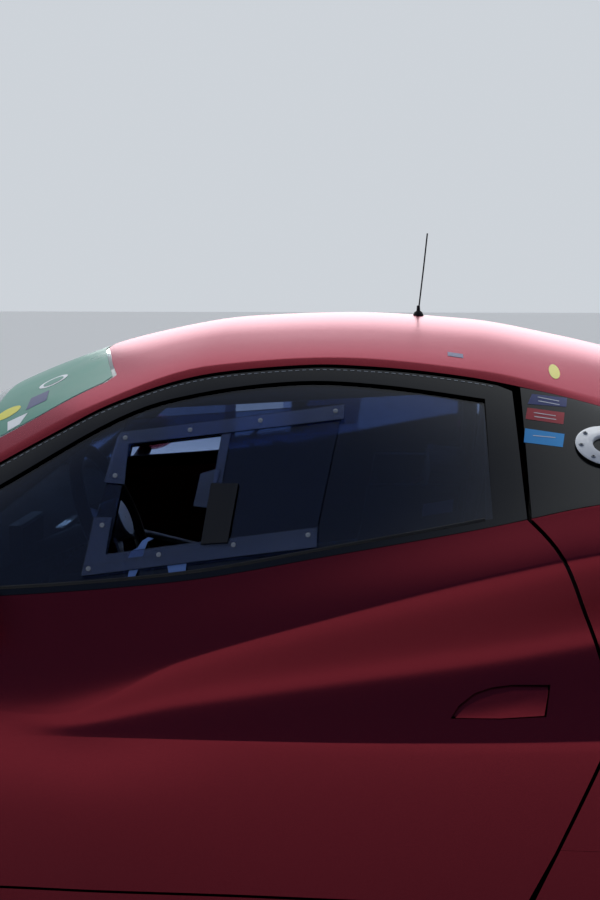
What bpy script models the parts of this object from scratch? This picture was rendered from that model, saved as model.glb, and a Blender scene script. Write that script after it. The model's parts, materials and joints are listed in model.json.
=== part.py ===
"""A closed mid-engined circuit racing coupe, modelled in metres.

The nose points along -X, the left side is -Y and the wheels stand on Z = 0.
Every body panel is cut out of one master skin: a loft of named lines along the car.
"""

import math

import bmesh
import bpy
import numpy as np
from mathutils import Matrix, Vector

for old in list(bpy.data.objects):
    bpy.data.objects.remove(old, do_unlink=True)

# Wheels and axles
FRONT_AXLE_X = -1.19
REAR_AXLE_X = 1.46
FRONT_TYRE_R = 0.325
REAR_TYRE_R = 0.345
FRONT_TYRE_W = 0.255
REAR_TYRE_W = 0.305
FRONT_HALF_TRACK = 0.828
REAR_HALF_TRACK = 0.806
RIM_R = 0.241
ARCH_CLEARANCE = 0.042
KINGPIN_INSET = 0.100

# Gaps and walls
PANEL_GAP = 0.006
DOOR_GAP = 0.009
TRIM_GAP = 0.0005
TOUCH = 0.0004
SKIN_WALL = 0.022
ROOF_WALL = 0.026
GLASS_WALL = 0.006
DOOR_INNER_Y = 0.800
DOOR_RAKE = 0.022
BUMPER_WALL = 0.045

# Body ends
NOSE_S = -2.170
TAIL_S = 2.160
NOSE_BOW = 0.300
TAIL_BOW = 0.110
NOSE_ROUND = 0.085
TAIL_ROUND = 0.045
BOW_WIDTH = 0.950
NOSE_BOW_START = -1.250
TAIL_BOW_START = 1.600

# Panel splits along the car, and heights of the cuts in the sides
FRONT_BUMPER_S = -1.800
REAR_BUMPER_S = 1.965
LID_FRONT_X = -1.930
LID_REAR_X = -0.905
LID_HALF_FRONT = 0.420
LID_HALF_REAR = 0.610
COVER_FRONT_X = 0.985
COVER_REAR_X = 1.900
COVER_HALF_FRONT = 0.470
COVER_HALF_REAR = 0.560
SILL_TOP_Z = 0.195
SILL_TOP_REAR_Z = 0.322
DOOR_BOTTOM_Z = SILL_TOP_Z + PANEL_GAP
DOOR_FRONT_X = -0.655
DOOR_REAR_X = 0.725
DOOR_EDGE_Y = 0.858
ROOF_REAR_X = 1.400
FLOOR_Z = 0.095
FLOOR_WALL = 0.028
HINGE_OUT = 0.012
MERGE = 0.000005
FLAT_ANGLE = 0.0004
SEAM = 0.00002

# Glazing, lids and trim
FRAME_WALL = 0.020
GLASS_INSET = 0.006
GLASS_LIFT = 0.002
SLIDER_WALL = 0.004
QUARTER_WALL = 0.012
LID_WALL = 0.020
COWL_WALL = 0.016
LAMP_DEPTH = 0.050
LAMP_GAP = 0.0006
LOUVRES = 4
LOUVRE_START_X = 1.450
LOUVRE_PITCH = 0.075
FILLER_AT = (0.876, 0.993)
FILLER_FLANGE_R = 0.050
FILLER_NECK_R = 0.036
FILLER_THROAT_R = 0.027

# Ends of the car
TAIL_LAMP_Y = 0.690
TAIL_LAMP_Z = 0.720
TAIL_LAMP_R = 0.062
PIPE_Y = 0.110
PIPE_Z = 0.360
PIPE_R = 0.045
PIPE_END_X = 2.215
GEARBOX_REACH = 0.260
FLOOR_END_X = 1.880
DIFFUSER_END_X = 2.175
SPLITTER_Z = 0.085
SPLITTER_LIP = 0.025
SPLITTER_REAR_X = -1.560
WING_HALF = 0.780
WING_STAND_Y = 0.330
STAND_SINK = 0.012
DIFFUSER_HALF = 0.760
DIFFUSER_FINS = (-0.45, -0.27, -0.09, 0.09, 0.27, 0.45)

# Mirrors, cabin and running gear
MIRROR_AT = (-0.300, 1.000, 0.800)
MIRROR_HALF = (0.078, 0.100, 0.058)
MIRROR_ROOT_X = -0.340
MIRROR_ROOT_Z = 0.700
SPOKES = 10
TYRE_FACETS = 24
SKIRT_CLEARANCE = 0.080
ROCKER_CLEARANCE = 0.030
STUB_R = 0.0270
ROCKER_TOP = 0.330
BULKHEAD_X = 0.880
INTAKE_INNER_Y = 0.802
INTAKE_WALL = 0.010
INTAKE_DEEP_Y = 0.815
HINGE_HEIGHTS = (0.300, 0.520)
DRIVER_Y = -0.370
WHEEL_TO_COLUMN = 0.060
COLUMN_LENGTH = 0.210
WHEEL_TILT = 0.420
WHEEL_AT = (-0.110, DRIVER_Y, 0.770)
SEAT_X = 0.265
DASH_HALF = 0.615
CAGE_R = 0.020
CAGE_HOOP_X = 0.690
AERIAL_X = 0.540
AERIAL_LENGTH = 0.190

# Line table of the master skin. z and y of each line at a station s along the car:
# bot  lower edge of the side       low  lower crease        mid  floor of the side scallop
# upp  upper crease                 sho  belt and shoulder   rail edge of roof and bonnet
# top  centre line
COLUMNS = "s z_bot y_bot z_low y_low z_mid y_mid z_upp y_upp z_sho y_sho z_rail y_rail z_top".split()
LINES = (
    (-2.17, 0.105, 0.760, 0.230, 0.830, 0.300, 0.850, 0.370, 0.845, 0.440, 0.790, 0.475, 0.500, 0.492),
    (-2.00, 0.105, 0.820, 0.250, 0.890, 0.350, 0.900, 0.450, 0.890, 0.545, 0.815, 0.548, 0.540, 0.565),
    (-1.65, 0.105, 0.850, 0.300, 0.930, 0.430, 0.938, 0.560, 0.925, 0.675, 0.820, 0.640, 0.590, 0.652),
    (-1.19, 0.105, 0.865, 0.340, 0.952, 0.480, 0.957, 0.620, 0.940, 0.745, 0.825, 0.705, 0.620, 0.725),
    (-0.88, 0.095, 0.870, 0.400, 0.955, 0.510, 0.955, 0.620, 0.940, 0.748, 0.845, 0.742, 0.700, 0.800),
    (-0.65, 0.095, 0.870, 0.430, 0.953, 0.520, 0.955, 0.610, 0.943, 0.722, 0.865, 0.782, 0.770, 0.922),
    (-0.47, 0.095, 0.870, 0.460, 0.953, 0.530, 0.954, 0.590, 0.946, 0.716, 0.872, 0.845, 0.732, 1.011),
    (-0.27, 0.095, 0.870, 0.495, 0.953, 0.530, 0.952, 0.560, 0.948, 0.728, 0.874, 0.948, 0.686, 1.100),
    (-0.09, 0.095, 0.870, 0.507, 0.952, 0.526, 0.949, 0.545, 0.948, 0.742, 0.875, 1.043, 0.645, 1.158),
    (0.14, 0.095, 0.870, 0.507, 0.953, 0.565, 0.934, 0.645, 0.946, 0.768, 0.874, 1.122, 0.606, 1.198),
    (0.38, 0.095, 0.870, 0.510, 0.957, 0.600, 0.917, 0.722, 0.946, 0.814, 0.872, 1.139, 0.596, 1.207),
    (0.66, 0.095, 0.870, 0.520, 0.963, 0.640, 0.899, 0.802, 0.944, 0.870, 0.870, 1.115, 0.594, 1.192),
    (0.86, 0.095, 0.870, 0.532, 0.968, 0.680, 0.884, 0.848, 0.946, 0.915, 0.868, 1.070, 0.594, 1.157),
    (0.98, 0.095, 0.870, 0.540, 0.970, 0.700, 0.880, 0.865, 0.950, 0.928, 0.866, 1.040, 0.596, 1.130),
    (1.06, 0.095, 0.872, 0.545, 0.972, 0.705, 0.955, 0.870, 0.952, 0.932, 0.866, 1.019, 0.600, 1.110),
    (1.46, 0.100, 0.880, 0.560, 0.976, 0.710, 0.974, 0.850, 0.950, 0.935, 0.862, 0.953, 0.612, 1.015),
    (1.80, 0.120, 0.880, 0.540, 0.970, 0.690, 0.966, 0.820, 0.940, 0.915, 0.850, 0.925, 0.625, 0.955),
    (2.02, 0.200, 0.850, 0.480, 0.945, 0.640, 0.940, 0.780, 0.915, 0.890, 0.820, 0.905, 0.630, 0.928),
    (2.16, 0.260, 0.820, 0.440, 0.915, 0.600, 0.910, 0.740, 0.890, 0.862, 0.800, 0.885, 0.630, 0.908),
)
TABLE = {name: np.array([row[i] for row in LINES]) for i, name in enumerate(COLUMNS)}

# Positions round the half section, counted from the lower edge
T_LOW, T_MID, T_UPP, T_SHO, T_RAIL, T_ROOF, T_TOP = 1.0, 2.0, 3.0, 4.0, 5.0, 6.0, 7.0
ROOF_SHARE = 0.66
ROOF_CROWN = 2.4

# How fine the bumpers and fenders are: positions round the half section, steps round the edge
END_POSITIONS = (0.0, 1.0, 2.0, 3.0, 4.0, 4.5, 5.0, 6.0, 7.0)
FENDER_POSITIONS = (0.0, 1.0, 2.0, 3.0, 4.0, 4.5, 5.0, 6.0, 6.3)
END_SHOULDER = END_POSITIONS.index(4.0)
ROUND_STEPS = 2

# Side view outlines, as (x, z)
WINDOW_TOP = (
    (-0.640, 0.738), (-0.400, 0.862), (-0.142, 1.003), (-0.027, 1.060), (0.124, 1.107),
    (0.315, 1.127), (0.439, 1.126), (0.578, 1.114), (0.712, 1.093), (0.900, 1.048), (1.180, 0.957),
)
GLASS_TOP = (
    (-0.560, 0.738), (-0.400, 0.820), (-0.246, 0.903), (-0.023, 1.030), (0.127, 1.076),
    (0.317, 1.099), (0.480, 1.093), (0.662, 1.070),
)
DOOR_REAR = (
    (0.725, 0.885), (0.775, 0.834), (0.819, 0.732), (0.847, 0.659), (0.862, 0.590),
    (0.849, 0.510), (0.781, 0.316), (0.735, DOOR_BOTTOM_Z),
)


def paint(name, colour, roughness=0.5, metallic=0.0):
    """A Principled material with one colour."""
    material = bpy.data.materials.new(name)
    material.use_nodes = True
    shader = material.node_tree.nodes["Principled BSDF"]
    shader.inputs["Base Color"].default_value = (*colour, 1.0)
    shader.inputs["Roughness"].default_value = roughness
    shader.inputs["Metallic"].default_value = metallic
    return material


RED = paint("satin_red_wrap", (0.28, 0.02, 0.035), 0.35, 0.6)
CARBON = paint("black_carbon", (0.02, 0.02, 0.022), 0.35)
GLASS = paint("clear_polycarbonate", (0.10, 0.14, 0.20), 0.05)
BLACK = paint("black_plastic", (0.015, 0.015, 0.017), 0.5)
RUBBER = paint("tyre_rubber", (0.02, 0.02, 0.02), 0.85)
RIM = paint("forged_rim", (0.05, 0.05, 0.055), 0.3, 0.8)
STEEL = paint("painted_steel", (0.10, 0.10, 0.11), 0.4, 0.5)
WHITE = paint("white_ring", (0.75, 0.78, 0.82), 0.35)
LAMP = paint("lamp_glass", (0.65, 0.68, 0.72), 0.08)
TAIL = paint("tail_red", (0.45, 0.01, 0.01), 0.15)
ALLOY = paint("cast_alloy", (0.45, 0.45, 0.46), 0.4, 0.8)
CLOTH = paint("seat_cloth", (0.03, 0.03, 0.035), 0.9)


# The master skin

def slopes(xs, ys):
    """Monotone cubic slopes of a column of the line table."""
    h = np.diff(xs)
    d = np.diff(ys) / h
    m = np.zeros(len(xs))
    for i in range(1, len(xs) - 1):
        if d[i - 1] * d[i] > 0:
            w1, w2 = 2 * h[i] + h[i - 1], h[i] + 2 * h[i - 1]
            m[i] = (w1 + w2) / (w1 / d[i - 1] + w2 / d[i])
    m[0], m[-1] = d[0], d[-1]
    return m


SLOPES = {name: slopes(TABLE["s"], TABLE[name]) for name in COLUMNS[1:]}


def line(name, s):
    """Value of one named line at station s."""
    xs, ys, m = TABLE["s"], TABLE[name], SLOPES[name]
    s = min(max(s, xs[0]), xs[-1])
    i = min(max(int(np.searchsorted(xs, s)) - 1, 0), len(xs) - 2)
    h = xs[i + 1] - xs[i]
    u = (s - xs[i]) / h
    return (
        ys[i] * (1 + 2 * u) * (1 - u) ** 2
        + m[i] * h * u * (1 - u) ** 2
        + ys[i + 1] * u * u * (3 - 2 * u)
        + m[i + 1] * h * u * u * (u - 1)
    )


def ramp(s, lo, hi):
    """Smooth step from 0 at lo to 1 at hi."""
    u = min(max((s - lo) / (hi - lo), 0.0), 1.0)
    return u * u * (3 - 2 * u)


def section(s):
    """Control points (y, z) of the half section at s, and how sharp the crease is at each."""
    y, z = {}, {}
    for name in ("bot", "low", "mid", "upp", "sho", "rail"):
        y[name], z[name] = line("y_" + name, s), line("z_" + name, s)
    top = line("z_top", s)
    roof_z = top - (top - z["rail"]) * ROOF_SHARE**ROOF_CROWN
    points = [np.array((y[n], z[n])) for n in ("bot", "low", "mid", "upp", "sho", "rail")]
    points += [np.array((y["rail"] * ROOF_SHARE, roof_z)), np.array((0.0, top))]
    side = ramp(s, -0.15, 0.30) * (1 - ramp(s, 1.30, 1.90))
    cabin = ramp(s, -0.90, -0.55) * (1 - ramp(s, 1.05, 1.35))
    return points, (0, 0.85 * side, 0, 0.6 * side, 0.9 * cabin, 0.5 * cabin, 0, 0)


def bow(s, y):
    """How far the plan of the nose and tail sweeps in towards the corners."""
    share = (y / BOW_WIDTH) ** 2
    front = NOSE_BOW * share * (1 - ramp(s, NOSE_S, NOSE_BOW_START))
    rear = TAIL_BOW * share * ramp(s, TAIL_BOW_START, TAIL_S)
    return front - rear


def half_curve(s, ts):
    """Points (y, z) of the half section at s for each position in ts."""
    points, crease = section(s)
    chords = [points[i + 1] - points[i] for i in range(7)]
    lengths = [float(np.linalg.norm(c)) + 1e-6 for c in chords]
    units = [c / h for c, h in zip(chords, lengths)]
    found = []
    for t in ts:
        i = min(int(t), 6)
        u = t - i
        ends = []
        for k, own in ((i, units[i]), (i + 1, units[i])):
            if k == 0:
                tangent = units[0]
            elif k == 7:
                tangent = np.array((-1.0, 0.0))
            else:
                w = lengths[k - 1] + lengths[k]
                tangent = (units[k - 1] * lengths[k] + units[k] * lengths[k - 1]) / w
            ends.append(tangent * (1 - crease[k]) + own * crease[k])
        h = lengths[i]
        found.append(
            points[i] * (1 + 2 * u) * (1 - u) ** 2
            + ends[0] * h * u * (1 - u) ** 2
            + points[i + 1] * u * u * (3 - 2 * u)
            + ends[1] * h * u * u * (u - 1)
        )
    return found


def skin(s, ts):
    """Points of the outer skin at station s. Past T_TOP the other side follows."""
    flat = [min(t, 2 * T_TOP - t) for t in ts]
    out = []
    for t, (y, z) in zip(ts, half_curve(s, flat)):
        side = 1 if t <= T_TOP else -1
        out.append(Vector((s + bow(s, y), side * y, z)))
    return out


def normals(s, ts):
    """Outward directions of the skin, smoothed over creases so that walls mitre there."""
    ds, dt = 0.012, 0.06
    ahead, behind = skin(s + ds, ts), skin(s - ds, ts)
    up = skin(s, [min(t + dt, 2 * T_TOP) for t in ts])
    down = skin(s, [max(t - dt, 0) for t in ts])
    return [(u - d).cross(f - b).normalized() for f, b, u, d in zip(ahead, behind, up, down)]


# Mesh helpers

def finish(name, mesh, material, origin=(0, 0, 0)):
    """Links a mesh as a named object whose origin is at the given point."""
    mesh.transform(Matrix.Translation(-Vector(origin)))
    bm = bmesh.new()
    bm.from_mesh(mesh)
    bmesh.ops.dissolve_limit(bm, angle_limit=FLAT_ANGLE, verts=bm.verts, edges=bm.edges)
    bm.to_mesh(mesh)
    bm.free()
    mesh.materials.clear()
    mesh.materials.append(material)
    part = bpy.data.objects.new(name, mesh)
    part.location = origin
    bpy.context.scene.collection.objects.link(part)
    return part


def from_bmesh(bm):
    """A mesh of triangles with its doubles merged and its faces pointing out."""
    bmesh.ops.remove_doubles(bm, verts=bm.verts, dist=1e-6)
    bmesh.ops.triangulate(bm, faces=bm.faces, quad_method="FIXED")
    bmesh.ops.recalc_face_normals(bm, faces=bm.faces)
    mesh = bpy.data.meshes.new("shape")
    bm.to_mesh(mesh)
    bm.free()
    return mesh


def grid_solid(front, back, closed=False):
    """Closed solid between two equal grids of points. closed joins the last column to the first."""
    bm = bmesh.new()
    layers = [[[bm.verts.new(p) for p in row] for row in grid] for grid in (front, back)]
    rows, cols = len(front), len(front[0])
    wrap = cols if closed else cols - 1
    for layer in layers:
        for i in range(rows - 1):
            for j in range(wrap):
                k = (j + 1) % cols
                bm.faces.new((layer[i][j], layer[i + 1][j], layer[i + 1][k], layer[i][k]))
    outer, inner = layers
    for i in (0, rows - 1):
        for j in range(wrap):
            k = (j + 1) % cols
            bm.faces.new((outer[i][j], outer[i][k], inner[i][k], inner[i][j]))
    if not closed:
        for j in (0, cols - 1):
            for i in range(rows - 1):
                bm.faces.new((outer[i][j], outer[i + 1][j], inner[i + 1][j], inner[i][j]))
    return from_bmesh(bm)


def loft(rings):
    """Closed solid through rings of equal length, with flat ends."""
    bm = bmesh.new()
    loops = [[bm.verts.new(p) for p in ring] for ring in rings]
    n = len(rings[0])
    for a, b in zip(loops, loops[1:]):
        for j in range(n):
            k = (j + 1) % n
            bm.faces.new((a[j], a[k], b[k], b[j]))
    bm.faces.new(loops[0])
    bm.faces.new(loops[-1])
    return from_bmesh(bm)


def prism(outline, axis, lo, hi, lo_outline=None):
    """Solid of a flat outline pushed along Y or Z. lo_outline tapers its low end."""
    def place(points, level):
        if axis == "Y":
            return [Vector((x, level, z)) for x, z in points]
        if axis == "Z":
            return [Vector((x, y, level)) for x, y in points]
        return [Vector((level, y, z)) for y, z in points]

    return loft([place(lo_outline or outline, lo), place(outline, hi)])


def box(lo, hi):
    """Rectangular block between two corners."""
    outline = [(lo[0], lo[1]), (hi[0], lo[1]), (hi[0], hi[1]), (lo[0], hi[1])]
    return prism(outline, "Z", lo[2], hi[2])


def ring(centre, axis, radius, count=24, phase=0.5):
    """Points of a circle round an axis through centre."""
    turn = Vector((0, 0, 1)).rotation_difference(Vector(axis)).to_matrix()
    points = []
    for i in range(count):
        a = 2 * math.pi * (i + phase) / count
        points.append(Vector(centre) + turn @ Vector((math.cos(a) * radius, math.sin(a) * radius, 0)))
    return points


def rod(a, b, radius, count=8):
    """Round bar from a to b."""
    axis = Vector(b) - Vector(a)
    return loft([ring(a, axis, radius, count), ring(b, axis, radius, count)])


def turned(profile, centre, count=24, closed=True):
    """Profile of (radius, y) turned about the Y axis through centre."""
    bm = bmesh.new()
    rows = []
    for radius, y in profile:
        row = []
        for i in range(count):
            a = 2 * math.pi * i / count
            row.append(bm.verts.new(Vector(centre) + Vector((radius * math.sin(a), y, radius * math.cos(a)))))
        rows.append(row)
    pairs = list(zip(rows, rows[1:])) + ([(rows[-1], rows[0])] if closed else [])
    for a, b in pairs:
        for i in range(count):
            j = (i + 1) % count
            bm.faces.new((a[i], a[j], b[j], b[i]))
    if not closed:
        bm.faces.new(rows[0])
        bm.faces.new(rows[-1])
    return from_bmesh(bm)


def combine(mesh, others, operation):
    """Boolean of a mesh with each of the others in turn."""
    for other in others:
        body = bpy.data.objects.new("work", mesh)
        tool = bpy.data.objects.new("tool", other)
        bpy.context.scene.collection.objects.link(body)
        bpy.context.scene.collection.objects.link(tool)
        modifier = body.modifiers.new("cut", "BOOLEAN")
        modifier.operation = operation
        modifier.solver = "EXACT"
        modifier.object = tool
        bpy.context.view_layer.update()
        graph = bpy.context.evaluated_depsgraph_get()
        mesh = bpy.data.meshes.new_from_object(body.evaluated_get(graph))
        bpy.data.objects.remove(body, do_unlink=True)
        bpy.data.objects.remove(tool, do_unlink=True)
        bm = bmesh.new()
        bm.from_mesh(mesh)
        bmesh.ops.remove_doubles(bm, verts=bm.verts, dist=MERGE)
        bmesh.ops.dissolve_degenerate(bm, edges=bm.edges, dist=MERGE)
        bm.to_mesh(mesh)
        bm.free()
    return mesh


def cut(mesh, *cutters):
    """The mesh with the cutters taken away."""
    return combine(mesh, cutters, "DIFFERENCE")


def keep(mesh, *regions):
    """The part of the mesh inside every region."""
    return combine(mesh, regions, "INTERSECT")


def fuse(mesh, *others):
    """The mesh joined with the others into one body."""
    return combine(mesh, others, "UNION")


def gathered(meshes):
    """Meshes that don't touch each other, as one mesh."""
    bm = bmesh.new()
    for mesh in meshes:
        bm.from_mesh(mesh)
    return from_bmesh(bm)


def mirrored(mesh):
    """A copy of the mesh on the other side of the car."""
    copy = mesh.copy()
    copy.transform(Matrix.Scale(-1, 4, (0, 1, 0)))
    copy.flip_normals()
    return copy


def shifted(mesh, by):
    """A copy of the mesh moved by a small step, to cut a seat that stands off by that step."""
    copy = mesh.copy()
    copy.transform(Matrix.Translation(by))
    return copy


def placed(part):
    """A copy of a finished part's mesh in the frame of the car."""
    return shifted(part.data, part.location)


def both_sides(mesh):
    """The right half of a panel joined with its mirror image at the centre line."""
    bm = bmesh.new()
    bm.from_mesh(mesh)
    seam = [f for f in bm.faces if all(abs(v.co.y) < SEAM for v in f.verts)]
    bmesh.ops.delete(bm, geom=seam, context="FACES")
    twin = bmesh.ops.duplicate(bm, geom=bm.verts[:] + bm.edges[:] + bm.faces[:])["geom"]
    bmesh.ops.scale(bm, vec=(1, -1, 1), verts=[g for g in twin if isinstance(g, bmesh.types.BMVert)])
    bmesh.ops.reverse_faces(bm, faces=[g for g in twin if isinstance(g, bmesh.types.BMFace)])
    bmesh.ops.remove_doubles(bm, verts=[v for v in bm.verts if abs(v.co.y) < SEAM], dist=SEAM)
    bm.to_mesh(mesh)
    bm.free()
    return mesh


def pair(stem, mesh, material, origin=(0, 0, 0)):
    """Right-hand part from the mesh at +Y, and its left-hand twin."""
    x, y, z = origin
    twin = finish(stem + "_l", mirrored(mesh), material, (x, -y, z))
    return twin, finish(stem + "_r", mesh, material, origin)


def smooth_line(points, steps):
    """A smooth curve through a few points, as a list of points."""
    out = []
    n = len(points)
    for i in range(n - 1):
        p0 = Vector(points[max(i - 1, 0)])
        p1, p2 = Vector(points[i]), Vector(points[i + 1])
        p3 = Vector(points[min(i + 2, n - 1)])
        for k in range(steps):
            u = k / steps
            m1, m2 = (p2 - p0) / 2, (p3 - p1) / 2
            out.append(
                p1 * (1 + 2 * u) * (1 - u) ** 2 + m1 * u * (1 - u) ** 2
                + p2 * u * u * (3 - 2 * u) + m2 * u * u * (u - 1)
            )
    out.append(Vector(points[-1]))
    return [tuple(p) for p in out]


def offset(outline, distance):
    """The outline moved outwards by a distance, or inwards if it is negative."""
    points = [Vector(p) for p in outline]
    n = len(points)
    area = sum(points[i].x * points[(i + 1) % n].y - points[(i + 1) % n].x * points[i].y for i in range(n))
    sign = 1 if area > 0 else -1
    moved = []
    for i in range(n):
        a = (points[i] - points[i - 1]).normalized()
        b = (points[(i + 1) % n] - points[i]).normalized()
        na, nb = Vector((a.y, -a.x)) * sign, Vector((b.y, -b.x)) * sign
        mid = na + nb
        mid = mid.normalized() if mid.length > 1e-6 else na
        moved.append(tuple(points[i] + mid * distance / max(mid.dot(na), 0.5)))
    return moved


# Patches of the skin

def stations(lo, hi, step=0.14):
    """Stations from lo to hi, with the table's own rows kept so that creases stay."""
    count = max(2, math.ceil((hi - lo) / step) + 1)
    return [lo + (hi - lo) * i / (count - 1) for i in range(count)]


def positions(lo, hi, per=2):
    """Positions round the section from lo to hi, with every line between kept."""
    marks = [lo] + [float(k) for k in range(math.floor(lo) + 1, math.ceil(hi))] + [hi]
    out = []
    for a, b in zip(marks, marks[1:]):
        steps = max(1, math.ceil(per * (b - a) - 1e-6))
        out += [a + (b - a) * i / steps for i in range(steps)]
    return out + [hi]


def wall(s_list, t_list, depth, inset=0.0):
    """Part of the skin with a wall of the given depth behind it, its face inset from the skin."""
    outer, inner = [], []
    for s in s_list:
        points = skin(s, t_list)
        out = normals(s, t_list)
        outer.append([p - n * inset for p, n in zip(points, out)])
        inner.append([p - n * (inset + depth) for p, n in zip(points, out)])
    return grid_solid(outer, inner)


def thick_side(s_list, t_list, inner_y, proud=0.0):
    """Part of the side from the skin in to a flat inner face."""
    outer, inner = [], []
    for s in s_list:
        points = [p + Vector((0, proud, 0)) for p in skin(s, t_list)]
        outer.append(points)
        inner.append([Vector((p.x, inner_y, p.z)) for p in points])
    return grid_solid(outer, inner)


def end_cap(bm, side, under):
    """Closes one end of half a bumper with upright strips between its top and its floor."""
    bm.faces.new(side[:END_SHOULDER + 1] + [under[0]])
    for k, i in enumerate(range(END_SHOULDER, len(side) - 1)):
        bm.faces.new((side[i], side[i + 1], under[k + 1], under[k]))


def end_half(s_from, s_end, roundness, direction):
    """Right half of the end of the car: sections up to s_end, a rounded edge and a bowed face."""
    count = max(2, math.ceil(abs(s_end - s_from) / 0.20) + 1)
    plan = [(s_from + (s_end - s_from) * i / (count - 1), 0.0) for i in range(count)]
    for k in range(1, ROUND_STEPS + 1):
        a = math.pi / 2 * k / ROUND_STEPS
        plan.append((s_end + direction * roundness * math.sin(a), roundness * (1 - math.cos(a))))
    bm = bmesh.new()
    sides, unders = [], []
    for s, shrink in plan:
        base = half_curve(s, END_POSITIONS)
        floor, top = base[0][1], base[-1][1]
        half = max(y for y, z in base)
        narrow, low = (half - shrink) / half, (top - floor - shrink) / (top - floor)
        points = [(y * narrow, floor + (z - floor) * low) for y, z in base]
        sides.append([bm.verts.new((s + bow(s, y), y, z)) for y, z in points])
        ys = [min(y, points[0][0] - 0.02) for y, z in points[END_SHOULDER:]]
        unders.append([bm.verts.new((s + bow(s, y), y, floor)) for y in ys])
    loops = [side[::-1] + under for side, under in zip(sides, unders)]
    for a, b in zip(loops, loops[1:]):
        for j in range(len(a) - 1):
            bm.faces.new((a[j], a[j + 1], b[j + 1], b[j]))
    end_cap(bm, sides[0], unders[0])
    end_cap(bm, sides[-1], unders[-1])
    bm.faces.new([side[-1] for side in sides] + [under[-1] for under in reversed(unders)])
    return from_bmesh(bm)


def end_room(s_from, s_end, direction):
    """Space inside half a bumper, a wall in from its top, its side and its bowed face."""
    marks = [s_from + (s_end - s_from) * i / 3 for i in range(4)]
    top = [(s, min(line(name, s) for name in ("z_sho", "z_rail", "z_top")) - BUMPER_WALL) for s in marks]
    far = s_end + direction * 0.2
    side_view = [(s_from, -0.2)] + top + [(far, top[-1][1]), (far, -0.2)]
    half = min(line("y_bot", s) for s in marks) - BUMPER_WALL
    ys = [half * (1 - i / 4) for i in range(5)]
    plan = [(s_from, 0.0), (s_from, half)] + [(s_end + bow(s_end, y), y) for y in ys]
    return keep(prism(side_view, "Y", -0.2, 1.2), prism(plan, "Z", -0.1, 1.4))


def belt(lo, hi, step=0.07, rise=0.0):
    """Side view points along the belt line."""
    count = max(2, math.ceil(abs(hi - lo) / step) + 1)
    xs = [lo + (hi - lo) * i / (count - 1) for i in range(count)]
    return [(x, line("z_sho", x) + rise) for x in xs]


def split_z(points, x):
    """Height of a side view curve at x."""
    for a, b in zip(points, points[1:]):
        if a[0] <= x <= b[0]:
            return a[1] + (b[1] - a[1]) * (x - a[0]) / (b[0] - a[0])
    return points[-1][1]


# Outlines of the panels

def door_outline():
    """Door below the belt, in side view."""
    rear = smooth_line(DOOR_REAR[:5], 2) + list(DOOR_REAR[5:])
    front = [(DOOR_FRONT_X, DOOR_BOTTOM_Z), (DOOR_FRONT_X, 0.60), (DOOR_FRONT_X + 0.02, line("z_sho", DOOR_FRONT_X))]
    return front + belt(DOOR_FRONT_X + 0.06, DOOR_REAR_X - 0.04) + rear


def opening_outline():
    """Hole in the roof side for the door window and the quarter window."""
    top = smooth_line(WINDOW_TOP, 2)
    foot = DOOR_FRONT_X - DOOR_GAP
    low_z = line("z_sho", foot)
    return top + belt(1.12, -0.60, rise=-0.004) + [(foot, low_z - 0.004), (foot, low_z + 0.010)]


def frame_outline():
    """Outer edge of the black window frame on the door."""
    top = [p for p in smooth_line(WINDOW_TOP, 2) if p[0] < DOOR_REAR_X - 0.02]
    edge = [(x, z - PANEL_GAP) for x, z in top]
    rear_z = split_z(smooth_line(WINDOW_TOP, 2), DOOR_REAR_X) - PANEL_GAP - 0.002
    low = belt(DOOR_REAR_X, -0.575, rise=2 * TOUCH)
    return edge[1:] + [(DOOR_REAR_X - 0.012, rear_z)] + low


def glass_outline():
    """Hole in the window frame for the side window."""
    top = smooth_line(GLASS_TOP, 2)
    low = belt(0.668, -0.50, rise=0.012)
    return top + low


def quarter_outline():
    """Black panel behind the door window."""
    curve = smooth_line(WINDOW_TOP, 2)
    top = [(x, z - TRIM_GAP) for x, z in curve if DOOR_REAR_X + 0.03 < x < 1.15]
    start = DOOR_REAR_X + 0.008
    rear_z = split_z(curve, start) - TRIM_GAP
    low = belt(1.12, start + 0.03, rise=TRIM_GAP)
    return [(start, line("z_sho", start) + TRIM_GAP), (start - 0.004, rear_z)] + top + low


def sill_outline():
    """Side skirt below and behind the door."""
    arch_f = FRONT_AXLE_X + FRONT_TYRE_R + ARCH_CLEARANCE
    arch_r = REAR_AXLE_X - REAR_TYRE_R - ARCH_CLEARANCE
    kick = DOOR_REAR[6]
    return [
        (arch_f - 0.03, 0.05), (arch_f - 0.03, SILL_TOP_Z), (DOOR_REAR[7][0] + PANEL_GAP + 0.004, SILL_TOP_Z),
        (kick[0] + PANEL_GAP + 0.003, SILL_TOP_REAR_Z), (arch_r + 0.05, SILL_TOP_REAR_Z), (arch_r + 0.05, 0.05),
    ]


def plan_ring(points):
    """Symmetric plan outline from its points on the +Y side, front to rear."""
    return list(points) + [(x, -y) for x, y in reversed(points) if y > 1e-6]


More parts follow.
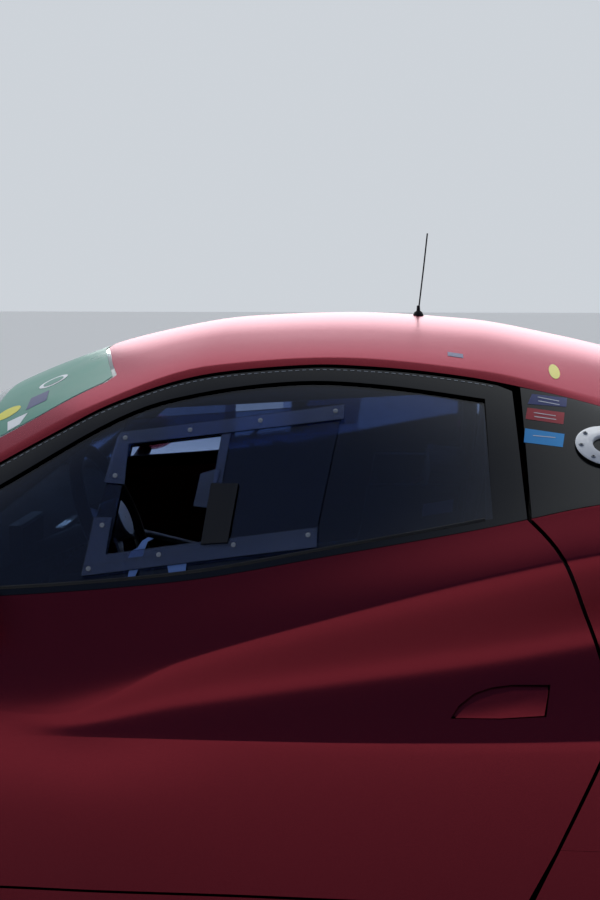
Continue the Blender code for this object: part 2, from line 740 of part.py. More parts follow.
HANDLE = [(0.607, 0.566), (0.640, 0.598), (0.762, 0.605), (0.757, 0.563), (0.615, 0.559)]
HANDLE_PROUD = 0.012
HAND_OPENING = [(0.045, 1.002), (0.146, 1.014), (0.150, 0.822), (-0.005, 0.802)]
SLIDER_EDGE = [(-0.005, 1.030), (0.402, 1.062), (0.364, 0.856), (-0.054, 0.784)]
HEADLAMP = [(-1.975, 0.655), (-1.955, 0.640), (-1.760, 0.655), (-1.560, 0.720), (-1.600, 0.775), (-1.780, 0.800), (-1.930, 0.800)]
NOSE_GRILLE = [(-0.40, 0.170), (0.40, 0.170), (0.44, 0.245), (0.38, 0.320), (-0.38, 0.320), (-0.44, 0.245)]
NOSE_DUCT = [(0.52, 0.175), (0.70, 0.185), (0.73, 0.290), (0.56, 0.315)]
TAIL_GRILLE = [(-0.58, 0.565), (0.58, 0.565), (0.55, 0.665), (-0.55, 0.665)]

WINDSCREEN = plan_ring((
    (-0.880, 0.0), (-0.872, 0.20), (-0.845, 0.42), (-0.795, 0.60), (-0.700, 0.728),
    (-0.400, 0.655), (-0.200, 0.595), (-0.075, 0.545), (-0.060, 0.520), (-0.092, 0.420), (-0.148, 0.210), (-0.168, 0.0),
))
COWL = plan_ring((
    (LID_REAR_X + PANEL_GAP, 0.0), (LID_REAR_X + PANEL_GAP, 0.35), (LID_REAR_X + PANEL_GAP, 0.66),
    (-0.800, 0.725), (-0.720, 0.745), (-0.700, 0.728), (-0.795, 0.60), (-0.845, 0.42), (-0.872, 0.20), (-0.880, 0.0),
))
LID = plan_ring((
    (LID_FRONT_X, 0.0), (LID_FRONT_X + 0.012, 0.24), (LID_FRONT_X + 0.060, LID_HALF_FRONT),
    (-1.60, 0.535), (-1.20, 0.590), (LID_REAR_X - 0.02, LID_HALF_REAR), (LID_REAR_X, LID_HALF_REAR - 0.02), (LID_REAR_X, 0.0),
))
COVER = plan_ring((
    (COVER_FRONT_X, 0.0), (COVER_FRONT_X, COVER_HALF_FRONT - 0.03), (COVER_FRONT_X + 0.03, COVER_HALF_FRONT),
    (1.40, 0.520), (COVER_REAR_X - 0.04, COVER_HALF_REAR), (COVER_REAR_X, COVER_HALF_REAR - 0.04), (COVER_REAR_X, 0.0),
))
REAR_GLASS = plan_ring((
    (COVER_FRONT_X + 0.055, 0.0), (COVER_FRONT_X + 0.055, 0.37), (COVER_FRONT_X + 0.075, 0.39),
    (1.36, 0.375), (1.38, 0.355), (1.38, 0.0),
))


def arch(axle_x, radius, clearance=ARCH_CLEARANCE):
    """Cylinder that opens a wheel arch on the right side."""
    centre = (axle_x, 0.52, radius)
    reach = (axle_x, 1.20, radius)
    return rod(centre, reach, radius + clearance, 28)


def front_cuts():
    """Cutters shared by the front panels."""
    return [
        prism(offset(LID, PANEL_GAP), "Z", 0.30, 1.5),
        prism(offset(COWL, TRIM_GAP), "Z", 0.30, 1.5),
    ]


def roof_zone(gap):
    """Side view area that the roof panel and pillars fill, grown by a gap."""
    low = belt(-0.70, ROOF_REAR_X + gap, rise=-gap)
    return low + [(ROOF_REAR_X + gap, 1.30), (-0.86, 1.30), (-0.86, 0.86 - gap), (-0.735, 0.752 - gap)]


WINDOW_STATIONS = stations(-0.62, 0.72, 0.23)
WINDOW_POSITIONS = (3.6, 4.0, 4.5, 5.0, 5.3)


def make_fenders():
    """Front fenders: skin less arch, door, skirt, lid, cowl and pillar."""
    mesh = wall(stations(FRONT_BUMPER_S + TRIM_GAP, -0.60, 0.21), FENDER_POSITIONS, SKIN_WALL)
    mesh = cut(
        mesh,
        prism(roof_zone(TRIM_GAP), "Y", 0.3, 1.3),
        arch(FRONT_AXLE_X, FRONT_TYRE_R),
        prism(offset(door_outline(), DOOR_GAP), "Y", 0.4, 1.3),
        prism(offset(sill_outline(), TRIM_GAP), "Y", 0.4, 1.3),
        *front_cuts(),
    )
    return largest(mesh)


def largest(mesh):
    """Only the biggest loose body of a mesh."""
    bm = bmesh.new()
    bm.from_mesh(mesh)
    left, groups = set(bm.verts), []
    while left:
        stack, group = [left.pop()], []
        while stack:
            v = stack.pop()
            group.append(v)
            for e in v.link_edges:
                w = e.other_vert(v)
                if w in left:
                    left.discard(w)
                    stack.append(w)
        groups.append(group)
    groups.sort(key=len, reverse=True)
    for group in groups[1:]:
        bmesh.ops.delete(bm, geom=group, context="VERTS")
    bm.to_mesh(mesh)
    bm.free()
    return mesh


def intake_outline():
    """Mouth of the side intake behind the door."""
    x0, x1 = 0.905, 1.030
    return [(x0 + 0.02, 0.575), (x1, 0.575), (x1 + 0.01, 0.70), (x1, 0.835), (x0 + 0.03, 0.835), (x0, 0.70)]


def make_rear_fenders():
    """Rear quarter panels with the side intake."""
    marks = stations(0.68, REAR_BUMPER_S - TRIM_GAP, 0.20)
    mesh = wall(marks, FENDER_POSITIONS[:-1], SKIN_WALL)
    block = thick_side(marks, FENDER_POSITIONS[:5], INTAKE_INNER_Y, -SKIN_WALL / 2)
    cup = keep(block, prism(offset(intake_outline(), INTAKE_WALL), "Y", 0.5, 1.3))
    return cut(
        fuse(mesh, cup),
        arch(REAR_AXLE_X, REAR_TYRE_R),
        prism(offset(door_outline(), DOOR_GAP), "Y", 0.4, 1.3),
        prism(offset(sill_outline(), TRIM_GAP), "Y", 0.4, 1.3),
        prism(roof_zone(TRIM_GAP), "Y", 0.3, 1.3),
        prism(intake_outline(), "Y", INTAKE_DEEP_Y, 1.3),
        prism(offset(COVER, PANEL_GAP), "Z", 0.30, 1.5),
    )


def make_roof():
    """Roof with its windscreen pillars, cant rails and rear sails."""
    mesh = wall(stations(-0.76, ROOF_REAR_X + 0.04, 0.25), positions(3.9, T_TOP, 2), ROOF_WALL)
    mesh = cut(
        keep(mesh, prism(roof_zone(0.0), "Y", -0.3, 1.3)),
        prism(opening_outline(), "Y", 0.3, 1.3),
        prism(WINDSCREEN, "Z", 0.4, 1.5),
        prism(offset(COWL, TRIM_GAP), "Z", 0.4, 1.5),
        prism(offset(COVER, PANEL_GAP), "Z", 0.4, 1.5),
    )
    return both_sides(largest(mesh))


def make_doors():
    """Doors as thick as the whole door, with a fin handle."""
    mesh = thick_side(stations(-0.70, 0.90, 0.20), (0.0, 1.0, 1.5, 2.0, 2.5, 3.0, 3.5, 4.0), DOOR_INNER_Y)
    outline = door_outline()
    slim = offset(outline, -DOOR_RAKE)
    region = loft([
        [Vector((x, y, z)) for x, z in shape]
        for y, shape in ((DOOR_INNER_Y - 0.05, slim), (DOOR_INNER_Y, slim), (DOOR_EDGE_Y, outline), (1.3, outline))
    ])
    rings = []
    for depth in (-HANDLE_PROUD, HANDLE_PROUD):
        spots = [side_point(x, z) for x, z in HANDLE]
        rings.append([point + normal * depth for point, normal in spots])
    return fuse(largest(keep(mesh, region)), loft(rings))


def make_frame():
    """Black frame round the door window."""
    mesh = wall(stations(-0.68, 0.76, 0.21), (3.6, 4.0, 4.5, 5.0, 5.4), FRAME_WALL)
    return largest(cut(keep(mesh, prism(frame_outline(), "Y", 0.3, 1.3)), prism(glass_outline(), "Y", 0.3, 1.3)))


def make_window():
    """Side window sheet with the hand opening near its front."""
    mesh = wall(WINDOW_STATIONS, WINDOW_POSITIONS, GLASS_WALL, GLASS_INSET)
    mesh = keep(mesh, prism(offset(glass_outline(), -TOUCH), "Y", 0.3, 1.3))
    return largest(cut(mesh, prism(HAND_OPENING, "Y", 0.3, 1.3)))


def make_slider():
    """Sliding pane with its rails, lying on the outside of the side window."""
    mesh = wall(WINDOW_STATIONS, WINDOW_POSITIONS, SLIDER_WALL, GLASS_INSET - SLIDER_WALL - TOUCH)
    mesh = keep(mesh, prism(SLIDER_EDGE, "Y", 0.3, 1.3), prism(offset(glass_outline(), -PANEL_GAP), "Y", 0.3, 1.3))
    return largest(cut(mesh, prism(HAND_OPENING, "Y", 0.3, 1.3)))


def make_quarter():
    """Black quarter panel behind the door window, with the hole for the filler."""
    mesh = wall(stations(0.70, 1.22, 0.13), (3.7, 4.0, 4.5, 5.0, 5.3), QUARTER_WALL)
    return largest(keep(mesh, prism(quarter_outline(), "Y", 0.3, 1.3)))


def side_point(x, z):
    """Point and outward normal of the right-hand skin at a side view point."""
    lo, hi = 0.0, T_RAIL
    for _ in range(40):
        mid = (lo + hi) / 2
        if skin(x, [mid])[0].z < z:
            lo = mid
        else:
            hi = mid
    return skin(x, [lo])[0], normals(x, [lo])[0]


def deck_z(x, y):
    """Height of the skin above a plan view point."""
    lo, hi = T_SHO, T_TOP
    for _ in range(40):
        mid = (lo + hi) / 2
        if skin(x, [mid])[0].y > y:
            lo = mid
        else:
            hi = mid
    return skin(x, [lo])[0].z


def along(point, direction, meshes):
    """Turns meshes made about the Y axis at the origin so that Y follows direction from point."""
    turn = Vector((0, 1, 0)).rotation_difference(direction).to_matrix().to_4x4()
    for mesh in meshes:
        mesh.transform(Matrix.Translation(point) @ turn)
    return meshes


def make_glasshouse(door_origin):
    """Window frames, side windows, quarter panels, windscreen, rear window and filler."""
    pair("door_frame", make_frame(), CARBON, door_origin)
    pair("side_window", make_window(), GLASS, door_origin)
    pair("window_slider", make_slider(), GLASS, door_origin)
    quarter = make_quarter()
    point, normal = side_point(*FILLER_AT)
    bore = turned([(FILLER_NECK_R + TOUCH, -0.10), (FILLER_NECK_R + TOUCH, 0.10)], (0, 0, 0), 12, False)
    along(point, normal, [bore])
    finish("quarter_panel_r", quarter.copy(), BLACK)
    finish("quarter_panel_l", mirrored(cut(quarter, bore)), BLACK)
    flange = [
        (FILLER_THROAT_R, 0.007), (FILLER_FLANGE_R, 0.007), (FILLER_FLANGE_R, 0.0030), (FILLER_NECK_R, 0.0030),
        (FILLER_NECK_R, -0.070), (FILLER_THROAT_R, -0.070),
    ]
    filler = turned(flange, (0, 0, 0), 12)
    plug = turned([(FILLER_THROAT_R + 0.001, -0.045), (FILLER_THROAT_R + 0.001, -0.055)], (0, 0, 0), 12, False)
    along(point, normal, [filler, plug])
    finish("fuel_filler", mirrored(fuse(filler, plug)), WHITE)
    screen = wall(stations(-0.93, -0.01, 0.19), (4.4, 5.0, 5.5, 6.0, 6.5, T_TOP), GLASS_WALL, GLASS_LIFT)
    screen = keep(screen, prism(offset(WINDSCREEN, -TOUCH), "Z", 0.4, 1.5))
    finish("windscreen", both_sides(largest(screen)), GLASS)
    rear = wall(stations(0.97, 1.44, 0.16), (5.0, 5.5, 6.0, 6.5, T_TOP), GLASS_WALL, GLASS_LIFT)
    hinge = (COVER_FRONT_X, 0, line("z_top", COVER_FRONT_X))
    finish("rear_window", both_sides(largest(keep(rear, prism(REAR_GLASS, "Z", 0.4, 1.5)))), GLASS, hinge)


def make_lids():
    """Front lid, cowl and engine cover."""
    lid = wall(stations(LID_FRONT_X - 0.08, LID_REAR_X + 0.03, 0.23), (4.5, 5.0, 6.0, 6.5, T_TOP), LID_WALL)
    hinge = (LID_REAR_X, 0, line("z_top", LID_REAR_X))
    lid = finish("front_lid", both_sides(largest(keep(lid, prism(LID, "Z", 0.30, 1.5)))), RED, hinge)
    cowl = wall(stations(-0.94, -0.66, 0.10), (4.3, 5.0, 5.5, 6.0, 6.5, T_TOP), COWL_WALL)
    cowl = keep(cowl, prism(offset(COWL, -TOUCH), "Z", 0.4, 1.5))
    finish("cowl", both_sides(largest(cowl)), BLACK)
    cover = wall(stations(COVER_FRONT_X - 0.03, COVER_REAR_X + 0.03, 0.25), (4.7, 5.0, 5.5, 6.0, 6.5, T_TOP), LID_WALL)
    cover = keep(cover, prism(COVER, "Z", 0.4, 1.5))
    slots = []
    for i in range(LOUVRES):
        x = LOUVRE_START_X + LOUVRE_PITCH * i
        slots.append(prism([(x, -0.30), (x + LOUVRE_PITCH / 2, -0.30), (x + LOUVRE_PITCH / 2, 0.30), (x, 0.30)], "Z", 0.7, 1.3))
    cover = cut(cover, prism(offset(REAR_GLASS, TOUCH), "Z", 0.4, 1.5), *slots)
    hinge = (COVER_FRONT_X, 0, line("z_top", COVER_FRONT_X))
    cover = finish("engine_cover", both_sides(largest(cover)), RED, hinge)
    return placed(lid), placed(cover)


def make_ends():
    """Front and rear bumpers, lamps, splitter, diffuser and exhaust."""
    front = cut(
        end_half(FRONT_BUMPER_S, NOSE_S, NOSE_ROUND, -1),
        end_room(FRONT_BUMPER_S + 0.25, NOSE_S, -1),
        prism(NOSE_GRILLE, "X", -2.4, -1.9),
        prism(NOSE_DUCT, "X", -2.4, -1.75),
        prism(HEADLAMP, "Z", 0.3, 0.9),
        prism(offset(LID, PANEL_GAP), "Z", 0.3, 1.0),
    )
    finish("front_bumper", both_sides(largest(front)), RED)
    lamp = wall(stations(-2.16, -1.53, 0.16), (3.6, 4.0, 4.5, 5.2), LAMP_DEPTH, 0.0005)
    pair("headlamp", largest(keep(lamp, prism(offset(HEADLAMP, -LAMP_GAP), "Z", 0.3, 0.9))), LAMP)
    rear = cut(
        end_half(REAR_BUMPER_S, TAIL_S, TAIL_ROUND, 1),
        end_room(REAR_BUMPER_S - 0.25, TAIL_S, 1),
        rod((1.8, TAIL_LAMP_Y, TAIL_LAMP_Z), (2.4, TAIL_LAMP_Y, TAIL_LAMP_Z), TAIL_LAMP_R + TOUCH, 16),
        rod((1.8, PIPE_Y, PIPE_Z), (2.4, PIPE_Y, PIPE_Z), PIPE_R + 0.010, 12),
        prism(TAIL_GRILLE, "X", 2.08, 2.4),
    )
    rear_bumper = finish("rear_bumper", both_sides(largest(rear)), RED)
    face = TAIL_S + TAIL_ROUND + bow(TAIL_S, TAIL_LAMP_Y)
    pair("tail_lamp", rod((face - 0.05, TAIL_LAMP_Y, TAIL_LAMP_Z), (face + 0.006, TAIL_LAMP_Y, TAIL_LAMP_Z), TAIL_LAMP_R, 16), TAIL)
    nose = NOSE_S - NOSE_ROUND
    edge = [(nose - SPLITTER_LIP + bow(NOSE_S, y), y) for y in (0.0, 0.2, 0.4, 0.6, 0.75, 0.86)]
    splitter = plan_ring(edge + [(-1.80, 0.915), (-1.60, 0.900), (SPLITTER_REAR_X, 0.62), (SPLITTER_REAR_X, 0.0)])
    finish("front_splitter", prism(splitter, "Z", SPLITTER_Z, line("z_bot", -2.0) - TOUCH), CARBON)
    x0, x1 = FLOOR_END_X + TOUCH, DIFFUSER_END_X
    ramp_z = [(x0, FLOOR_Z), (x1, 0.215), (x1, 0.232), (x0, FLOOR_Z + 0.018)]
    fin = [(x0 + 0.03, 0.10), (x1, 0.115), (x1, 0.222), (x0 + 0.03, 0.113)]
    fins = [prism(fin, "Y", y - 0.006, y + 0.006) for y in DIFFUSER_FINS]
    finish("diffuser", fuse(prism(ramp_z, "Y", -DIFFUSER_HALF, DIFFUSER_HALF), *fins), CARBON)
    pipes = [rod((1.86, side * PIPE_Y, PIPE_Z), (PIPE_END_X, side * PIPE_Y, PIPE_Z), PIPE_R, 12) for side in (1, -1)]
    bores = [rod((1.98, side * PIPE_Y, PIPE_Z), (PIPE_END_X + 0.1, side * PIPE_Y, PIPE_Z), PIPE_R - 0.004, 12) for side in (1, -1)]
    muffler = box((REAR_AXLE_X + GEARBOX_REACH + TOUCH, -0.26, 0.30), (1.90, 0.26, 0.44))
    finish("exhaust", cut(fuse(muffler, *pipes), *bores), STEEL)
    return placed(rear_bumper)


def make_wing(deck):
    """Rear wing on two stands that end on the deck."""
    chord = [(2.26, 1.135), (2.20, 1.112), (2.10, 1.088), (2.02, 1.082), (1.985, 1.090), (1.99, 1.100), (2.06, 1.104), (2.16, 1.120), (2.255, 1.142)]
    body = prism(chord, "Y", -WING_HALF, WING_HALF)
    plate = [(1.965, 1.02), (2.27, 1.02), (2.280, 1.16), (2.10, 1.165), (1.97, 1.12)]
    parts = [prism(plate, "Y", side * WING_HALF - 0.004, side * WING_HALF + 0.004) for side in (1, -1)]
    for side in (1, -1):
        y = side * WING_STAND_Y
        foot = [(x, deck_z(x, WING_STAND_Y) - STAND_SINK) for x in (1.995, 2.03, 2.07, 2.11)]
        parts.append(prism(foot + [(2.17, 1.100), (2.09, 1.092)], "Y", y - 0.006, y + 0.006))
    finish("rear_wing", cut(fuse(body, *parts), shifted(deck, (0, 0, TOUCH))), CARBON)


def make_mirrors(door, door_origin):
    """Door mirrors on stalks that end on the door, one body each."""
    cx, cy, cz = MIRROR_AT
    rings = []
    for i in range(7):
        a = math.pi * (i + 0.35) / 6.7
        r = math.sin(a) ** 0.6
        y = cy - MIRROR_HALF[1] * math.cos(a)
        ring_points = []
        for k in range(12):
            b = 2 * math.pi * k / 12
            x = cx + MIRROR_HALF[0] * r * math.cos(b)
            ring_points.append(Vector((min(x, cx + MIRROR_HALF[0] * 0.72), y, cz + MIRROR_HALF[2] * r * math.sin(b))))
        rings.append(ring_points)
    shell = loft(rings)
    corners = [(-0.030, -0.009), (0.030, -0.009), (0.030, 0.009), (-0.030, 0.009)]
    foot = []
    for dx, dz in corners:
        point, normal = side_point(MIRROR_ROOT_X + dx, MIRROR_ROOT_Z + dz)
        foot.append(point - normal * STAND_SINK)
    head = [Vector((cx + dx * 0.6, cy - 0.03, cz - 0.02 + dz)) for dx, dz in corners]
    stalk = loft([foot, head])
    seat = shifted(door, (0, TOUCH, TOUCH))
    pair("mirror", largest(cut(fuse(shell, stalk), seat)), RED, door_origin)


def make_wheel(stem, axle_x, half_track, tyre_r, tyre_w):
    """Rim with its brake disc, and tyre, on one side, and their twins."""
    centre = (axle_x, half_track, tyre_r)
    w = tyre_w / 2
    bead = RIM_R
    profile = [
        (bead, -w * 0.86), (bead + 0.040, -w), (tyre_r - 0.045, -w * 0.99), (tyre_r - 0.010, -w * 0.86), (tyre_r, -w * 0.66),
        (tyre_r, w * 0.66), (tyre_r - 0.010, w * 0.86), (tyre_r - 0.045, w * 0.99), (bead + 0.040, w), (bead, w * 0.86),
    ]
    pair("tyre_" + stem, turned(profile, centre, TYRE_FACETS), RUBBER, centre)
    flange = w * 0.86 - 0.004
    barrel = turned([
        (bead - TOUCH, -flange), (bead - TOUCH, flange), (bead - 0.012, flange), (bead - 0.018, flange - 0.02),
        (bead - 0.014, -flange),
    ], centre, TYRE_FACETS)
    face = flange - 0.030
    hub = turned([(0.028, face - 0.055), (0.028, face + 0.004), (0.055, face + 0.004), (0.075, face - 0.020), (0.075, face - 0.055)], centre, 12)
    disc = turned([(0.165, face - 0.075), (0.165, face - 0.047), (0.060, face - 0.047), (0.060, face - 0.075)], centre, 12)
    spokes = []
    for i in range(SPOKES):
        a = 2 * math.pi * (i + 0.27) / SPOKES
        out, side = Vector((math.sin(a), 0, math.cos(a))), Vector((math.cos(a), 0, -math.sin(a)))
        rings = []
        for r, half, top, depth in ((0.056, 0.012, face - 0.003, 0.031), (bead - 0.007, 0.014, flange - 0.006, 0.022)):
            c = Vector(centre) + out * r
            rings.append([c + side * half + Vector((0, top, 0)), c - side * half + Vector((0, top, 0)), c - side * half + Vector((0, top - depth, 0)), c + side * half + Vector((0, top - depth, 0))])
        spokes.append(loft(rings))
    pair("rim_" + stem, fuse(barrel, gathered(spokes), hub, disc), RIM, centre)
    return centre, face


def make_running_gear():
    """Wheels, steered knuckles and the two suspension frames."""
    front, face = make_wheel("front", FRONT_AXLE_X, FRONT_HALF_TRACK, FRONT_TYRE_R, FRONT_TYRE_W)
    rear, rear_face = make_wheel("rear", REAR_AXLE_X, REAR_HALF_TRACK, REAR_TYRE_R, REAR_TYRE_W)
    pin_y = FRONT_HALF_TRACK - KINGPIN_INSET
    x, z = FRONT_AXLE_X, FRONT_TYRE_R
    stub_end = FRONT_HALF_TRACK + face
    upright = fuse(
        box((x - 0.035, pin_y - 0.018, z - 0.130), (x + 0.035, pin_y + 0.018, z + 0.130)),
        rod((x, pin_y, z), (x, stub_end, z), STUB_R, 12),
        box((x + 0.090, pin_y - 0.016, z - 0.055), (x + 0.160, pin_y + 0.034, z + 0.075)),
        box((x + 0.020, pin_y - 0.014, z - 0.025), (x + 0.120, pin_y + 0.010, z + 0.025)),
        rod((x + 0.030, pin_y, z - 0.070), (x + 0.115, pin_y - 0.012, z - 0.070), 0.010),
    )
    pair("knuckle", upright, ALLOY, (x, pin_y, z))
    base = FLOOR_Z + FLOOR_WALL + TOUCH
    frame = [box((x - 0.16, -0.34, base), (x + 0.16, 0.34, base + 0.040))]
    for side in (1, -1):
        frame.append(box((x - 0.13, side * 0.33 - 0.018, base + 0.010), (x + 0.13, side * 0.33 + 0.018, 0.520)))
        for end_z, root_z in ((z - 0.1464, 0.150), (z + 0.1464, 0.490)):
            for dx in (-0.125, 0.105):
                frame.append(rod((x + dx, side * 0.325, root_z), (x, side * pin_y, end_z), 0.013, 4))
            frame.append(rod((x, side * pin_y, end_z - 0.016), (x, side * pin_y, end_z + 0.016), 0.020, 10))
    finish("front_suspension", fuse(frame[0], *frame[1:]), STEEL)
    x, z = REAR_AXLE_X, REAR_TYRE_R
    pin_y = REAR_HALF_TRACK - 0.150
    stub_end = REAR_HALF_TRACK + rear_face
    frame = [box((x - 0.20, -0.34, base), (x + 0.28, 0.34, base + 0.032)), box((x - 0.02, -0.15, base + 0.020), (x + GEARBOX_REACH, 0.15, 0.450))]
    for side in (1, -1):
        frame.append(box((x - 0.17, side * 0.33 - 0.018, base + 0.010), (x + 0.17, side * 0.33 + 0.018, 0.560)))
        frame.append(box((x - 0.035, side * pin_y - 0.020, z - 0.150), (x + 0.035, side * pin_y + 0.020, z + 0.150)))
        frame.append(box((x + 0.090, side * (pin_y + 0.006) - 0.022, z - 0.06), (x + 0.155, side * (pin_y + 0.006) + 0.022, z + 0.07)))
        frame.append(box((x + 0.02, side * pin_y - 0.014, z - 0.025), (x + 0.12, side * pin_y + 0.014, z + 0.025)))
        for end_z, root_z in ((z - 0.135, 0.150), (z + 0.135, 0.530)):
            for dx in (-0.150, 0.130):
                frame.append(rod((x + dx, side * 0.325, root_z), (x, side * pin_y, end_z), 0.013, 4))
    frame.append(rod((x, -stub_end, z), (x, stub_end, z), STUB_R, 12))
    finish("rear_suspension", fuse(frame[0], *frame[1:]), STEEL)


def make_tub(panels):
    """Floor, rockers, bulkheads and the hinge brackets under the doors, lids and roof."""
    front_x = FRONT_AXLE_X + FRONT_TYRE_R + ARCH_CLEARANCE + ROCKER_CLEARANCE
    rear_x = REAR_AXLE_X - REAR_TYRE_R - ARCH_CLEARANCE - 0.010
    rocker = DOOR_INNER_Y - 0.008 - TOUCH
    top = FLOOR_Z + FLOOR_WALL
    plan = plan_ring([
        (SPLITTER_REAR_X + TOUCH, 0.0), (SPLITTER_REAR_X + TOUCH, 0.50), (front_x, 0.50), (front_x, rocker), (rear_x, rocker), (rear_x, 0.60), (FLOOR_END_X, 0.60), (FLOOR_END_X, 0.0),
    ])
    floor = prism(plan, "Z", FLOOR_Z, top)
    blocks = []
    for side in (1, -1):
        lo, hi = sorted((side * (rocker - 0.11), side * rocker))
        blocks.append(box((front_x, lo, FLOOR_Z + 0.004), (rear_x, hi, ROCKER_TOP)))
    dash_x = DOOR_FRONT_X - 0.075
    blocks.append(box((dash_x, -rocker, top - 0.01), (dash_x + 0.025, rocker, 0.690)))
    blocks.append(box((BULKHEAD_X, -rocker, top - 0.01), (BULKHEAD_X + 0.025, rocker, 0.900)))
    blocks.append(box((BULKHEAD_X, -0.40, 0.88), (BULKHEAD_X + 0.025, 0.40, 1.075)))
    for side in (1, -1):
        for z in HINGE_HEIGHTS:
            lo, hi = sorted((side * (rocker - 0.05), side * (DOOR_EDGE_Y + 0.006)))
            blocks.append(box((dash_x, lo, z - 0.03), (DOOR_FRONT_X - TOUCH, hi, z + 0.03)))
        lo, hi = sorted((side * 0.36, side * 0.40))
        reach = COVER_FRONT_X + 0.045
        under = deck_z(reach, 0.40) - LID_WALL / 2
        blocks.append(box((BULKHEAD_X + 0.010, lo, under - 0.06), (reach, hi, under)))
        back = LID_REAR_X - 0.03
        under = deck_z(back - 0.03, 0.40) - LID_WALL / 2
        blocks.append(box((back - 0.03, lo, 0.60), (dash_x + 0.01, hi, 0.68)))
        blocks.append(box((back - 0.03, lo, 0.60), (back, hi, under)))
    seats = [shifted(panel, (0, 0, -TOUCH)) for panel in panels]
    finish("tub", largest(cut(fuse(floor, *blocks), *seats)), BLACK)
    side = thick_side(stations(front_x - 0.06, rear_x + 0.08, 0.22), (0.0, 0.5, 1.0), DOOR_INNER_Y - 0.008)
    steered = arch(FRONT_AXLE_X, FRONT_TYRE_R, SKIRT_CLEARANCE)
    skirt = cut(keep(side, prism(sill_outline(), "Y", 0.5, 1.3)), steered, arch(REAR_AXLE_X, REAR_TYRE_R))
    pair("side_skirt", largest(skirt), RED)
    finish("engine", box((BULKHEAD_X + 0.06, -0.27, top + TOUCH), (REAR_AXLE_X - 0.21, 0.27, 0.64)), ALLOY)


def make_cabin():
    """Dash, steering wheel, seat and roll cage."""
    dash_x = DOOR_FRONT_X - 0.050 + TOUCH
    profile = [(dash_x, 0.50), (dash_x, 0.70), (-0.56, 0.745), (-0.40, 0.735), (-0.30, 0.690), (-0.32, 0.60), (-0.42, 0.52)]
    axis = Vector((-1.0, 0, -WHEEL_TILT)).normalized()
    top = Vector(WHEEL_AT) + axis * WHEEL_TO_COLUMN
    column = rod(top + axis * COLUMN_LENGTH, top, 0.022, 10)
    finish("dashboard", fuse(prism(profile, "Y", -DASH_HALF, DASH_HALF), column), BLACK)
    rim = turned([(0.165 + 0.014 * math.cos(a), 0.014 * math.sin(a)) for a in [math.pi * k / 3 for k in range(6)]], (0, 0, 0), 16)
    tail = WHEEL_TO_COLUMN - TOUCH
    boss = turned([(0.045, -0.030), (0.045, 0.012), (0.024, 0.020), (0.022, tail)], (0, 0, 0), 12, False)
    bars = [box((-0.165, -0.006, -0.016), (0.165, 0.006, 0.016)), box((-0.014, -0.006, -0.165), (0.014, 0.006, 0.0))]
    wheel = fuse(rim, boss, *bars)
    along(Vector(WHEEL_AT), axis, [wheel])
    finish("steering_wheel", wheel, BLACK, WHEEL_AT)
    base = FLOOR_Z + FLOOR_WALL + TOUCH
    sx = SEAT_X
    shell = [(sx - 0.30, base), (sx - 0.30, 0.30), (sx + 0.12, 0.24), (sx + 0.30, 0.92), (sx + 0.38, 0.92), (sx + 0.24, base)]
    seat = prism(shell, "Y", DRIVER_Y - 0.20, DRIVER_Y + 0.20)
    for side in (1, -1):
        lo, hi = sorted((DRIVER_Y + side * 0.195, DRIVER_Y + side * 0.235))
        seat = fuse(seat, prism([(sx - 0.28, base + 0.02), (sx - 0.26, 0.40), (sx + 0.02, 0.46), (sx + 0.16, 0.72), (sx + 0.18, 0.90), (sx + 0.38, 0.90), (sx + 0.22, base + 0.02)], "Y", lo, hi))
    finish("driver_seat", seat, CLOTH)
    make_cage()


def make_cage():
    """Welded roll cage standing on the floor."""
    base = FLOOR_Z + FLOOR_WALL + TOUCH
    hoop_x, thin = CAGE_HOOP_X, CAGE_R * 0.85
    y_foot, y_belt, y_roof, z_roof = 0.62, 0.70, 0.46, 1.085
    y_hoop = y_foot + (y_belt - y_foot) * 0.62
    bars = [
        ((hoop_x, -y_roof, z_roof), (hoop_x, y_roof, z_roof), CAGE_R),
        ((-0.05, -y_roof, 1.040), (-0.05, y_roof, 1.040), CAGE_R * 0.94),
        ((hoop_x, -y_roof, z_roof), (hoop_x, y_hoop, 0.50), thin),
    ]
    for side in (1, -1):
        bars += [
            ((hoop_x, side * y_foot, base), (hoop_x, side * y_belt, 0.72), CAGE_R),
            ((hoop_x, side * y_belt, 0.72), (hoop_x, side * y_roof, z_roof), CAGE_R * 0.98),
            ((-0.55, side * y_foot, base), (-0.52, side * y_belt, 0.660), CAGE_R * 0.97),
            ((-0.52, side * y_belt, 0.660), (-0.05, side * y_roof, 1.040), CAGE_R * 0.95),
            ((-0.05, side * y_roof, 1.040), (hoop_x, side * y_roof, z_roof), CAGE_R * 0.92),
            ((-0.54, side * 0.65, 0.38), (hoop_x, side * 0.67, 0.55), thin),
            ((-0.53, side * 0.69, 0.58), (hoop_x, side * 0.64, 0.32), thin * 0.96),
        ]
    tubes = []
    for a, b, radius in bars:
        a, b = Vector(a), Vector(b)
        along_bar = (b - a).normalized()
        start = a if abs(a.z - base) < 1e-6 else a - along_bar * radius * 0.47
        tubes.append(rod(start, b + along_bar * radius * 0.71, radius, 5))
    mesh = fuse(tubes[0], *tubes[1:])
    finish("roll_cage", cut(mesh, box((-1, -1, -0.2), (1.2, 1, base))), STEEL)


def make_small_parts(roof):
    """Aerial that stands on the roof."""
    z = deck_z(AERIAL_X, 0.0)
    base = rod((AERIAL_X, 0, z - STAND_SINK), (AERIAL_X, 0, z + 0.012), 0.012, 12)
    mast = rod((AERIAL_X, 0, z + 0.006), (AERIAL_X + 0.020, 0, z + AERIAL_LENGTH), 0.0022, 8)
    finish("aerial", cut(fuse(base, mast), shifted(roof, (0, 0, TOUCH))), BLACK)


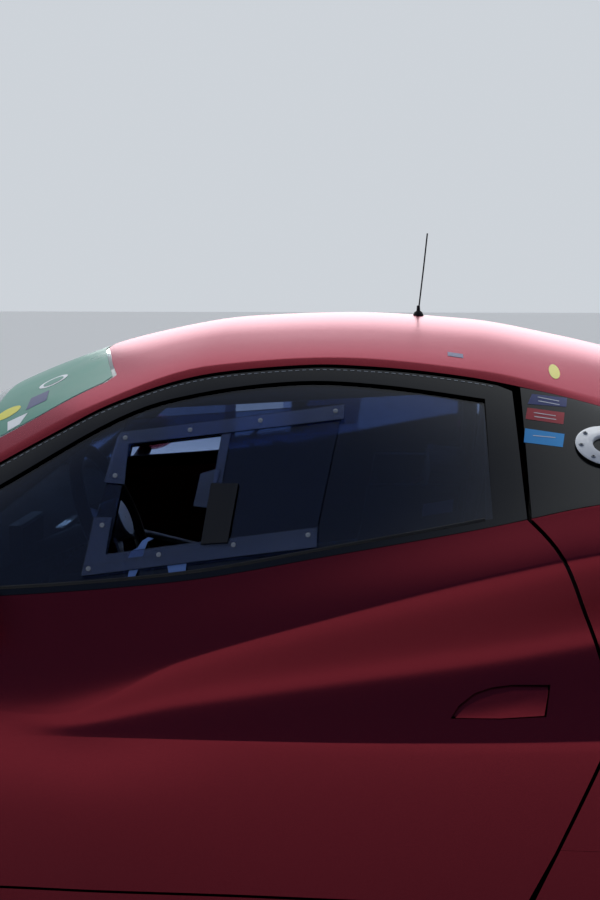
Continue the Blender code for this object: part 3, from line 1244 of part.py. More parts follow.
def build():
    """Makes every part of the car."""
    hinge = (DOOR_FRONT_X, line("y_low", DOOR_FRONT_X) + HINGE_OUT, 0.45)
    fender = cut(make_fenders(), prism(HEADLAMP, "Z", 0.3, 0.9))
    pair("fender_front", largest(fender), RED)
    pair("fender_rear", largest(make_rear_fenders()), RED)
    roof = finish("roof", make_roof(), RED)
    door = pair("door", make_doors(), RED, hinge)[1]
    make_glasshouse(hinge)
    lids = make_lids()
    deck = make_ends()
    make_wing(deck)
    make_mirrors(placed(door), hinge)
    make_running_gear()
    make_tub([*lids, placed(roof)])
    make_cabin()
    make_small_parts(placed(roof))


if __name__ == "__main__":
    build()
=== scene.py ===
"""Looks of a closed mid-engined circuit racing coupe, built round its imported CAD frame.

The nose points along -X, the left side is -Y and the wheels stand on Z = 0. Body panels are cut out of the
same master skin as the solids, on a finer grid, with the skin's own normals.
"""

import json
import logging
import math
from dataclasses import dataclass, field
from enum import Enum

import bmesh
import bpy
import numpy as np
from mathutils import Matrix, Vector, geometry

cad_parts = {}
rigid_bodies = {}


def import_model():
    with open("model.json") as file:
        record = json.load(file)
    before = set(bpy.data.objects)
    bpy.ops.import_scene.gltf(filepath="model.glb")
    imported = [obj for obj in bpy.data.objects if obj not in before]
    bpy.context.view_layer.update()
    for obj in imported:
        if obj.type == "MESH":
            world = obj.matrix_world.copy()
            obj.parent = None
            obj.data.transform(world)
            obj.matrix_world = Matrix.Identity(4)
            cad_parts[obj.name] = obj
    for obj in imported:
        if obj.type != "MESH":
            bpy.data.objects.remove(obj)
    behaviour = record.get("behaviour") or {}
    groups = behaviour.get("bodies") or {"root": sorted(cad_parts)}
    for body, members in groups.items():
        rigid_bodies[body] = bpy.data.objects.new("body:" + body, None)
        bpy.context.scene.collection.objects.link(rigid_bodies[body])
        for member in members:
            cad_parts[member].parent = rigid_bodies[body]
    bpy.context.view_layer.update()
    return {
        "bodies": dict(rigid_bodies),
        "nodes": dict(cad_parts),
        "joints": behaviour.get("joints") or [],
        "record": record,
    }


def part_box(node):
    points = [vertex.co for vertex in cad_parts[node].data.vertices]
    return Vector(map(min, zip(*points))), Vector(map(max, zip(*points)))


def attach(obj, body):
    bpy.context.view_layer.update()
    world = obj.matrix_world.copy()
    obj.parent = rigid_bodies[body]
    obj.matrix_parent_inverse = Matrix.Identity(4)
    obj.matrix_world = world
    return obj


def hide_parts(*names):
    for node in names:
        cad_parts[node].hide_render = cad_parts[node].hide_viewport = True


LOG = logging.getLogger("race_car")

# Sizes shared with the solids, in metres
TOUCH = 0.0004
TRIM_GAP = 0.0005
PANEL_GAP = 0.006
DOOR_GAP = 0.0065
LAMP_GAP = 0.0006
SILL_TOP_Z = 0.195
SILL_TOP_REAR_Z = 0.322
DOOR_BOTTOM_Z = SILL_TOP_Z + PANEL_GAP
DOOR_FRONT_X = -0.655
DOOR_REAR_X = 0.725
DOOR_INNER_Y = 0.800
ROOF_REAR_X = 1.400
FRONT_BUMPER_S = -1.800
REAR_BUMPER_S = 1.965
LID_FRONT_X = -1.930
LID_REAR_X = -0.905
COVER_FRONT_X = 0.985
COVER_REAR_X = 1.900
FRONT_AXLE = (-1.19, 0.828, 0.325)
REAR_AXLE = (1.46, 0.806, 0.345)
ARCH_CLEARANCE = 0.042
CELL = 0.030
SKIRT_CLEARANCE = 0.080
FILLER_AT = (0.876, 0.993)

# Line table of the master skin: z and y of each named line at a station s along the car
COLUMNS = "s z_bot y_bot z_low y_low z_mid y_mid z_upp y_upp z_sho y_sho z_rail y_rail z_top".split()
LINES = (
    (-2.17, 0.105, 0.760, 0.230, 0.830, 0.300, 0.850, 0.370, 0.845, 0.440, 0.790, 0.475, 0.500, 0.492),
    (-2.00, 0.105, 0.820, 0.250, 0.890, 0.350, 0.900, 0.450, 0.890, 0.545, 0.815, 0.548, 0.540, 0.565),
    (-1.65, 0.105, 0.850, 0.300, 0.930, 0.430, 0.938, 0.560, 0.925, 0.675, 0.820, 0.640, 0.590, 0.652),
    (-1.19, 0.105, 0.865, 0.340, 0.952, 0.480, 0.957, 0.620, 0.940, 0.745, 0.825, 0.705, 0.620, 0.725),
    (-0.88, 0.095, 0.870, 0.400, 0.955, 0.510, 0.955, 0.620, 0.940, 0.748, 0.845, 0.742, 0.700, 0.800),
    (-0.65, 0.095, 0.870, 0.430, 0.953, 0.520, 0.955, 0.610, 0.943, 0.722, 0.865, 0.782, 0.770, 0.922),
    (-0.47, 0.095, 0.870, 0.460, 0.953, 0.530, 0.954, 0.590, 0.946, 0.716, 0.872, 0.845, 0.732, 1.011),
    (-0.27, 0.095, 0.870, 0.495, 0.953, 0.530, 0.952, 0.560, 0.948, 0.728, 0.874, 0.948, 0.686, 1.100),
    (-0.09, 0.095, 0.870, 0.507, 0.952, 0.526, 0.949, 0.545, 0.948, 0.742, 0.875, 1.043, 0.645, 1.158),
    (0.14, 0.095, 0.870, 0.507, 0.953, 0.565, 0.934, 0.645, 0.946, 0.768, 0.874, 1.122, 0.606, 1.198),
    (0.38, 0.095, 0.870, 0.510, 0.957, 0.600, 0.917, 0.722, 0.946, 0.814, 0.872, 1.139, 0.596, 1.207),
    (0.66, 0.095, 0.870, 0.520, 0.963, 0.640, 0.899, 0.802, 0.944, 0.870, 0.870, 1.115, 0.594, 1.192),
    (0.86, 0.095, 0.870, 0.532, 0.968, 0.680, 0.884, 0.848, 0.946, 0.915, 0.868, 1.070, 0.594, 1.157),
    (0.98, 0.095, 0.870, 0.540, 0.970, 0.700, 0.880, 0.865, 0.950, 0.928, 0.866, 1.040, 0.596, 1.130),
    (1.06, 0.095, 0.872, 0.545, 0.972, 0.705, 0.955, 0.870, 0.952, 0.932, 0.866, 1.019, 0.600, 1.110),
    (1.46, 0.100, 0.880, 0.560, 0.976, 0.710, 0.974, 0.850, 0.950, 0.935, 0.862, 0.953, 0.612, 1.015),
    (1.80, 0.120, 0.880, 0.540, 0.970, 0.690, 0.966, 0.820, 0.940, 0.915, 0.850, 0.925, 0.625, 0.955),
    (2.02, 0.200, 0.850, 0.480, 0.945, 0.640, 0.940, 0.780, 0.915, 0.890, 0.820, 0.905, 0.630, 0.928),
    (2.16, 0.260, 0.820, 0.440, 0.915, 0.600, 0.910, 0.740, 0.890, 0.862, 0.800, 0.885, 0.630, 0.908),
)
CONTROL_NAMES = ("bot", "low", "mid", "upp", "sho", "rail")
T_SHO, T_RAIL, T_TOP = 4.0, 5.0, 7.0
ROOF_SHARE = 0.66
ROOF_CROWN = 2.4

Outline = list[tuple[float, float]]

ALONG, SIDEWAYS, UP = Vector((1, 0, 0)), Vector((0, 1, 0)), Vector((0, 0, 1))
ACROSS = Matrix.Scale(-1, 4, SIDEWAYS)
CHASSIS = ("chassis", "chassis")
DOORS = ("door_left", "door_right")


class View(Enum):
    """The direction that an outline is drawn in."""

    SIDE = (0, 2)
    PLAN = (0, 1)


def ramp(s: np.ndarray, lo: float, hi: float) -> np.ndarray:
    """Smooth step from 0 at lo to 1 at hi."""
    u = np.clip((np.asarray(s, float) - lo) / (hi - lo), 0.0, 1.0)
    return u * u * (3 - 2 * u)


@dataclass
class Skin:
    """The outer surface of the car as a loft of named lines.

    A point has a station s along the car and a position t round the section: 0 is the lower edge, 4 the belt,
    5 the cant rail and 7 the centre line.
    """

    nose_s: float = -2.170
    tail_s: float = 2.160
    nose_bow: float = 0.300
    tail_bow: float = 0.110
    bow_width: float = 0.950
    nose_bow_start: float = -1.250
    tail_bow_start: float = 1.600
    nose_round: float = 0.085
    tail_round: float = 0.045
    rows: np.ndarray = field(default_factory=lambda: np.array(LINES))

    def __post_init__(self) -> None:
        """Works out the monotone slopes of each column."""
        xs = self.rows[:, 0]
        h = np.diff(xs)
        self.slopes = np.zeros_like(self.rows)
        for k in range(1, self.rows.shape[1]):
            d = np.diff(self.rows[:, k]) / h
            m = self.slopes[:, k]
            for i in range(1, len(xs) - 1):
                if d[i - 1] * d[i] > 0:
                    w1, w2 = 2 * h[i] + h[i - 1], h[i] + 2 * h[i - 1]
                    m[i] = (w1 + w2) / (w1 / d[i - 1] + w2 / d[i])
            m[0], m[-1] = d[0], d[-1]

    def line(self, name: str, s: np.ndarray) -> np.ndarray:
        """Value of one named line at the stations s."""
        k = COLUMNS.index(name)
        xs, ys, m = self.rows[:, 0], self.rows[:, k], self.slopes[:, k]
        s = np.clip(np.asarray(s, float), xs[0], xs[-1])
        i = np.clip(np.searchsorted(xs, s) - 1, 0, len(xs) - 2)
        h = xs[i + 1] - xs[i]
        u = (s - xs[i]) / h
        return (
            ys[i] * (1 + 2 * u) * (1 - u) ** 2
            + m[i] * h * u * (1 - u) ** 2
            + ys[i + 1] * u * u * (3 - 2 * u)
            + m[i + 1] * h * u * u * (u - 1)
        )

    def bow(self, s: np.ndarray, y: np.ndarray) -> np.ndarray:
        """How far the plan of the nose and tail sweeps in towards the corners."""
        share = (np.asarray(y) / self.bow_width) ** 2
        front = self.nose_bow * share * (1 - ramp(s, self.nose_s, self.nose_bow_start))
        rear = self.tail_bow * share * ramp(s, self.tail_bow_start, self.tail_s)
        return front - rear

    def half(self, s: np.ndarray, t: np.ndarray) -> np.ndarray:
        """Points (y, z) of the right half section.

        Args:
            s: Stations along the car.
            t: Positions round the section, 0 to 7, as many as there are stations.

        Returns:
            An array of shape (n, 2).
        """
        s, t = np.broadcast_arrays(np.asarray(s, float), np.asarray(t, float))
        points = np.stack(
            [np.stack([self.line("y_" + n, s), self.line("z_" + n, s)], -1) for n in CONTROL_NAMES], 1
        )
        top, rail = self.line("z_top", s), points[:, 5]
        roof_z = top - (top - rail[:, 1]) * ROOF_SHARE**ROOF_CROWN
        roof = np.stack([rail[:, 0] * ROOF_SHARE, roof_z], -1)
        crown = np.stack([np.zeros_like(top), top], -1)
        points = np.concatenate([points, roof[:, None], crown[:, None]], 1)
        side = ramp(s, -0.15, 0.30) * (1 - ramp(s, 1.30, 1.90))
        cabin = ramp(s, -0.90, -0.55) * (1 - ramp(s, 1.05, 1.35))
        none = np.zeros_like(side)
        crease = np.stack([none, 0.85 * side, none, 0.6 * side, 0.9 * cabin, 0.5 * cabin, none, none], -1)
        chords = np.diff(points, axis=1)
        lengths = np.linalg.norm(chords, axis=2) + 1e-6
        units = chords / lengths[..., None]
        tangents = np.empty_like(points)
        tangents[:, 0] = units[:, 0]
        tangents[:, 7] = (-1.0, 0.0)
        before, after = lengths[:, :-1, None], lengths[:, 1:, None]
        tangents[:, 1:7] = (units[:, :-1] * after + units[:, 1:] * before) / (before + after)
        i = np.clip(t.astype(int), 0, 6)
        u = (t - i)[:, None]
        n = np.arange(len(s))
        own, c0, c1 = units[n, i], crease[n, i][:, None], crease[n, i + 1][:, None]
        start = tangents[n, i] * (1 - c0) + own * c0
        end = tangents[n, i + 1] * (1 - c1) + own * c1
        h = lengths[n, i][:, None]
        return (
            points[n, i] * (1 + 2 * u) * (1 - u) ** 2
            + start * h * u * (1 - u) ** 2
            + points[n, i + 1] * u * u * (3 - 2 * u)
            + end * h * u * u * (u - 1)
        )

    def at(self, s: np.ndarray, t: np.ndarray) -> np.ndarray:
        """Points of the skin. Past the centre line the other side follows.

        Past the last station at each end the skin turns over a rounded edge. Stations there count
        the angle: one rounding radius past the end is the whole quarter turn.
        """
        s, t = np.broadcast_arrays(np.asarray(s, float), np.asarray(t, float))
        s, t = s.ravel(), t.ravel()
        yz = self.half(s, np.clip(np.minimum(t, 2 * T_TOP - t), 0, T_TOP))
        past = np.clip((self.nose_s - s) / self.nose_round, 0, 1)
        past = past + np.clip((s - self.tail_s) / self.tail_round, 0, 1)
        if past.any():
            radius = np.where(s < 0, self.nose_round, self.tail_round)
            shrink = radius * (1 - np.cos(past * math.pi / 2))
            widest, floor, top = self.widest(s), self.line("z_bot", s), self.line("z_top", s)
            low = (top - floor - shrink) / (top - floor)
            yz = np.stack([yz[:, 0] * (widest - shrink) / widest, floor + (yz[:, 1] - floor) * low], -1)
            end = np.where(s < 0, self.nose_s, self.tail_s)
            s = np.where(past > 0, end + np.sign(s) * radius * np.sin(past * math.pi / 2), s)
        sign = np.where(t <= T_TOP, 1.0, -1.0)
        return np.stack([s + self.bow(s, yz[:, 0]), sign * yz[:, 0], yz[:, 1]], -1)

    def widest(self, s: np.ndarray) -> np.ndarray:
        """Greatest half width of each section."""
        return np.max([self.line("y_" + name, s) for name in CONTROL_NAMES], axis=0)

    def normal(self, s: np.ndarray, t: np.ndarray) -> np.ndarray:
        """Outward directions of the skin, over a few millimetres so that creases have a small radius."""
        ds, dt = 0.008, 0.045
        along = self.at(s + ds, t) - self.at(s - ds, t)
        up = self.at(s, np.minimum(t + dt, 2 * T_TOP)) - self.at(s, np.maximum(t - dt, 0))
        out = np.cross(up, along)
        return out / np.linalg.norm(out, axis=1, keepdims=True)

    def spots(
        self, places: Outline, view: View = View.SIDE, proud: float = 0.0,
    ) -> list[tuple[Vector, Vector]]:
        """Points on the right side of the skin, from one view, with the outward direction at each."""
        s, t = self.locate(np.array(places, float), view).T
        out = self.normal(s, t)
        return [(Vector(p), Vector(n)) for p, n in zip(self.at(s, t) + out * proud, out)]

    def locate(self, points: np.ndarray, view: View) -> np.ndarray:
        """Stations and positions of outline points that lie on the right side of the skin.

        Args:
            points: Outline points of shape (n, 2), drawn in the given view.
            view: SIDE for (x, z), PLAN for (x, y).

        Returns:
            An array of (s, t) rows. Points off the skin continue past its edge.
        """
        x, v = points[:, 0], points[:, 1]
        marks = np.linspace(0, T_TOP, 71) if view is View.SIDE else np.linspace(T_TOP, 2.0, 51)
        column = 1 if view is View.SIDE else 0
        s, y = x.copy(), np.zeros_like(x)
        for _ in range(6):
            s = x - self.bow(s, y)
            grid_s = np.repeat(s, len(marks))
            values = self.half(grid_s, np.tile(marks, len(s)))[:, column].reshape(len(s), -1)
            rising = np.maximum.accumulate(values, axis=1)
            j = np.clip((rising < v[:, None]).sum(1) - 1, 0, len(marks) - 2)
            n = np.arange(len(s))
            a, b = values[n, j], values[n, j + 1]
            slope = np.where(np.abs(b - a) < 1e-5, 1e-5, b - a)
            share = (v - a) / slope
            over = v > rising[:, -1]
            share = np.where(over, 1 + (v - rising[:, -1]) * 20, np.clip(share, -30, 1))
            j = np.where(over, len(marks) - 2, j)
            t = marks[j] + (marks[1] - marks[0]) * share
            y = self.half(s, np.clip(t, 0, T_TOP))[:, 0]
        lo, hi = marks[j], marks[j + 1]
        for _ in range(10):
            mid = (lo + hi) / 2
            high = self.half(s, mid)[:, column] > v
            lo, hi = np.where(high, lo, mid), np.where(high, mid, hi)
        return np.stack([s, np.where(~over & (share > 0), (lo + hi) / 2, t)], -1)


def smooth(points: Outline, steps: int = 6) -> Outline:
    """A smooth curve through a few points, as a list of points."""
    out = []
    n = len(points)
    for i in range(n - 1):
        p0, p1 = Vector(points[max(i - 1, 0)]), Vector(points[i])
        p2, p3 = Vector(points[i + 1]), Vector(points[min(i + 2, n - 1)])
        for k in range(steps):
            u = k / steps
            m1, m2 = (p2 - p0) / 2, (p3 - p1) / 2
            spot = p1 * (1 + 2 * u) * (1 - u) ** 2 + m1 * u * (1 - u) ** 2
            out.append(tuple(spot + p2 * u * u * (3 - 2 * u) + m2 * u * u * (u - 1)))
    out.append(tuple(points[-1]))
    return out


def grown(outline: Outline, distance: float) -> Outline:
    """The outline moved outwards by a distance, or inwards if it is negative."""
    points = [Vector(p) for p in outline]
    n = len(points)
    area = sum(points[i].x * points[(i + 1) % n].y - points[(i + 1) % n].x * points[i].y for i in range(n))
    sign = 1 if area > 0 else -1
    moved = []
    for i in range(n):
        a = (points[i] - points[i - 1]).normalized()
        b = (points[(i + 1) % n] - points[i]).normalized()
        na, nb = Vector((a.y, -a.x)) * sign, Vector((b.y, -b.x)) * sign
        mid = na + nb
        mid = mid.normalized() if mid.length > 1e-6 else na
        moved.append(tuple(points[i] + mid * distance / max(mid.dot(na), 0.5)))
    return moved


def turns(count: int) -> list[float]:
    """Even steps of a whole turn."""
    return [2 * math.pi * i / count for i in range(count)]


def circle(x: float, v: float, radius: float, count: int = 96) -> Outline:
    """A round outline."""
    return [(x + radius * math.cos(a), v + radius * math.sin(a)) for a in turns(count)]


def both(points: Outline) -> Outline:
    """A plan outline that is the same on both sides, from its points on the right, front to rear."""
    return list(points) + [(x, -y) for x, y in reversed(points) if y > 1e-6]


def inside(outline: Outline, points: np.ndarray) -> np.ndarray:
    """Which points lie inside a closed outline."""
    poly = np.array(outline)
    x, y = points[:, 0], points[:, 1]
    found = np.zeros(len(points), bool)
    for (ax, ay), (bx, by) in zip(poly, np.roll(poly, -1, axis=0)):
        if ay == by:
            continue
        crosses = (ay > y) != (by > y)
        found ^= crosses & (x < (bx - ax) * (y - ay) / (by - ay) + ax)
    return found


@dataclass
class Trim:
    """One closed outline that bounds a panel or opens a hole in it."""

    outline: Outline
    view: View
    keeps: bool = False

    def dense(self, step: float = 0.012) -> np.ndarray:
        """The outline with no stretch longer than a step."""
        points = np.array(self.outline)
        out = []
        for a, b in zip(points, np.roll(points, -1, axis=0)):
            count = max(1, int(math.ceil(float(np.linalg.norm(b - a)) / step)))
            out.append(a + (b - a) * np.arange(count)[:, None] / count)
        return np.concatenate(out)

    def passes(self, points: np.ndarray) -> np.ndarray:
        """Which 3-D points this outline leaves in the panel."""
        within = inside(self.outline, points[:, list(self.view.value)])
        return within if self.keeps else ~within


@dataclass
class Surface:
    """Triangles with a position and an outward direction at each corner."""

    points: np.ndarray
    normals: np.ndarray
    triangles: np.ndarray
    places: np.ndarray

    def rim(self) -> np.ndarray:
        """Directed edges that only one triangle uses, apart from those on the centre line."""
        tri = self.triangles
        edges = np.concatenate([tri[:, [0, 1]], tri[:, [1, 2]], tri[:, [2, 0]]])
        keys = np.sort(edges, axis=1)
        _, index, counts = np.unique(keys, axis=0, return_index=True, return_counts=True)
        loose = edges[index[counts == 1]]
        centre = np.all(np.abs(self.points[loose][:, :, 1]) < 1e-6, axis=1)
        return loose[~centre]


def steps(lo: float, hi: float, step: float, marks: tuple[float, ...] = ()) -> np.ndarray:
    """Even steps from lo to hi that also meet the given marks closely from both sides."""
    count = max(2, int(math.ceil((hi - lo) / step)) + 1)
    values = list(np.linspace(lo, hi, count))
    for mark in marks:
        values += [mark + d for d in (-0.10, -0.045, -0.015, 0.0, 0.015, 0.045, 0.10) if lo < mark + d < hi]
    values = sorted(values)
    kept = [values[0]]
    for v in values[1:]:
        if v - kept[-1] > 1e-4:
            kept.append(v)
    return np.array(kept)


def patch(
    skin: Skin, s_range: tuple[float, float], t_range: tuple[float, float], trims: list[Trim],
    step: float = 0.03, s_marks: tuple[float, ...] = (),
) -> Surface:
    """The part of the right half of the skin that its trims leave.

    Args:
        skin: The master skin.
        s_range: First and last station.
        t_range: First and last position round the section.
        trims: Outlines that bound the panel or open it.
        step: Longest side of a cell along the car.
        s_marks: Stations that the grid is finer about.

    Returns:
        The trimmed surface, with the skin's own directions.
    """
    scale = 0.18
    s_grid = steps(*s_range, step, s_marks)
    creases = (1.0, 3.0, 4.0, 5.0)
    t_grid = steps(*t_range, 0.125, creases)
    ss, tt = np.meshgrid(s_grid, t_grid, indexing="ij")
    coords = [np.stack([ss.ravel(), tt.ravel()], -1)]
    edges = []
    start = len(coords[0])
    for j, t in enumerate(t_grid):
        if min(abs(t - crease) for crease in creases) < 0.046:
            row = [i * len(t_grid) + j for i in range(len(s_grid))]
            edges += list(zip(row, row[1:]))
    (s0, s1), (t0, t1) = s_range, t_range
    border = np.array([(s0, t0), (s1, t0), (s1, t1), (s0, t1)])
    for loop in [border] + [skin.locate(trim.dense(), trim.view) for trim in trims]:
        count = len(loop)
        coords.append(loop)
        edges += [(start + k, start + (k + 1) % count) for k in range(count)]
        start += count
    flat = np.concatenate(coords) * (1.0, scale)
    made = geometry.delaunay_2d_cdt([Vector(p) for p in flat], edges, [], 0, 1e-6)
    places = np.array([tuple(v) for v in made[0]]) / (1.0, scale)
    tri = np.array([f for f in made[2] if len(f) == 3])
    middle = places[tri].mean(1)
    keep = (middle[:, 0] > s0) & (middle[:, 0] < s1) & (middle[:, 1] > t0) & (middle[:, 1] < t1)
    tri, middle = tri[keep], middle[keep]
    spots = skin.at(middle[:, 0], middle[:, 1])
    keep = np.ones(len(tri), bool)
    for trim in trims:
        keep &= trim.passes(spots)
    return compact(skin, places, tri[keep])


def compact(skin: Skin, places: np.ndarray, tri: np.ndarray) -> Surface:
    """The biggest connected body of the triangles, placed on the skin and facing out."""
    parent = np.arange(len(places))
    settled = False
    while not settled:
        low = parent[tri].min(1)
        before = parent.copy()
        np.minimum.at(parent, tri.ravel(), np.repeat(low, 3))
        parent = parent[parent]
        settled = np.array_equal(before, parent)
    labels, counts = np.unique(parent[tri[:, 0]], return_counts=True)
    tri = tri[parent[tri[:, 0]] == labels[np.argmax(counts)]]
    used, inverse = np.unique(tri, return_inverse=True)
    tri = inverse.reshape(-1, 3)
    s, t = places[used, 0], places[used, 1]
    points, out = skin.at(s, t), skin.normal(s, t)
    face = np.cross(points[tri[:, 1]] - points[tri[:, 0]], points[tri[:, 2]] - points[tri[:, 0]])
    flip = (face * out[tri[:, 0]]).sum(1) < 0
    tri[flip] = tri[flip][:, ::-1]
    return Surface(points, out, tri, places[used])


def linked(name: str, data: bpy.types.ID) -> bpy.types.Object:
    """A new object of the scene, at the origin."""
    made = bpy.data.objects.new(name, data)
    bpy.context.scene.collection.objects.link(made)
    return made


class Draft:
    """Gathers the faces of a piece, with a direction at each corner, and turns them into an object."""

    def __init__(self) -> None:
        """Starts with no faces."""
        self.points: list[np.ndarray] = []
        self.faces: list[list[int]] = []
        self.normals: list[np.ndarray] = []
        self.slots: list[int] = []
        self.count = 0

    def add(self, points: np.ndarray, faces: np.ndarray, normals: np.ndarray, slot: int = 0) -> None:
        """Adds faces whose corner directions have the shape (faces, corners, 3)."""
        self.points.append(np.asarray(points, float))
        self.faces += (np.asarray(faces) + self.count).tolist()
        self.normals.append(np.asarray(normals, float).reshape(-1, 3))
        self.slots += [slot] * len(faces)
        self.count += len(points)

    def solid(self, front: Surface, back: np.ndarray, slot: int = 0) -> None:
        """Adds a closed body between a surface and the points behind it."""
        tri, n = front.triangles, len(front.points)
        turned = tri[:, ::-1]
        edges = front.rim()
        a, b = front.points[edges[:, 0]], front.points[edges[:, 1]]
        wall = np.cross(b - a, back[edges[:, 0]] - a)
        wall = -wall / (np.linalg.norm(wall, axis=1, keepdims=True) + 1e-12)
        quads = np.stack([edges[:, 1], edges[:, 0], edges[:, 0] + n, edges[:, 1] + n], -1)
        points = np.concatenate([front.points, back])
        self.add(points, tri, front.normals[tri], slot)
        start = self.count - len(points)
        self.faces += (turned + n + start).tolist()
        self.normals.append(-front.normals[turned].reshape(-1, 3))
        self.slots += [slot] * len(turned)
        self.faces += (quads + start).tolist()
        self.normals.append(np.repeat(-wall, 4, axis=0))
        self.slots += [slot] * len(quads)

    def mirrored(self) -> "Draft":
        """The same faces on the other side of the car."""
        twin = Draft()
        twin.points = [p * (1, -1, 1) for p in self.points]
        twin.faces = [f[::-1] for f in self.faces]
        normals = np.concatenate(self.normals) * (1, -1, 1)
        out, start = np.empty_like(normals), 0
        for f in self.faces:
            out[start:start + len(f)] = normals[start:start + len(f)][::-1]
            start += len(f)
        twin.normals, twin.slots, twin.count = [out], list(self.slots), self.count
        return twin

    def extend(self, other: "Draft") -> "Draft":
        """Adds the faces of another draft."""
        self.points += other.points
        self.faces += [[i + self.count for i in f] for f in other.faces]
        self.normals += other.normals
        self.slots += other.slots
        self.count += other.count
        return self

    def object(self, name: str, materials: list[bpy.types.Material]) -> bpy.types.Object:
        """Makes the object, with doubles on the centre line merged and the corner directions kept."""
        points = np.concatenate(self.points)
        seam = np.abs(points[:, 1]) < 1e-6
        keys = np.round(points[seam] / 1e-6).astype(np.int64)
        _, first, back = np.unique(keys, axis=0, return_index=True, return_inverse=True)
        table = np.arange(len(points))
        rows = np.flatnonzero(seam)
        table[rows] = rows[first[back.ravel()]]
        used, again = np.unique(table, return_inverse=True)
        mesh = bpy.data.meshes.new(name)
        mesh.from_pydata(points[used].tolist(), [], [[int(again[i]) for i in f] for f in self.faces])
        mesh.polygons.foreach_set("material_index", self.slots)
        mesh.polygons.foreach_set("use_smooth", [True] * len(self.faces))
        mesh.normals_split_custom_set(np.concatenate(self.normals).tolist())
        mesh.update()
        for material in materials:
            mesh.materials.append(material)
        return linked(name, mesh)


def sheet_on(
    skin: Skin, s: tuple[float, float], t: tuple[float, float], trims: list[Trim], wall: float,
    proud: float = 0.0,
    cell: float = CELL,
) -> Draft:
    """A closed sheet on the right half that follows the skin.

    Args:
        skin: The master skin.
        s: First and last station.
        t: First and last position round the section.
        trims: Outlines that bound or open it.
        wall: Its thickness.
        proud: How far its face stands out, or in where negative.
        cell: Longest side of a cell along the car.

    Returns:
        The sheet.
    """
    front = patch(skin, s, t, trims, cell)
    front.points = front.points + front.normals * proud
    made = Draft()
    made.solid(front, front.points - front.normals * wall)
    return made

# Outlines of the panels, as (x, z) from the side or (x, y) from above

WINDOW_TOP: Outline = [
    (-0.640, 0.738), (-0.400, 0.862), (-0.142, 1.003), (-0.027, 1.060), (0.124, 1.107),
    (0.315, 1.127), (0.439, 1.126), (0.578, 1.114), (0.712, 1.093), (0.900, 1.048), (1.180, 0.957),
]
GLASS_TOP: Outline = [
    (-0.560, 0.738), (-0.400, 0.820), (-0.246, 0.903), (-0.023, 1.030), (0.127, 1.076),
    (0.317, 1.099), (0.480, 1.093), (0.662, 1.070),
]
DOOR_REAR: Outline = [
    (0.725, 0.885), (0.775, 0.834), (0.819, 0.732), (0.847, 0.659), (0.862, 0.590),
    (0.849, 0.510), (0.781, 0.316), (0.735, DOOR_BOTTOM_Z),
]
HAND_OPENING: Outline = [(0.010, 0.986), (0.180, 1.008), (0.160, 0.824), (-0.010, 0.804)]
SLIDER_EDGE: Outline = [(-0.005, 1.030), (0.402, 1.062), (0.364, 0.856), (-0.054, 0.784)]
INTAKE: Outline = [(0.925, 0.575), (1.030, 0.575), (1.040, 0.70), (1.030, 0.835), (0.935, 0.835),
    (0.905, 0.70)]
HEADLAMP: Outline = [
    (-1.975, 0.655), (-1.955, 0.640), (-1.760, 0.655), (-1.560, 0.720), (-1.600, 0.775), (-1.780, 0.800),
    (-1.930, 0.800),
]
NOSE_GRILLE: Outline = [(-0.40, 0.170), (0.40, 0.170), (0.44, 0.245), (0.38, 0.320), (-0.38, 0.320),
    (-0.44, 0.245)]
NOSE_DUCT: Outline = [(0.52, 0.175), (0.70, 0.185), (0.73, 0.290), (0.56, 0.315)]
TAIL_GRILLE: Outline = [(-0.58, 0.565), (0.58, 0.565), (0.55, 0.665), (-0.55, 0.665)]
WINDSCREEN = both([
    (-0.880, 0.0), (-0.872, 0.20), (-0.845, 0.42), (-0.795, 0.60), (-0.700, 0.728), (-0.400, 0.655),
    (-0.200, 0.595), (-0.075, 0.545), (-0.060, 0.520), (-0.092, 0.420), (-0.148, 0.210), (-0.168, 0.0),
])
COWL = both([
    (LID_REAR_X + PANEL_GAP, 0.0), (LID_REAR_X + PANEL_GAP, 0.35), (LID_REAR_X + PANEL_GAP, 0.66),
    (-0.800, 0.725), (-0.720, 0.745), (-0.700, 0.728), (-0.795, 0.60), (-0.845, 0.42), (-0.872, 0.20),
    (-0.880, 0.0),
])
LID = both([
    (LID_FRONT_X, 0.0), (LID_FRONT_X + 0.012, 0.24), (LID_FRONT_X + 0.060, 0.420), (-1.60, 0.535),
    (-1.20, 0.590), (LID_REAR_X - 0.02, 0.610), (LID_REAR_X, 0.590), (LID_REAR_X, 0.0),
])
COVER = both([
    (COVER_FRONT_X, 0.0), (COVER_FRONT_X, 0.440), (COVER_FRONT_X + 0.03, 0.470), (1.40, 0.520),
    (COVER_REAR_X - 0.04, 0.560), (COVER_REAR_X, 0.520), (COVER_REAR_X, 0.0),
])
REAR_GLASS = both([
    (COVER_FRONT_X + 0.055, 0.0), (COVER_FRONT_X + 0.055, 0.37), (COVER_FRONT_X + 0.075, 0.39),
    (1.36, 0.375), (1.38, 0.355), (1.38, 0.0),
])
LOUVRES = [
    [(x, -0.30), (x + 0.0375, -0.30), (x + 0.0375, 0.30), (x, 0.30)] for x in (1.450, 1.525, 1.600, 1.675)
]


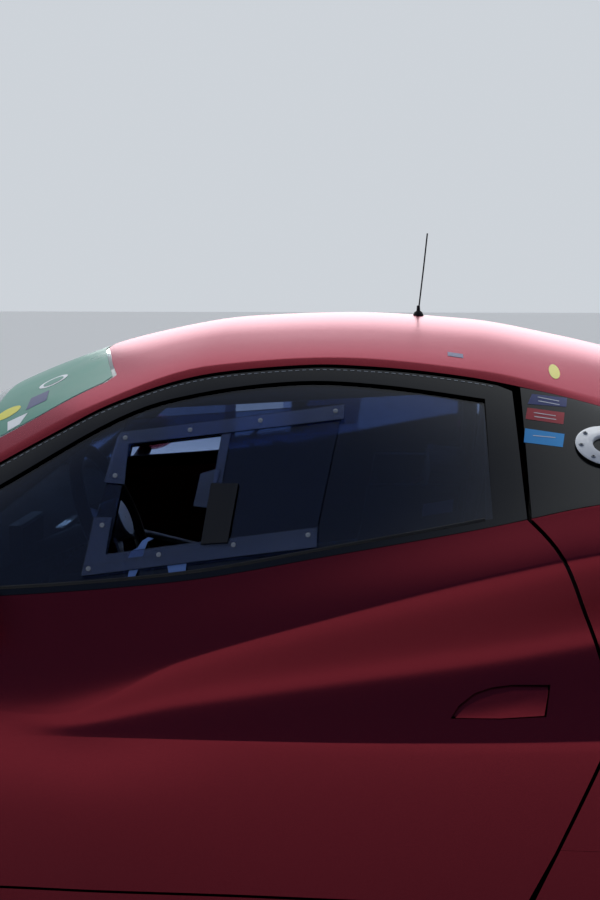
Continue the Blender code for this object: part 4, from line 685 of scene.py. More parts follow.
@dataclass
class Outlines:
    """Outlines that follow the belt line of the skin."""

    skin: Skin

    def belt(self, lo: float, hi: float, rise: float = 0.0, step: float = 0.03) -> Outline:
        """Side view points along the belt from lo to hi."""
        count = max(2, math.ceil(abs(hi - lo) / step) + 1)
        xs = np.linspace(lo, hi, count)
        return [(float(x), float(z) + rise) for x, z in zip(xs, self.skin.line("z_sho", xs))]

    def belt_z(self, x: float) -> float:
        """Height of the belt at x."""
        return float(self.skin.line("z_sho", np.array([x]))[0])

    def door(self) -> Outline:
        """Door below the belt."""
        rear = smooth(DOOR_REAR[:6], 6) + DOOR_REAR[6:]
        front = [
            (DOOR_FRONT_X, DOOR_BOTTOM_Z), (DOOR_FRONT_X, 0.60),
            (DOOR_FRONT_X + 0.02, self.belt_z(DOOR_FRONT_X)),
        ]
        return front + self.belt(DOOR_FRONT_X + 0.06, DOOR_REAR_X - 0.04) + rear

    def opening(self) -> Outline:
        """Hole in the roof side for the door window and the quarter panel."""
        foot = DOOR_FRONT_X - DOOR_GAP
        low = self.belt_z(foot)
        return smooth(WINDOW_TOP) + self.belt(1.12, -0.60, -0.004) + [(foot, low - 0.004),
            (foot, low + 0.010)]

    def frame(self) -> Outline:
        """Outer edge of the black window frame."""
        top = smooth(WINDOW_TOP)
        edge = [(x, z - PANEL_GAP) for x, z in top if -0.53 < x < DOOR_REAR_X - 0.02]
        rear = np.interp(DOOR_REAR_X, [p[0] for p in top], [p[1] for p in top]) - PANEL_GAP - 0.002
        return edge + [(DOOR_REAR_X - 0.012, float(rear))] + self.belt(DOOR_REAR_X, -0.575, 2 * TOUCH)

    def glass(self) -> Outline:
        """Hole in the window frame."""
        return smooth(GLASS_TOP) + self.belt(0.668, -0.50, 0.012)

    def quarter(self) -> Outline:
        """Black panel behind the door window."""
        curve = smooth(WINDOW_TOP)
        start = DOOR_REAR_X + 0.008
        top = [(x, z - TRIM_GAP) for x, z in curve if DOOR_REAR_X + 0.03 < x < 1.15]
        rear = float(np.interp(start, [p[0] for p in curve], [p[1] for p in curve])) - TRIM_GAP
        low = self.belt(1.12, start + 0.03, TRIM_GAP)
        return [(start, self.belt_z(start) + TRIM_GAP), (start - 0.004, rear)] + top + low

    def sill(self) -> Outline:
        """Side skirt below and behind the door."""
        front = FRONT_AXLE[0] + FRONT_AXLE[2] + ARCH_CLEARANCE - 0.03
        rear = REAR_AXLE[0] - REAR_AXLE[2] - ARCH_CLEARANCE + 0.05
        return [
            (front, 0.05), (front, SILL_TOP_Z), (DOOR_REAR[7][0] + PANEL_GAP + 0.004, SILL_TOP_Z),
            (DOOR_REAR[6][0] + PANEL_GAP + 0.003, SILL_TOP_REAR_Z), (rear, SILL_TOP_REAR_Z), (rear, 0.05),
        ]

    def roof(self, gap: float) -> Outline:
        """Area that the roof panel and pillars fill, grown by a gap."""
        low = self.belt(-0.70, ROOF_REAR_X + gap, -gap)
        return low + [(ROOF_REAR_X + gap, 1.30), (-0.86, 1.30), (-0.86, 0.86 - gap), (-0.735, 0.752 - gap)]

    def arch(self, axle: tuple[float, float, float]) -> Outline:
        """Wheel arch."""
        return circle(axle[0], axle[2], axle[2] + ARCH_CLEARANCE)


# Finishes

def linear(code: str) -> tuple[float, float, float, float]:
    """A colour written as sRGB hex, as linear values."""
    parts = [int(code[i:i + 2], 16) / 255 for i in (1, 3, 5)]
    r, g, b = [c / 12.92 if c <= 0.04045 else ((c + 0.055) / 1.055) ** 2.4 for c in parts]
    return r, g, b, 1.0


def add_node(tree: bpy.types.NodeTree, kind: str, inputs: dict | None = None, **settings) -> bpy.types.Node:
    """Adds a node.

    Args:
        tree: The tree that gets the node.
        kind: Blender's name of the node's type.
        inputs: Values or output sockets for its inputs, by name or number.
        settings: Values of its other properties.

    Returns:
        The node.
    """
    made = tree.nodes.new(kind)
    for key, value in settings.items():
        setattr(made, key, value)
    for key, value in (inputs or {}).items():
        if isinstance(value, bpy.types.NodeSocket):
            tree.links.new(value, made.inputs[key])
        else:
            made.inputs[key].default_value = value
    return made


@dataclass(frozen=True)
class Finish:
    """A finish of one colour with a fine surface texture."""

    name: str
    colour: str
    roughness: float = 0.5
    metallic: float = 0.0
    grain_mm: float = 2.0
    bump_mm: float = 0.0
    extras: tuple[tuple[str, float], ...] = ()
    variation: float = 0.07

    def material(self) -> bpy.types.Material:
        """The material, made once."""
        found = bpy.data.materials.get(self.name)
        if found:
            return found
        made = bpy.data.materials.new(self.name)
        made.use_nodes = True
        tree = made.node_tree
        shader = tree.nodes["Principled BSDF"]
        shader.inputs["Base Color"].default_value = linear(self.colour)
        shader.inputs["Roughness"].default_value = self.roughness
        shader.inputs["Metallic"].default_value = self.metallic
        for key, value in self.extras:
            shader.inputs[key].default_value = value
        self.dress(tree, shader)
        made.diffuse_color = linear(self.colour)
        return made

    def dress(self, tree: bpy.types.NodeTree, shader: bpy.types.Node) -> None:
        """Adds the grain, and a slight unevenness of the roughness."""
        place = add_node(tree, "ShaderNodeTexCoord").outputs["Object"]
        scale = 1000.0 / self.grain_mm
        noise = add_node(tree, "ShaderNodeTexNoise", {"Vector": place, "Scale": scale, "Detail": 3.0})
        wide = add_node(tree, "ShaderNodeTexNoise", {"Vector": place, "Scale": 9.0, "Detail": 2.0})
        spread = add_node(tree, "ShaderNodeMapRange", {
            "Value": wide.outputs["Fac"], "From Min": 0.3, "From Max": 0.7,
            "To Min": self.roughness * 0.88, "To Max": min(1.0, self.roughness * 1.12),
        })
        tree.links.new(spread.outputs["Result"], shader.inputs["Roughness"])
        cloud = add_node(tree, "ShaderNodeMath", {0: wide.outputs["Fac"], 1: noise.outputs["Fac"]},
            operation="MULTIPLY")
        shades = add_node(tree, "ShaderNodeValToRGB", {"Fac": cloud.outputs["Value"]})
        base = linear(self.colour)
        shares = (1.0 - self.variation, 1.0 + self.variation)
        for stop, place_at, share in zip(shades.color_ramp.elements, (0.12, 0.42), shares):
            stop.position = place_at
            stop.color = (base[0] * share, base[1] * share, base[2] * share, 1.0)
        tree.links.new(shades.outputs["Color"], shader.inputs["Base Color"])
        if self.bump_mm:
            bump = add_node(tree, "ShaderNodeBump", {
                "Height": noise.outputs["Fac"], "Strength": 1.0, "Distance": self.bump_mm / 1000,
            })
            tree.links.new(bump.outputs["Normal"], shader.inputs["Normal"])


@dataclass(frozen=True)
class Wrap(Finish):
    """Cast vinyl film: fine metal flake under a satin face, soft highlights that pale at grazing angles."""

    def dress(self, tree: bpy.types.NodeTree, shader: bpy.types.Node) -> None:
        """Adds the flake and the film's slight waviness."""
        place = add_node(tree, "ShaderNodeTexCoord").outputs["Object"]
        # The real flake is 0.05 mm; it is drawn at 0.6 mm so that it shows at all
        flake = add_node(tree, "ShaderNodeTexVoronoi", {"Vector": place, "Scale": 1600.0})
        tint = add_node(tree, "ShaderNodeMix", {
            "A": linear(self.colour), "B": linear("#b5424a"),
        }, data_type="RGBA")
        level = add_node(tree, "ShaderNodeMapRange", {
            "Value": flake.outputs["Distance"], "From Min": 0.1, "From Max": 0.8, "To Min": 0.0,
            "To Max": 0.35,
        })
        tree.links.new(level.outputs["Result"], tint.inputs["Factor"])
        tree.links.new(tint.outputs["Result"], shader.inputs["Base Color"])
        waves = add_node(tree, "ShaderNodeTexNoise", {"Vector": place, "Scale": 140.0, "Detail": 2.0})
        bump = add_node(tree, "ShaderNodeBump", {"Height": waves.outputs["Fac"], "Strength": 0.35,
            "Distance": 0.00012})
        tree.links.new(bump.outputs["Normal"], shader.inputs["Normal"])


@dataclass(frozen=True)
class Weave(Finish):
    """Twill carbon cloth under clear resin: dark, with a fine diagonal weave and a glossy coat."""

    tow_mm: float = 4.0

    def dress(self, tree: bpy.types.NodeTree, shader: bpy.types.Node) -> None:
        """Adds the diagonal twill."""
        place = add_node(tree, "ShaderNodeTexCoord").outputs["Object"]
        turn = add_node(tree, "ShaderNodeMapping", {"Vector": place, "Rotation": (0.6, 0.78, 0.78)})
        check = add_node(tree, "ShaderNodeTexChecker", {
            "Vector": turn.outputs["Vector"], "Scale": 1000.0 / self.tow_mm,
            "Color1": linear(self.colour), "Color2": linear("#2a2b2f"),
        })
        tree.links.new(check.outputs["Color"], shader.inputs["Base Color"])


@dataclass(frozen=True)
class Clear(Finish):
    """Clear polycarbonate or glass: see-through, with a mirror-like face."""

    transmission: float = 1.0

    def dress(self, tree: bpy.types.NodeTree, shader: bpy.types.Node) -> None:
        """Lets light through, under a thin uneven haze of dust and wiping."""
        shader.inputs["Transmission Weight"].default_value = self.transmission
        place = add_node(tree, "ShaderNodeTexCoord").outputs["Object"]
        haze = add_node(tree, "ShaderNodeTexNoise", {"Vector": place, "Scale": 7.0, "Detail": 4.0})
        spread = add_node(tree, "ShaderNodeMapRange", {
            "Value": haze.outputs["Fac"], "From Min": 0.35, "From Max": 0.7,
            "To Min": self.roughness * 0.7, "To Max": self.roughness * 1.8,
        })
        tree.links.new(spread.outputs["Result"], shader.inputs["Roughness"])
        base = linear(self.colour)
        dusty = tuple(0.95 * part for part in base[:3]) + (1.0,)
        tone = add_node(tree, "ShaderNodeMix", {"Factor": haze.outputs["Fac"], "A": base, "B": dusty},
            data_type="RGBA")
        tree.links.new(tone.outputs["Result"], shader.inputs["Base Color"])


SATIN_RED = Wrap("satin_red_vinyl_wrap", "#651121", 0.27, 0.85, extras=(
    ("Coat Weight", 0.04), ("Coat Roughness", 0.35), ("Specular Tint", (1.0, 0.66, 0.74, 1.0)),
))
CARBON = Weave("carbon_twill_clear_coat", "#0d0e10", 0.30, 0.0,
    extras=(("Coat Weight", 1.0), ("Coat Roughness", 0.06)))
GLOSS_BLACK = Finish("gloss_black_polycarbonate", "#050608", 0.16, 0.0)
MATT_BLACK = Finish("moulded_black_plastic", "#101113", 0.55, 0.0, 0.9, 0.06)
SEAL = Finish("rubber_seal", "#0b0b0c", 0.7, 0.0, 1.5, 0.05)
# Side windows: clear polycarbonate whose deep blue tint is painted reflection of a blue sky and painted shade
# of the cabin behind it.
CLEAR_SHEET_PAINTED_SKY = Clear("polycarbonate_with_painted_sky_tint", "#6b7fa6", 0.03, 0.0, extras=(("IOR", 1.58),))
CLEAR_STRIP = Clear("clear_polycarbonate_strip", "#bccdf0", 0.10, 0.0, extras=(("IOR", 1.58),),
    transmission=0.94)
SCREEN_GLASS = Clear("laminated_glass", "#b9cbcf", 0.02, 0.0, extras=(("IOR", 1.52),))
SUN_STRIP = Finish("green_sun_strip_film", "#23806b", 0.30, 0.0, 1.2, 0.02)
WHITE_FILM = Finish("white_sticker_film", "#dfe3e6", 0.35, 0.0, 1.2, 0.02)
YELLOW_FILM = Finish("yellow_sticker_film", "#d8d23a", 0.35, 0.0, 1.2, 0.02)
NAVY_FILM = Finish("navy_sticker_film", "#1b2a6b", 0.35, 0.0, 1.2, 0.02)
RED_FILM = Finish("red_sticker_film", "#a3162a", 0.35, 0.0, 1.2, 0.02)
TAB_FILM = Finish("pale_blue_pull_tape", "#6c8dc6", 0.35, 0.0, 1.2, 0.02)
SKY_FILM = Finish("light_blue_sticker_film", "#2f9be0", 0.35, 0.0, 1.2, 0.02)
EDGE_LIGHT = Finish("grey_fastener_steel", "#8d9298", 0.35, 0.7, 0.8, 0.03)
WHITE_PAINT = Finish("white_painted_alloy", "#d9dcde", 0.32, 0.0, 1.0, 0.03, extras=(("Coat Weight", 0.4),))
RUBBER = Finish("racing_tyre_rubber", "#161617", 0.82, 0.0, 1.6, 0.18)
DARK_ALLOY = Finish("dark_painted_forged_alloy", "#2b2d31", 0.34, 0.55, 1.0, 0.03)
STEEL = Finish("zinc_plated_steel", "#8b8e92", 0.38, 0.85, 1.2, 0.04)
IRON = Finish("ground_cast_iron", "#5c5d5f", 0.42, 0.8, 0.7, 0.06)
CALIPER = Finish("caliper_enamel", "#a8161c", 0.35, 0.0, 1.2, 0.04)
CAGE_PAINT = Finish("dark_cage_paint", "#17181b", 0.42, 0.0, 1.4, 0.05)
DASH_CLOTH = Finish("flocked_dash_top", "#0e0f11", 0.92, 0.0, 0.6, 0.12)
SUEDE = Finish("black_suede", "#121213", 0.95, 0.0, 0.7, 0.14, extras=(("Sheen Weight", 0.25),))
SEAT_CLOTH = Finish("knitted_seat_cloth", "#15171b", 0.9, 0.0, 1.3, 0.35, extras=(("Sheen Weight", 0.3),))
WEBBING = Finish("harness_webbing", "#86131c", 0.8, 0.0, 1.0, 0.20)
MIRROR_GLASS = Finish("mirror_glass", "#c9ced4", 0.04, 1.0, 40.0, 0.0)
LAMP_LENS = Clear("clear_lamp_lens", "#eef3f8", 0.03, 0.0, extras=(("IOR", 1.5),))
LAMP_RED = Finish("red_lamp_lens", "#6c060b", 0.20, 0.0, 3.0, 0.05)
BRIGHT = Finish("reflector_chrome", "#d6d9dc", 0.10, 1.0, 20.0, 0.0)
BURNT_STEEL = Finish("heat_tinted_exhaust_steel", "#6d6560", 0.30, 0.9, 1.5, 0.05)
TUB_PAINT = Finish("grey_chassis_coating", "#1b1c1e", 0.7, 0.0, 1.2, 0.10)
DARK_BACKING = Finish("radiator_core", "#0c0c0d", 0.7, 0.1, 1.5, 0.10)
CAST_ALLOY = Finish("sand_cast_alloy", "#6f7276", 0.55, 0.7, 1.6, 0.20)


def solid(name: str, points: list, faces: list, finish: Finish, angle: float = 35.0) -> bpy.types.Object:
    """A piece from its points and faces.

    Args:
        name: Name of the object.
        points: Its corners.
        faces: Lists of corner numbers.
        finish: What it is made of.
        angle: Edges sharper than this many degrees stay sharp.

    Returns:
        The object, with its faces turned out.
    """
    mesh = bpy.data.meshes.new(name)
    mesh.from_pydata([tuple(p) for p in points], [], faces)
    mesh.materials.append(finish.material())
    return finish_surface(linked(name, mesh), angle)


def frame_of(direction: Vector) -> tuple[Vector, Vector]:
    """Two unit directions square to a direction and to each other."""
    direction = direction.normalized()
    hint = Vector((0, 0, 1)) if abs(direction.z) < 0.9 else Vector((1, 0, 0))
    first = hint.cross(direction).normalized()
    return first, direction.cross(first)


def turned(
    name: str, profile: Outline, centre: Vector, finish: Finish, axis: Vector = Vector((0, 1, 0)),
    count: int = 96,
    angle: float = 35.0,
) -> bpy.types.Object:
    """A body of revolution from its closed profile of (radius, distance along the axis)."""
    first, second = frame_of(axis)
    unit = axis.normalized()
    rows = len(profile)
    points, faces = [], []
    for k in range(count):
        a = 2 * math.pi * k / count
        out = first * math.cos(a) + second * math.sin(a)
        points += [Vector(centre) + out * r + unit * d for r, d in profile]
        n = (k + 1) % count
        faces += [(k * rows + i, k * rows + (i + 1) % rows, n * rows + (i + 1) % rows,
            n * rows + i) for i in range(rows)]
    return solid(name, points, faces, finish, angle)


def lofted(name: str, rings: list, finish: Finish, angle: float = 40.0) -> bpy.types.Object:
    """A closed body through rings of as many points each, with flat ends."""
    n = len(rings[0])
    points = [Vector(p) for ring in rings for p in ring]
    faces = [tuple(range(n))[::-1], tuple(range(len(points) - n, len(points)))]
    for k in range(len(rings) - 1):
        a, b = k * n, (k + 1) * n
        faces += [(a + i, a + (i + 1) % n, b + (i + 1) % n, b + i) for i in range(n)]
    return solid(name, points, faces, finish, angle)


def tube(name: str, path: list, radius: float, finish: Finish, sides: int = 14) -> bpy.types.Object:
    """A round bar along a path, with flat ends."""
    spots = [Vector(p) for p in path]
    rings = []
    first = None
    for i, spot in enumerate(spots):
        before, after = spots[max(i - 1, 0)], spots[min(i + 1, len(spots) - 1)]
        aim = (after - before).normalized()
        first = frame_of(aim)[0] if first is None else (first - aim * first.dot(aim)).normalized()
        second = aim.cross(first)
        turns = [2 * math.pi * k / sides for k in range(sides)]
        rings.append([spot + (first * math.cos(a) + second * math.sin(a)) * radius for a in turns])
    return lofted(name, rings, finish, 50.0)


def slab(
    name: str, outline: Outline, axis: str, lo: float, hi: float, finish: Finish, edge: float = 0.0
) -> bpy.types.Object:
    """An outline drawn out along an axis, with a small rounding along its edges."""
    def spot(u: float, v: float, w: float) -> tuple[float, float, float]:
        return {"X": (w, u, v), "Y": (u, w, v), "Z": (u, v, w)}[axis]
    n = len(outline)
    points = [spot(u, v, lo) for u, v in outline] + [spot(u, v, hi) for u, v in outline]
    faces = [tuple(range(n)), tuple(range(n, 2 * n))[::-1]]
    faces += [(i, (i + 1) % n, n + (i + 1) % n, n + i) for i in range(n)]
    made = solid(name, points, faces, finish)
    return rounded(made, edge) if edge else made


def block(name: str, lo: tuple, hi: tuple, finish: Finish, edge: float = 0.004) -> bpy.types.Object:
    """A box with rounded edges."""
    outline = [(lo[0], lo[1]), (hi[0], lo[1]), (hi[0], hi[1]), (lo[0], hi[1])]
    return slab(name, outline, "Z", lo[2], hi[2], finish, edge)


def rounded(piece: bpy.types.Object, edge: float) -> bpy.types.Object:
    """Rounds the sharp edges of a piece."""
    bm = bmesh.new()
    bm.from_mesh(piece.data)
    sharp = [e for e in bm.edges if len(e.link_faces) == 2 and e.calc_face_angle(0.0) > math.radians(25)]
    bmesh.ops.bevel(bm, geom=sharp, offset=edge, segments=2, profile=0.7, affect="EDGES", clamp_overlap=True)
    bm.to_mesh(piece.data)
    bm.free()
    return finish_surface(piece, 40.0)


def moved(piece: bpy.types.Object, matrix: Matrix) -> bpy.types.Object:
    """Turns and shifts the mesh of a piece; its object stays at the origin."""
    piece.data.transform(matrix)
    return piece


def copied(piece: bpy.types.Object, matrix: Matrix, name: str) -> bpy.types.Object:
    """A turned or mirrored copy of a piece."""
    made = linked(name, piece.data.copy())
    made.data.transform(matrix)
    if matrix.determinant() < 0:
        made.data.flip_normals()
    return made


def joined(name: str, pieces: list) -> bpy.types.Object:
    """One object from several pieces, with their materials."""
    mesh = bpy.data.meshes.new(name)
    bm = bmesh.new()
    for piece in pieces:
        slots = {}
        for i, material in enumerate(piece.data.materials):
            if material.name not in mesh.materials:
                mesh.materials.append(material)
            slots[i] = mesh.materials.find(material.name)
        before = len(bm.faces)
        bm.from_mesh(piece.data)
        bm.faces.ensure_lookup_table()
        for face in bm.faces[before:]:
            face.material_index = slots.get(face.material_index, 0)
        bpy.data.objects.remove(piece, do_unlink=True)
    bm.to_mesh(mesh)
    bm.free()
    return linked(name, mesh)


class Form(Enum):
    """What small part a row of repeats is made of."""

    DOME = "GeometryNodeMeshUVSphere"
    CUBE = "GeometryNodeMeshCube"
    HEXAGON = "GeometryNodeMeshCylinder"


@dataclass
class Repeats:
    """A small part set on many places by a Geometry Nodes tree."""

    name: str
    form: Form
    size: tuple[float, float, float]
    finish: Finish

    def part(self, tree: bpy.types.NodeTree) -> bpy.types.NodeSocket:
        """The small part, one unit across."""
        if self.form is Form.DOME:
            made = add_node(tree, self.form.value, {"Segments": 12, "Rings": 8, "Radius": 0.5})
        elif self.form is Form.CUBE:
            made = add_node(tree, self.form.value, {"Size": (1.0, 1.0, 1.0)})
        else:
            made = add_node(tree, self.form.value, {"Vertices": 6, "Radius": 0.5, "Depth": 1.0})
        return made.outputs["Mesh"]

    def tree(self) -> bpy.types.NodeTree:
        """The tree: a part on each point, turned by the point's two directions."""
        tree = bpy.data.node_groups.new(self.name, "GeometryNodeTree")
        for title, kind in (("Geometry", "NodeSocketGeometry"), ("Size", "NodeSocketVector")):
            tree.interface.new_socket(title, in_out="INPUT", socket_type=kind)
        tree.interface.new_socket("Geometry", in_out="OUTPUT", socket_type="NodeSocketGeometry")
        source = add_node(tree, "NodeGroupInput")
        shaped = add_node(tree, "GeometryNodeTransform", {
            "Geometry": self.part(tree), "Scale": source.outputs["Size"],
        })
        aim = add_node(tree, "GeometryNodeInputNamedAttribute", {"Name": "aim"}, data_type="FLOAT_VECTOR")
        run = add_node(tree, "GeometryNodeInputNamedAttribute", {"Name": "run"}, data_type="FLOAT_VECTOR")
        stand = add_node(tree, "FunctionNodeAlignRotationToVector", {"Vector": aim.outputs["Attribute"]},
            axis="Z")
        turn = add_node(tree, "FunctionNodeAlignRotationToVector", {
            "Rotation": stand.outputs["Rotation"], "Vector": run.outputs["Attribute"],
        }, axis="X", pivot_axis="Z")
        spread = add_node(tree, "GeometryNodeInstanceOnPoints", {
            "Points": source.outputs["Geometry"], "Instance": shaped.outputs["Geometry"],
            "Rotation": turn.outputs["Rotation"],
        })
        real = add_node(tree, "GeometryNodeRealizeInstances", {"Geometry": spread.outputs["Instances"]})
        dress = add_node(tree, "GeometryNodeSetMaterial", {"Geometry": real.outputs["Geometry"]})
        dress.inputs["Material"].default_value = self.finish.material()
        end = add_node(tree, "NodeGroupOutput")
        tree.links.new(dress.outputs["Geometry"], end.inputs[0])
        return tree

    def on(self, places: list) -> bpy.types.Object:
        """The parts on their places, as a plain mesh.

        Args:
            places: Tuples of the part's middle, its upward direction and its lengthwise direction.

        Returns:
            An object that holds all the parts.
        """
        points = bpy.data.meshes.new(self.name + "_points")
        points.from_pydata([tuple(p[0]) for p in places], [], [])
        for title, column in (("aim", 1), ("run", 2)):
            layer = points.attributes.new(title, "FLOAT_VECTOR", "POINT")
            layer.data.foreach_set("vector", [float(c) for p in places for c in p[column]])
        holder = linked(self.name + "_points", points)
        modifier = holder.modifiers.new("repeats", "NODES")
        modifier.node_group = self.tree()
        for item in modifier.node_group.interface.items_tree:
            if item.in_out == "INPUT" and item.name == "Size":
                modifier[item.identifier] = self.size
        graph = bpy.context.evaluated_depsgraph_get()
        mesh = bpy.data.meshes.new_from_object(holder.evaluated_get(graph), depsgraph=graph)
        mesh.name = self.name
        mesh.materials.clear()
        mesh.materials.append(self.finish.material())
        mesh.polygons.foreach_set("material_index", [0] * len(mesh.polygons))
        bpy.data.objects.remove(holder, do_unlink=True)
        return finish_surface(linked(self.name, mesh), 35.0)


def finish_surface(piece: bpy.types.Object, angle: float = 35.0) -> bpy.types.Object:
    """Merges doubles, turns the faces out and shades the piece smooth up to an angle."""
    bm = bmesh.new()
    bm.from_mesh(piece.data)
    bmesh.ops.remove_doubles(bm, verts=bm.verts, dist=1e-6)
    bmesh.ops.recalc_face_normals(bm, faces=bm.faces)
    for face in bm.faces:
        face.smooth = True
    for edge in bm.edges:
        edge.smooth = len(edge.link_faces) == 2 and edge.calc_face_angle(0.0) < math.radians(angle)
    bm.to_mesh(piece.data)
    bm.free()
    return piece


def place(
    piece: bpy.types.Object, body: str, nodes: tuple[str, ...] = (), slot: str | None = None
) -> bpy.types.Object:
    """Lets a piece ride on a body, in place of some solids, and reports it.

    Args:
        piece: The finished piece.
        body: Name of the body it moves with.
        nodes: Solids that it stands for.
        slot: The record's material slot; not used.

    Returns:
        The piece.
    """
    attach(piece, body)
    if nodes:
        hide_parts(*nodes)
    LOG.info("%s rides on %s, %d faces", piece.name, body, len(piece.data.polygons))
    return piece


def place_twins(
    piece: bpy.types.Object, name: str, bodies: tuple[str, str] = CHASSIS, node: str = "",
    slot: str | None = None,
) -> None:
    """Places a piece of the right side and its mirrored copy.

    Args:
        piece: The finished right piece.
        name: Name of both, with {} where l or r stands.
        bodies: Bodies of the left and the right piece.
        node: Name of the solids that they stand for, with {} likewise.
        slot: The record's material slot.
    """
    left = copied(piece, ACROSS, name.format("l"))
    piece.name = name.format("r")
    for side, made, body in (("l", left, bodies[0]), ("r", piece, bodies[1])):
        place(made, body, (node.format(side),) if node else (), slot)


def place_drafts(
    draft: Draft, name: str, finish: Finish, bodies: tuple[str, str] = CHASSIS, node: str = "",
    slot: str | None = None,
) -> None:
    """Places a draft of the right side and its twin; see place_twins for the names."""
    for side, shape, body in (("l", draft.mirrored(), bodies[0]), ("r", draft, bodies[1])):
        made = shape.object(name.format(side), [finish.material()])
        place(made, body, (node.format(side),) if node else (), slot)


def place_whole(draft: Draft, name: str, finish: Finish, body: str, node: str = "",
    slot: str | None = None) -> None:
    """Places a piece that crosses the centre line, from its right half."""
    made = draft.mirrored().extend(draft).object(name, [finish.material()])
    place(made, body, (node,) if node else (), slot)


@dataclass
class BodyShell:
    """Painted panels of the body, doors included."""

    skin: Skin
    outlines: Outlines
    wall: float = 0.018
    roof_wall: float = 0.024
    cowl_wall: float = 0.014
    door_rake: float = 0.022
    door_middle: tuple[float, float] = (0.10, 0.50)
    door_half: tuple[float, float] = (0.74, 0.30)

    def pair(self, stem: str, draft: Draft, bodies: tuple[str, str] = CHASSIS) -> None:
        """A red panel and its left twin, each in place of its solid."""
        place_drafts(draft, stem + "_{}_panel", SATIN_RED, bodies, stem + "_{}", "satin_red_wrap")

    def whole(self, name: str, draft: Draft, body: str) -> None:
        """A red panel that crosses the centre line."""
        place_whole(draft, name + "_panel", SATIN_RED, body, name, "satin_red_wrap")

    def door(self) -> Draft:
        """The right door below the belt, tapered on its inner side so that it swings clear."""
        trims = [Trim(self.outlines.door(), View.SIDE, True), Trim(HANDLE_RECESS, View.SIDE)]
        front = patch(self.skin, (-0.70, 0.90), (0.0, T_SHO + 0.1), trims, CELL)
        back = front.points.copy()
        back[:, 1] = DOOR_INNER_Y
        reach = (back[:, [0, 2]] - np.array(self.door_middle)) / np.array(self.door_half)
        back[:, [0, 2]] -= reach * self.door_rake
        draft = Draft()
        draft.solid(front, back)
        return draft

    def build(self) -> None:
        """Builds all painted panels."""
        skin, o = self.skin, self.outlines
        door_gap = Trim(grown(o.door(), DOOR_GAP), View.SIDE)
        sill = Trim(grown(o.sill(), TRIM_GAP), View.SIDE)
        roof_gap = Trim(o.roof(TRIM_GAP), View.SIDE)
        cowl_gap, cover_gap = Trim(grown(COWL, TRIM_GAP), View.PLAN), Trim(grown(COVER, PANEL_GAP), View.PLAN)
        self.pair("fender_front", sheet_on(skin, (FRONT_BUMPER_S + TRIM_GAP, -0.60), (0.0, 6.3), [
            roof_gap, Trim(o.arch(FRONT_AXLE), View.SIDE), door_gap, sill,
            Trim(grown(LID, PANEL_GAP), View.PLAN), cowl_gap, Trim(HEADLAMP, View.PLAN),
        ], self.wall))
        self.pair("fender_rear", sheet_on(skin, (0.68, REAR_BUMPER_S - TRIM_GAP), (0.0, 6.0), [
            Trim(o.arch(REAR_AXLE), View.SIDE), door_gap, sill, roof_gap, Trim(INTAKE, View.SIDE), cover_gap,
        ], self.wall))
        self.whole("roof", sheet_on(skin, (-0.76, ROOF_REAR_X + 0.04), (3.9, T_TOP), [
            Trim(o.roof(0.0), View.SIDE, True), Trim(o.opening(), View.SIDE), Trim(WINDSCREEN, View.PLAN),
            cowl_gap, cover_gap,
        ], self.roof_wall), "chassis")
        self.pair("door", self.door(), DOORS)
        lid = [Trim(LID, View.PLAN, True)]
        self.whole("front_lid", sheet_on(
            skin, (LID_FRONT_X - 0.08, LID_REAR_X + 0.03), (4.5, T_TOP), lid, self.wall), "bonnet")
        cover = [Trim(COVER, View.PLAN, True), Trim(grown(REAR_GLASS, TOUCH), View.PLAN)]
        cover += [Trim(slot, View.PLAN) for slot in LOUVRES]
        self.whole("engine_cover", sheet_on(
            skin, (COVER_FRONT_X - 0.03, COVER_REAR_X + 0.03), (4.7, T_TOP), cover, self.wall), "engine_lid")
        cowl = [Trim(grown(COWL, -TOUCH), View.PLAN, True)]
        place_whole(sheet_on(skin, (-0.94, -0.66), (4.3, T_TOP), cowl, self.cowl_wall),
                    "cowl_panel", MATT_BLACK, "chassis", "cowl", "black_plastic")


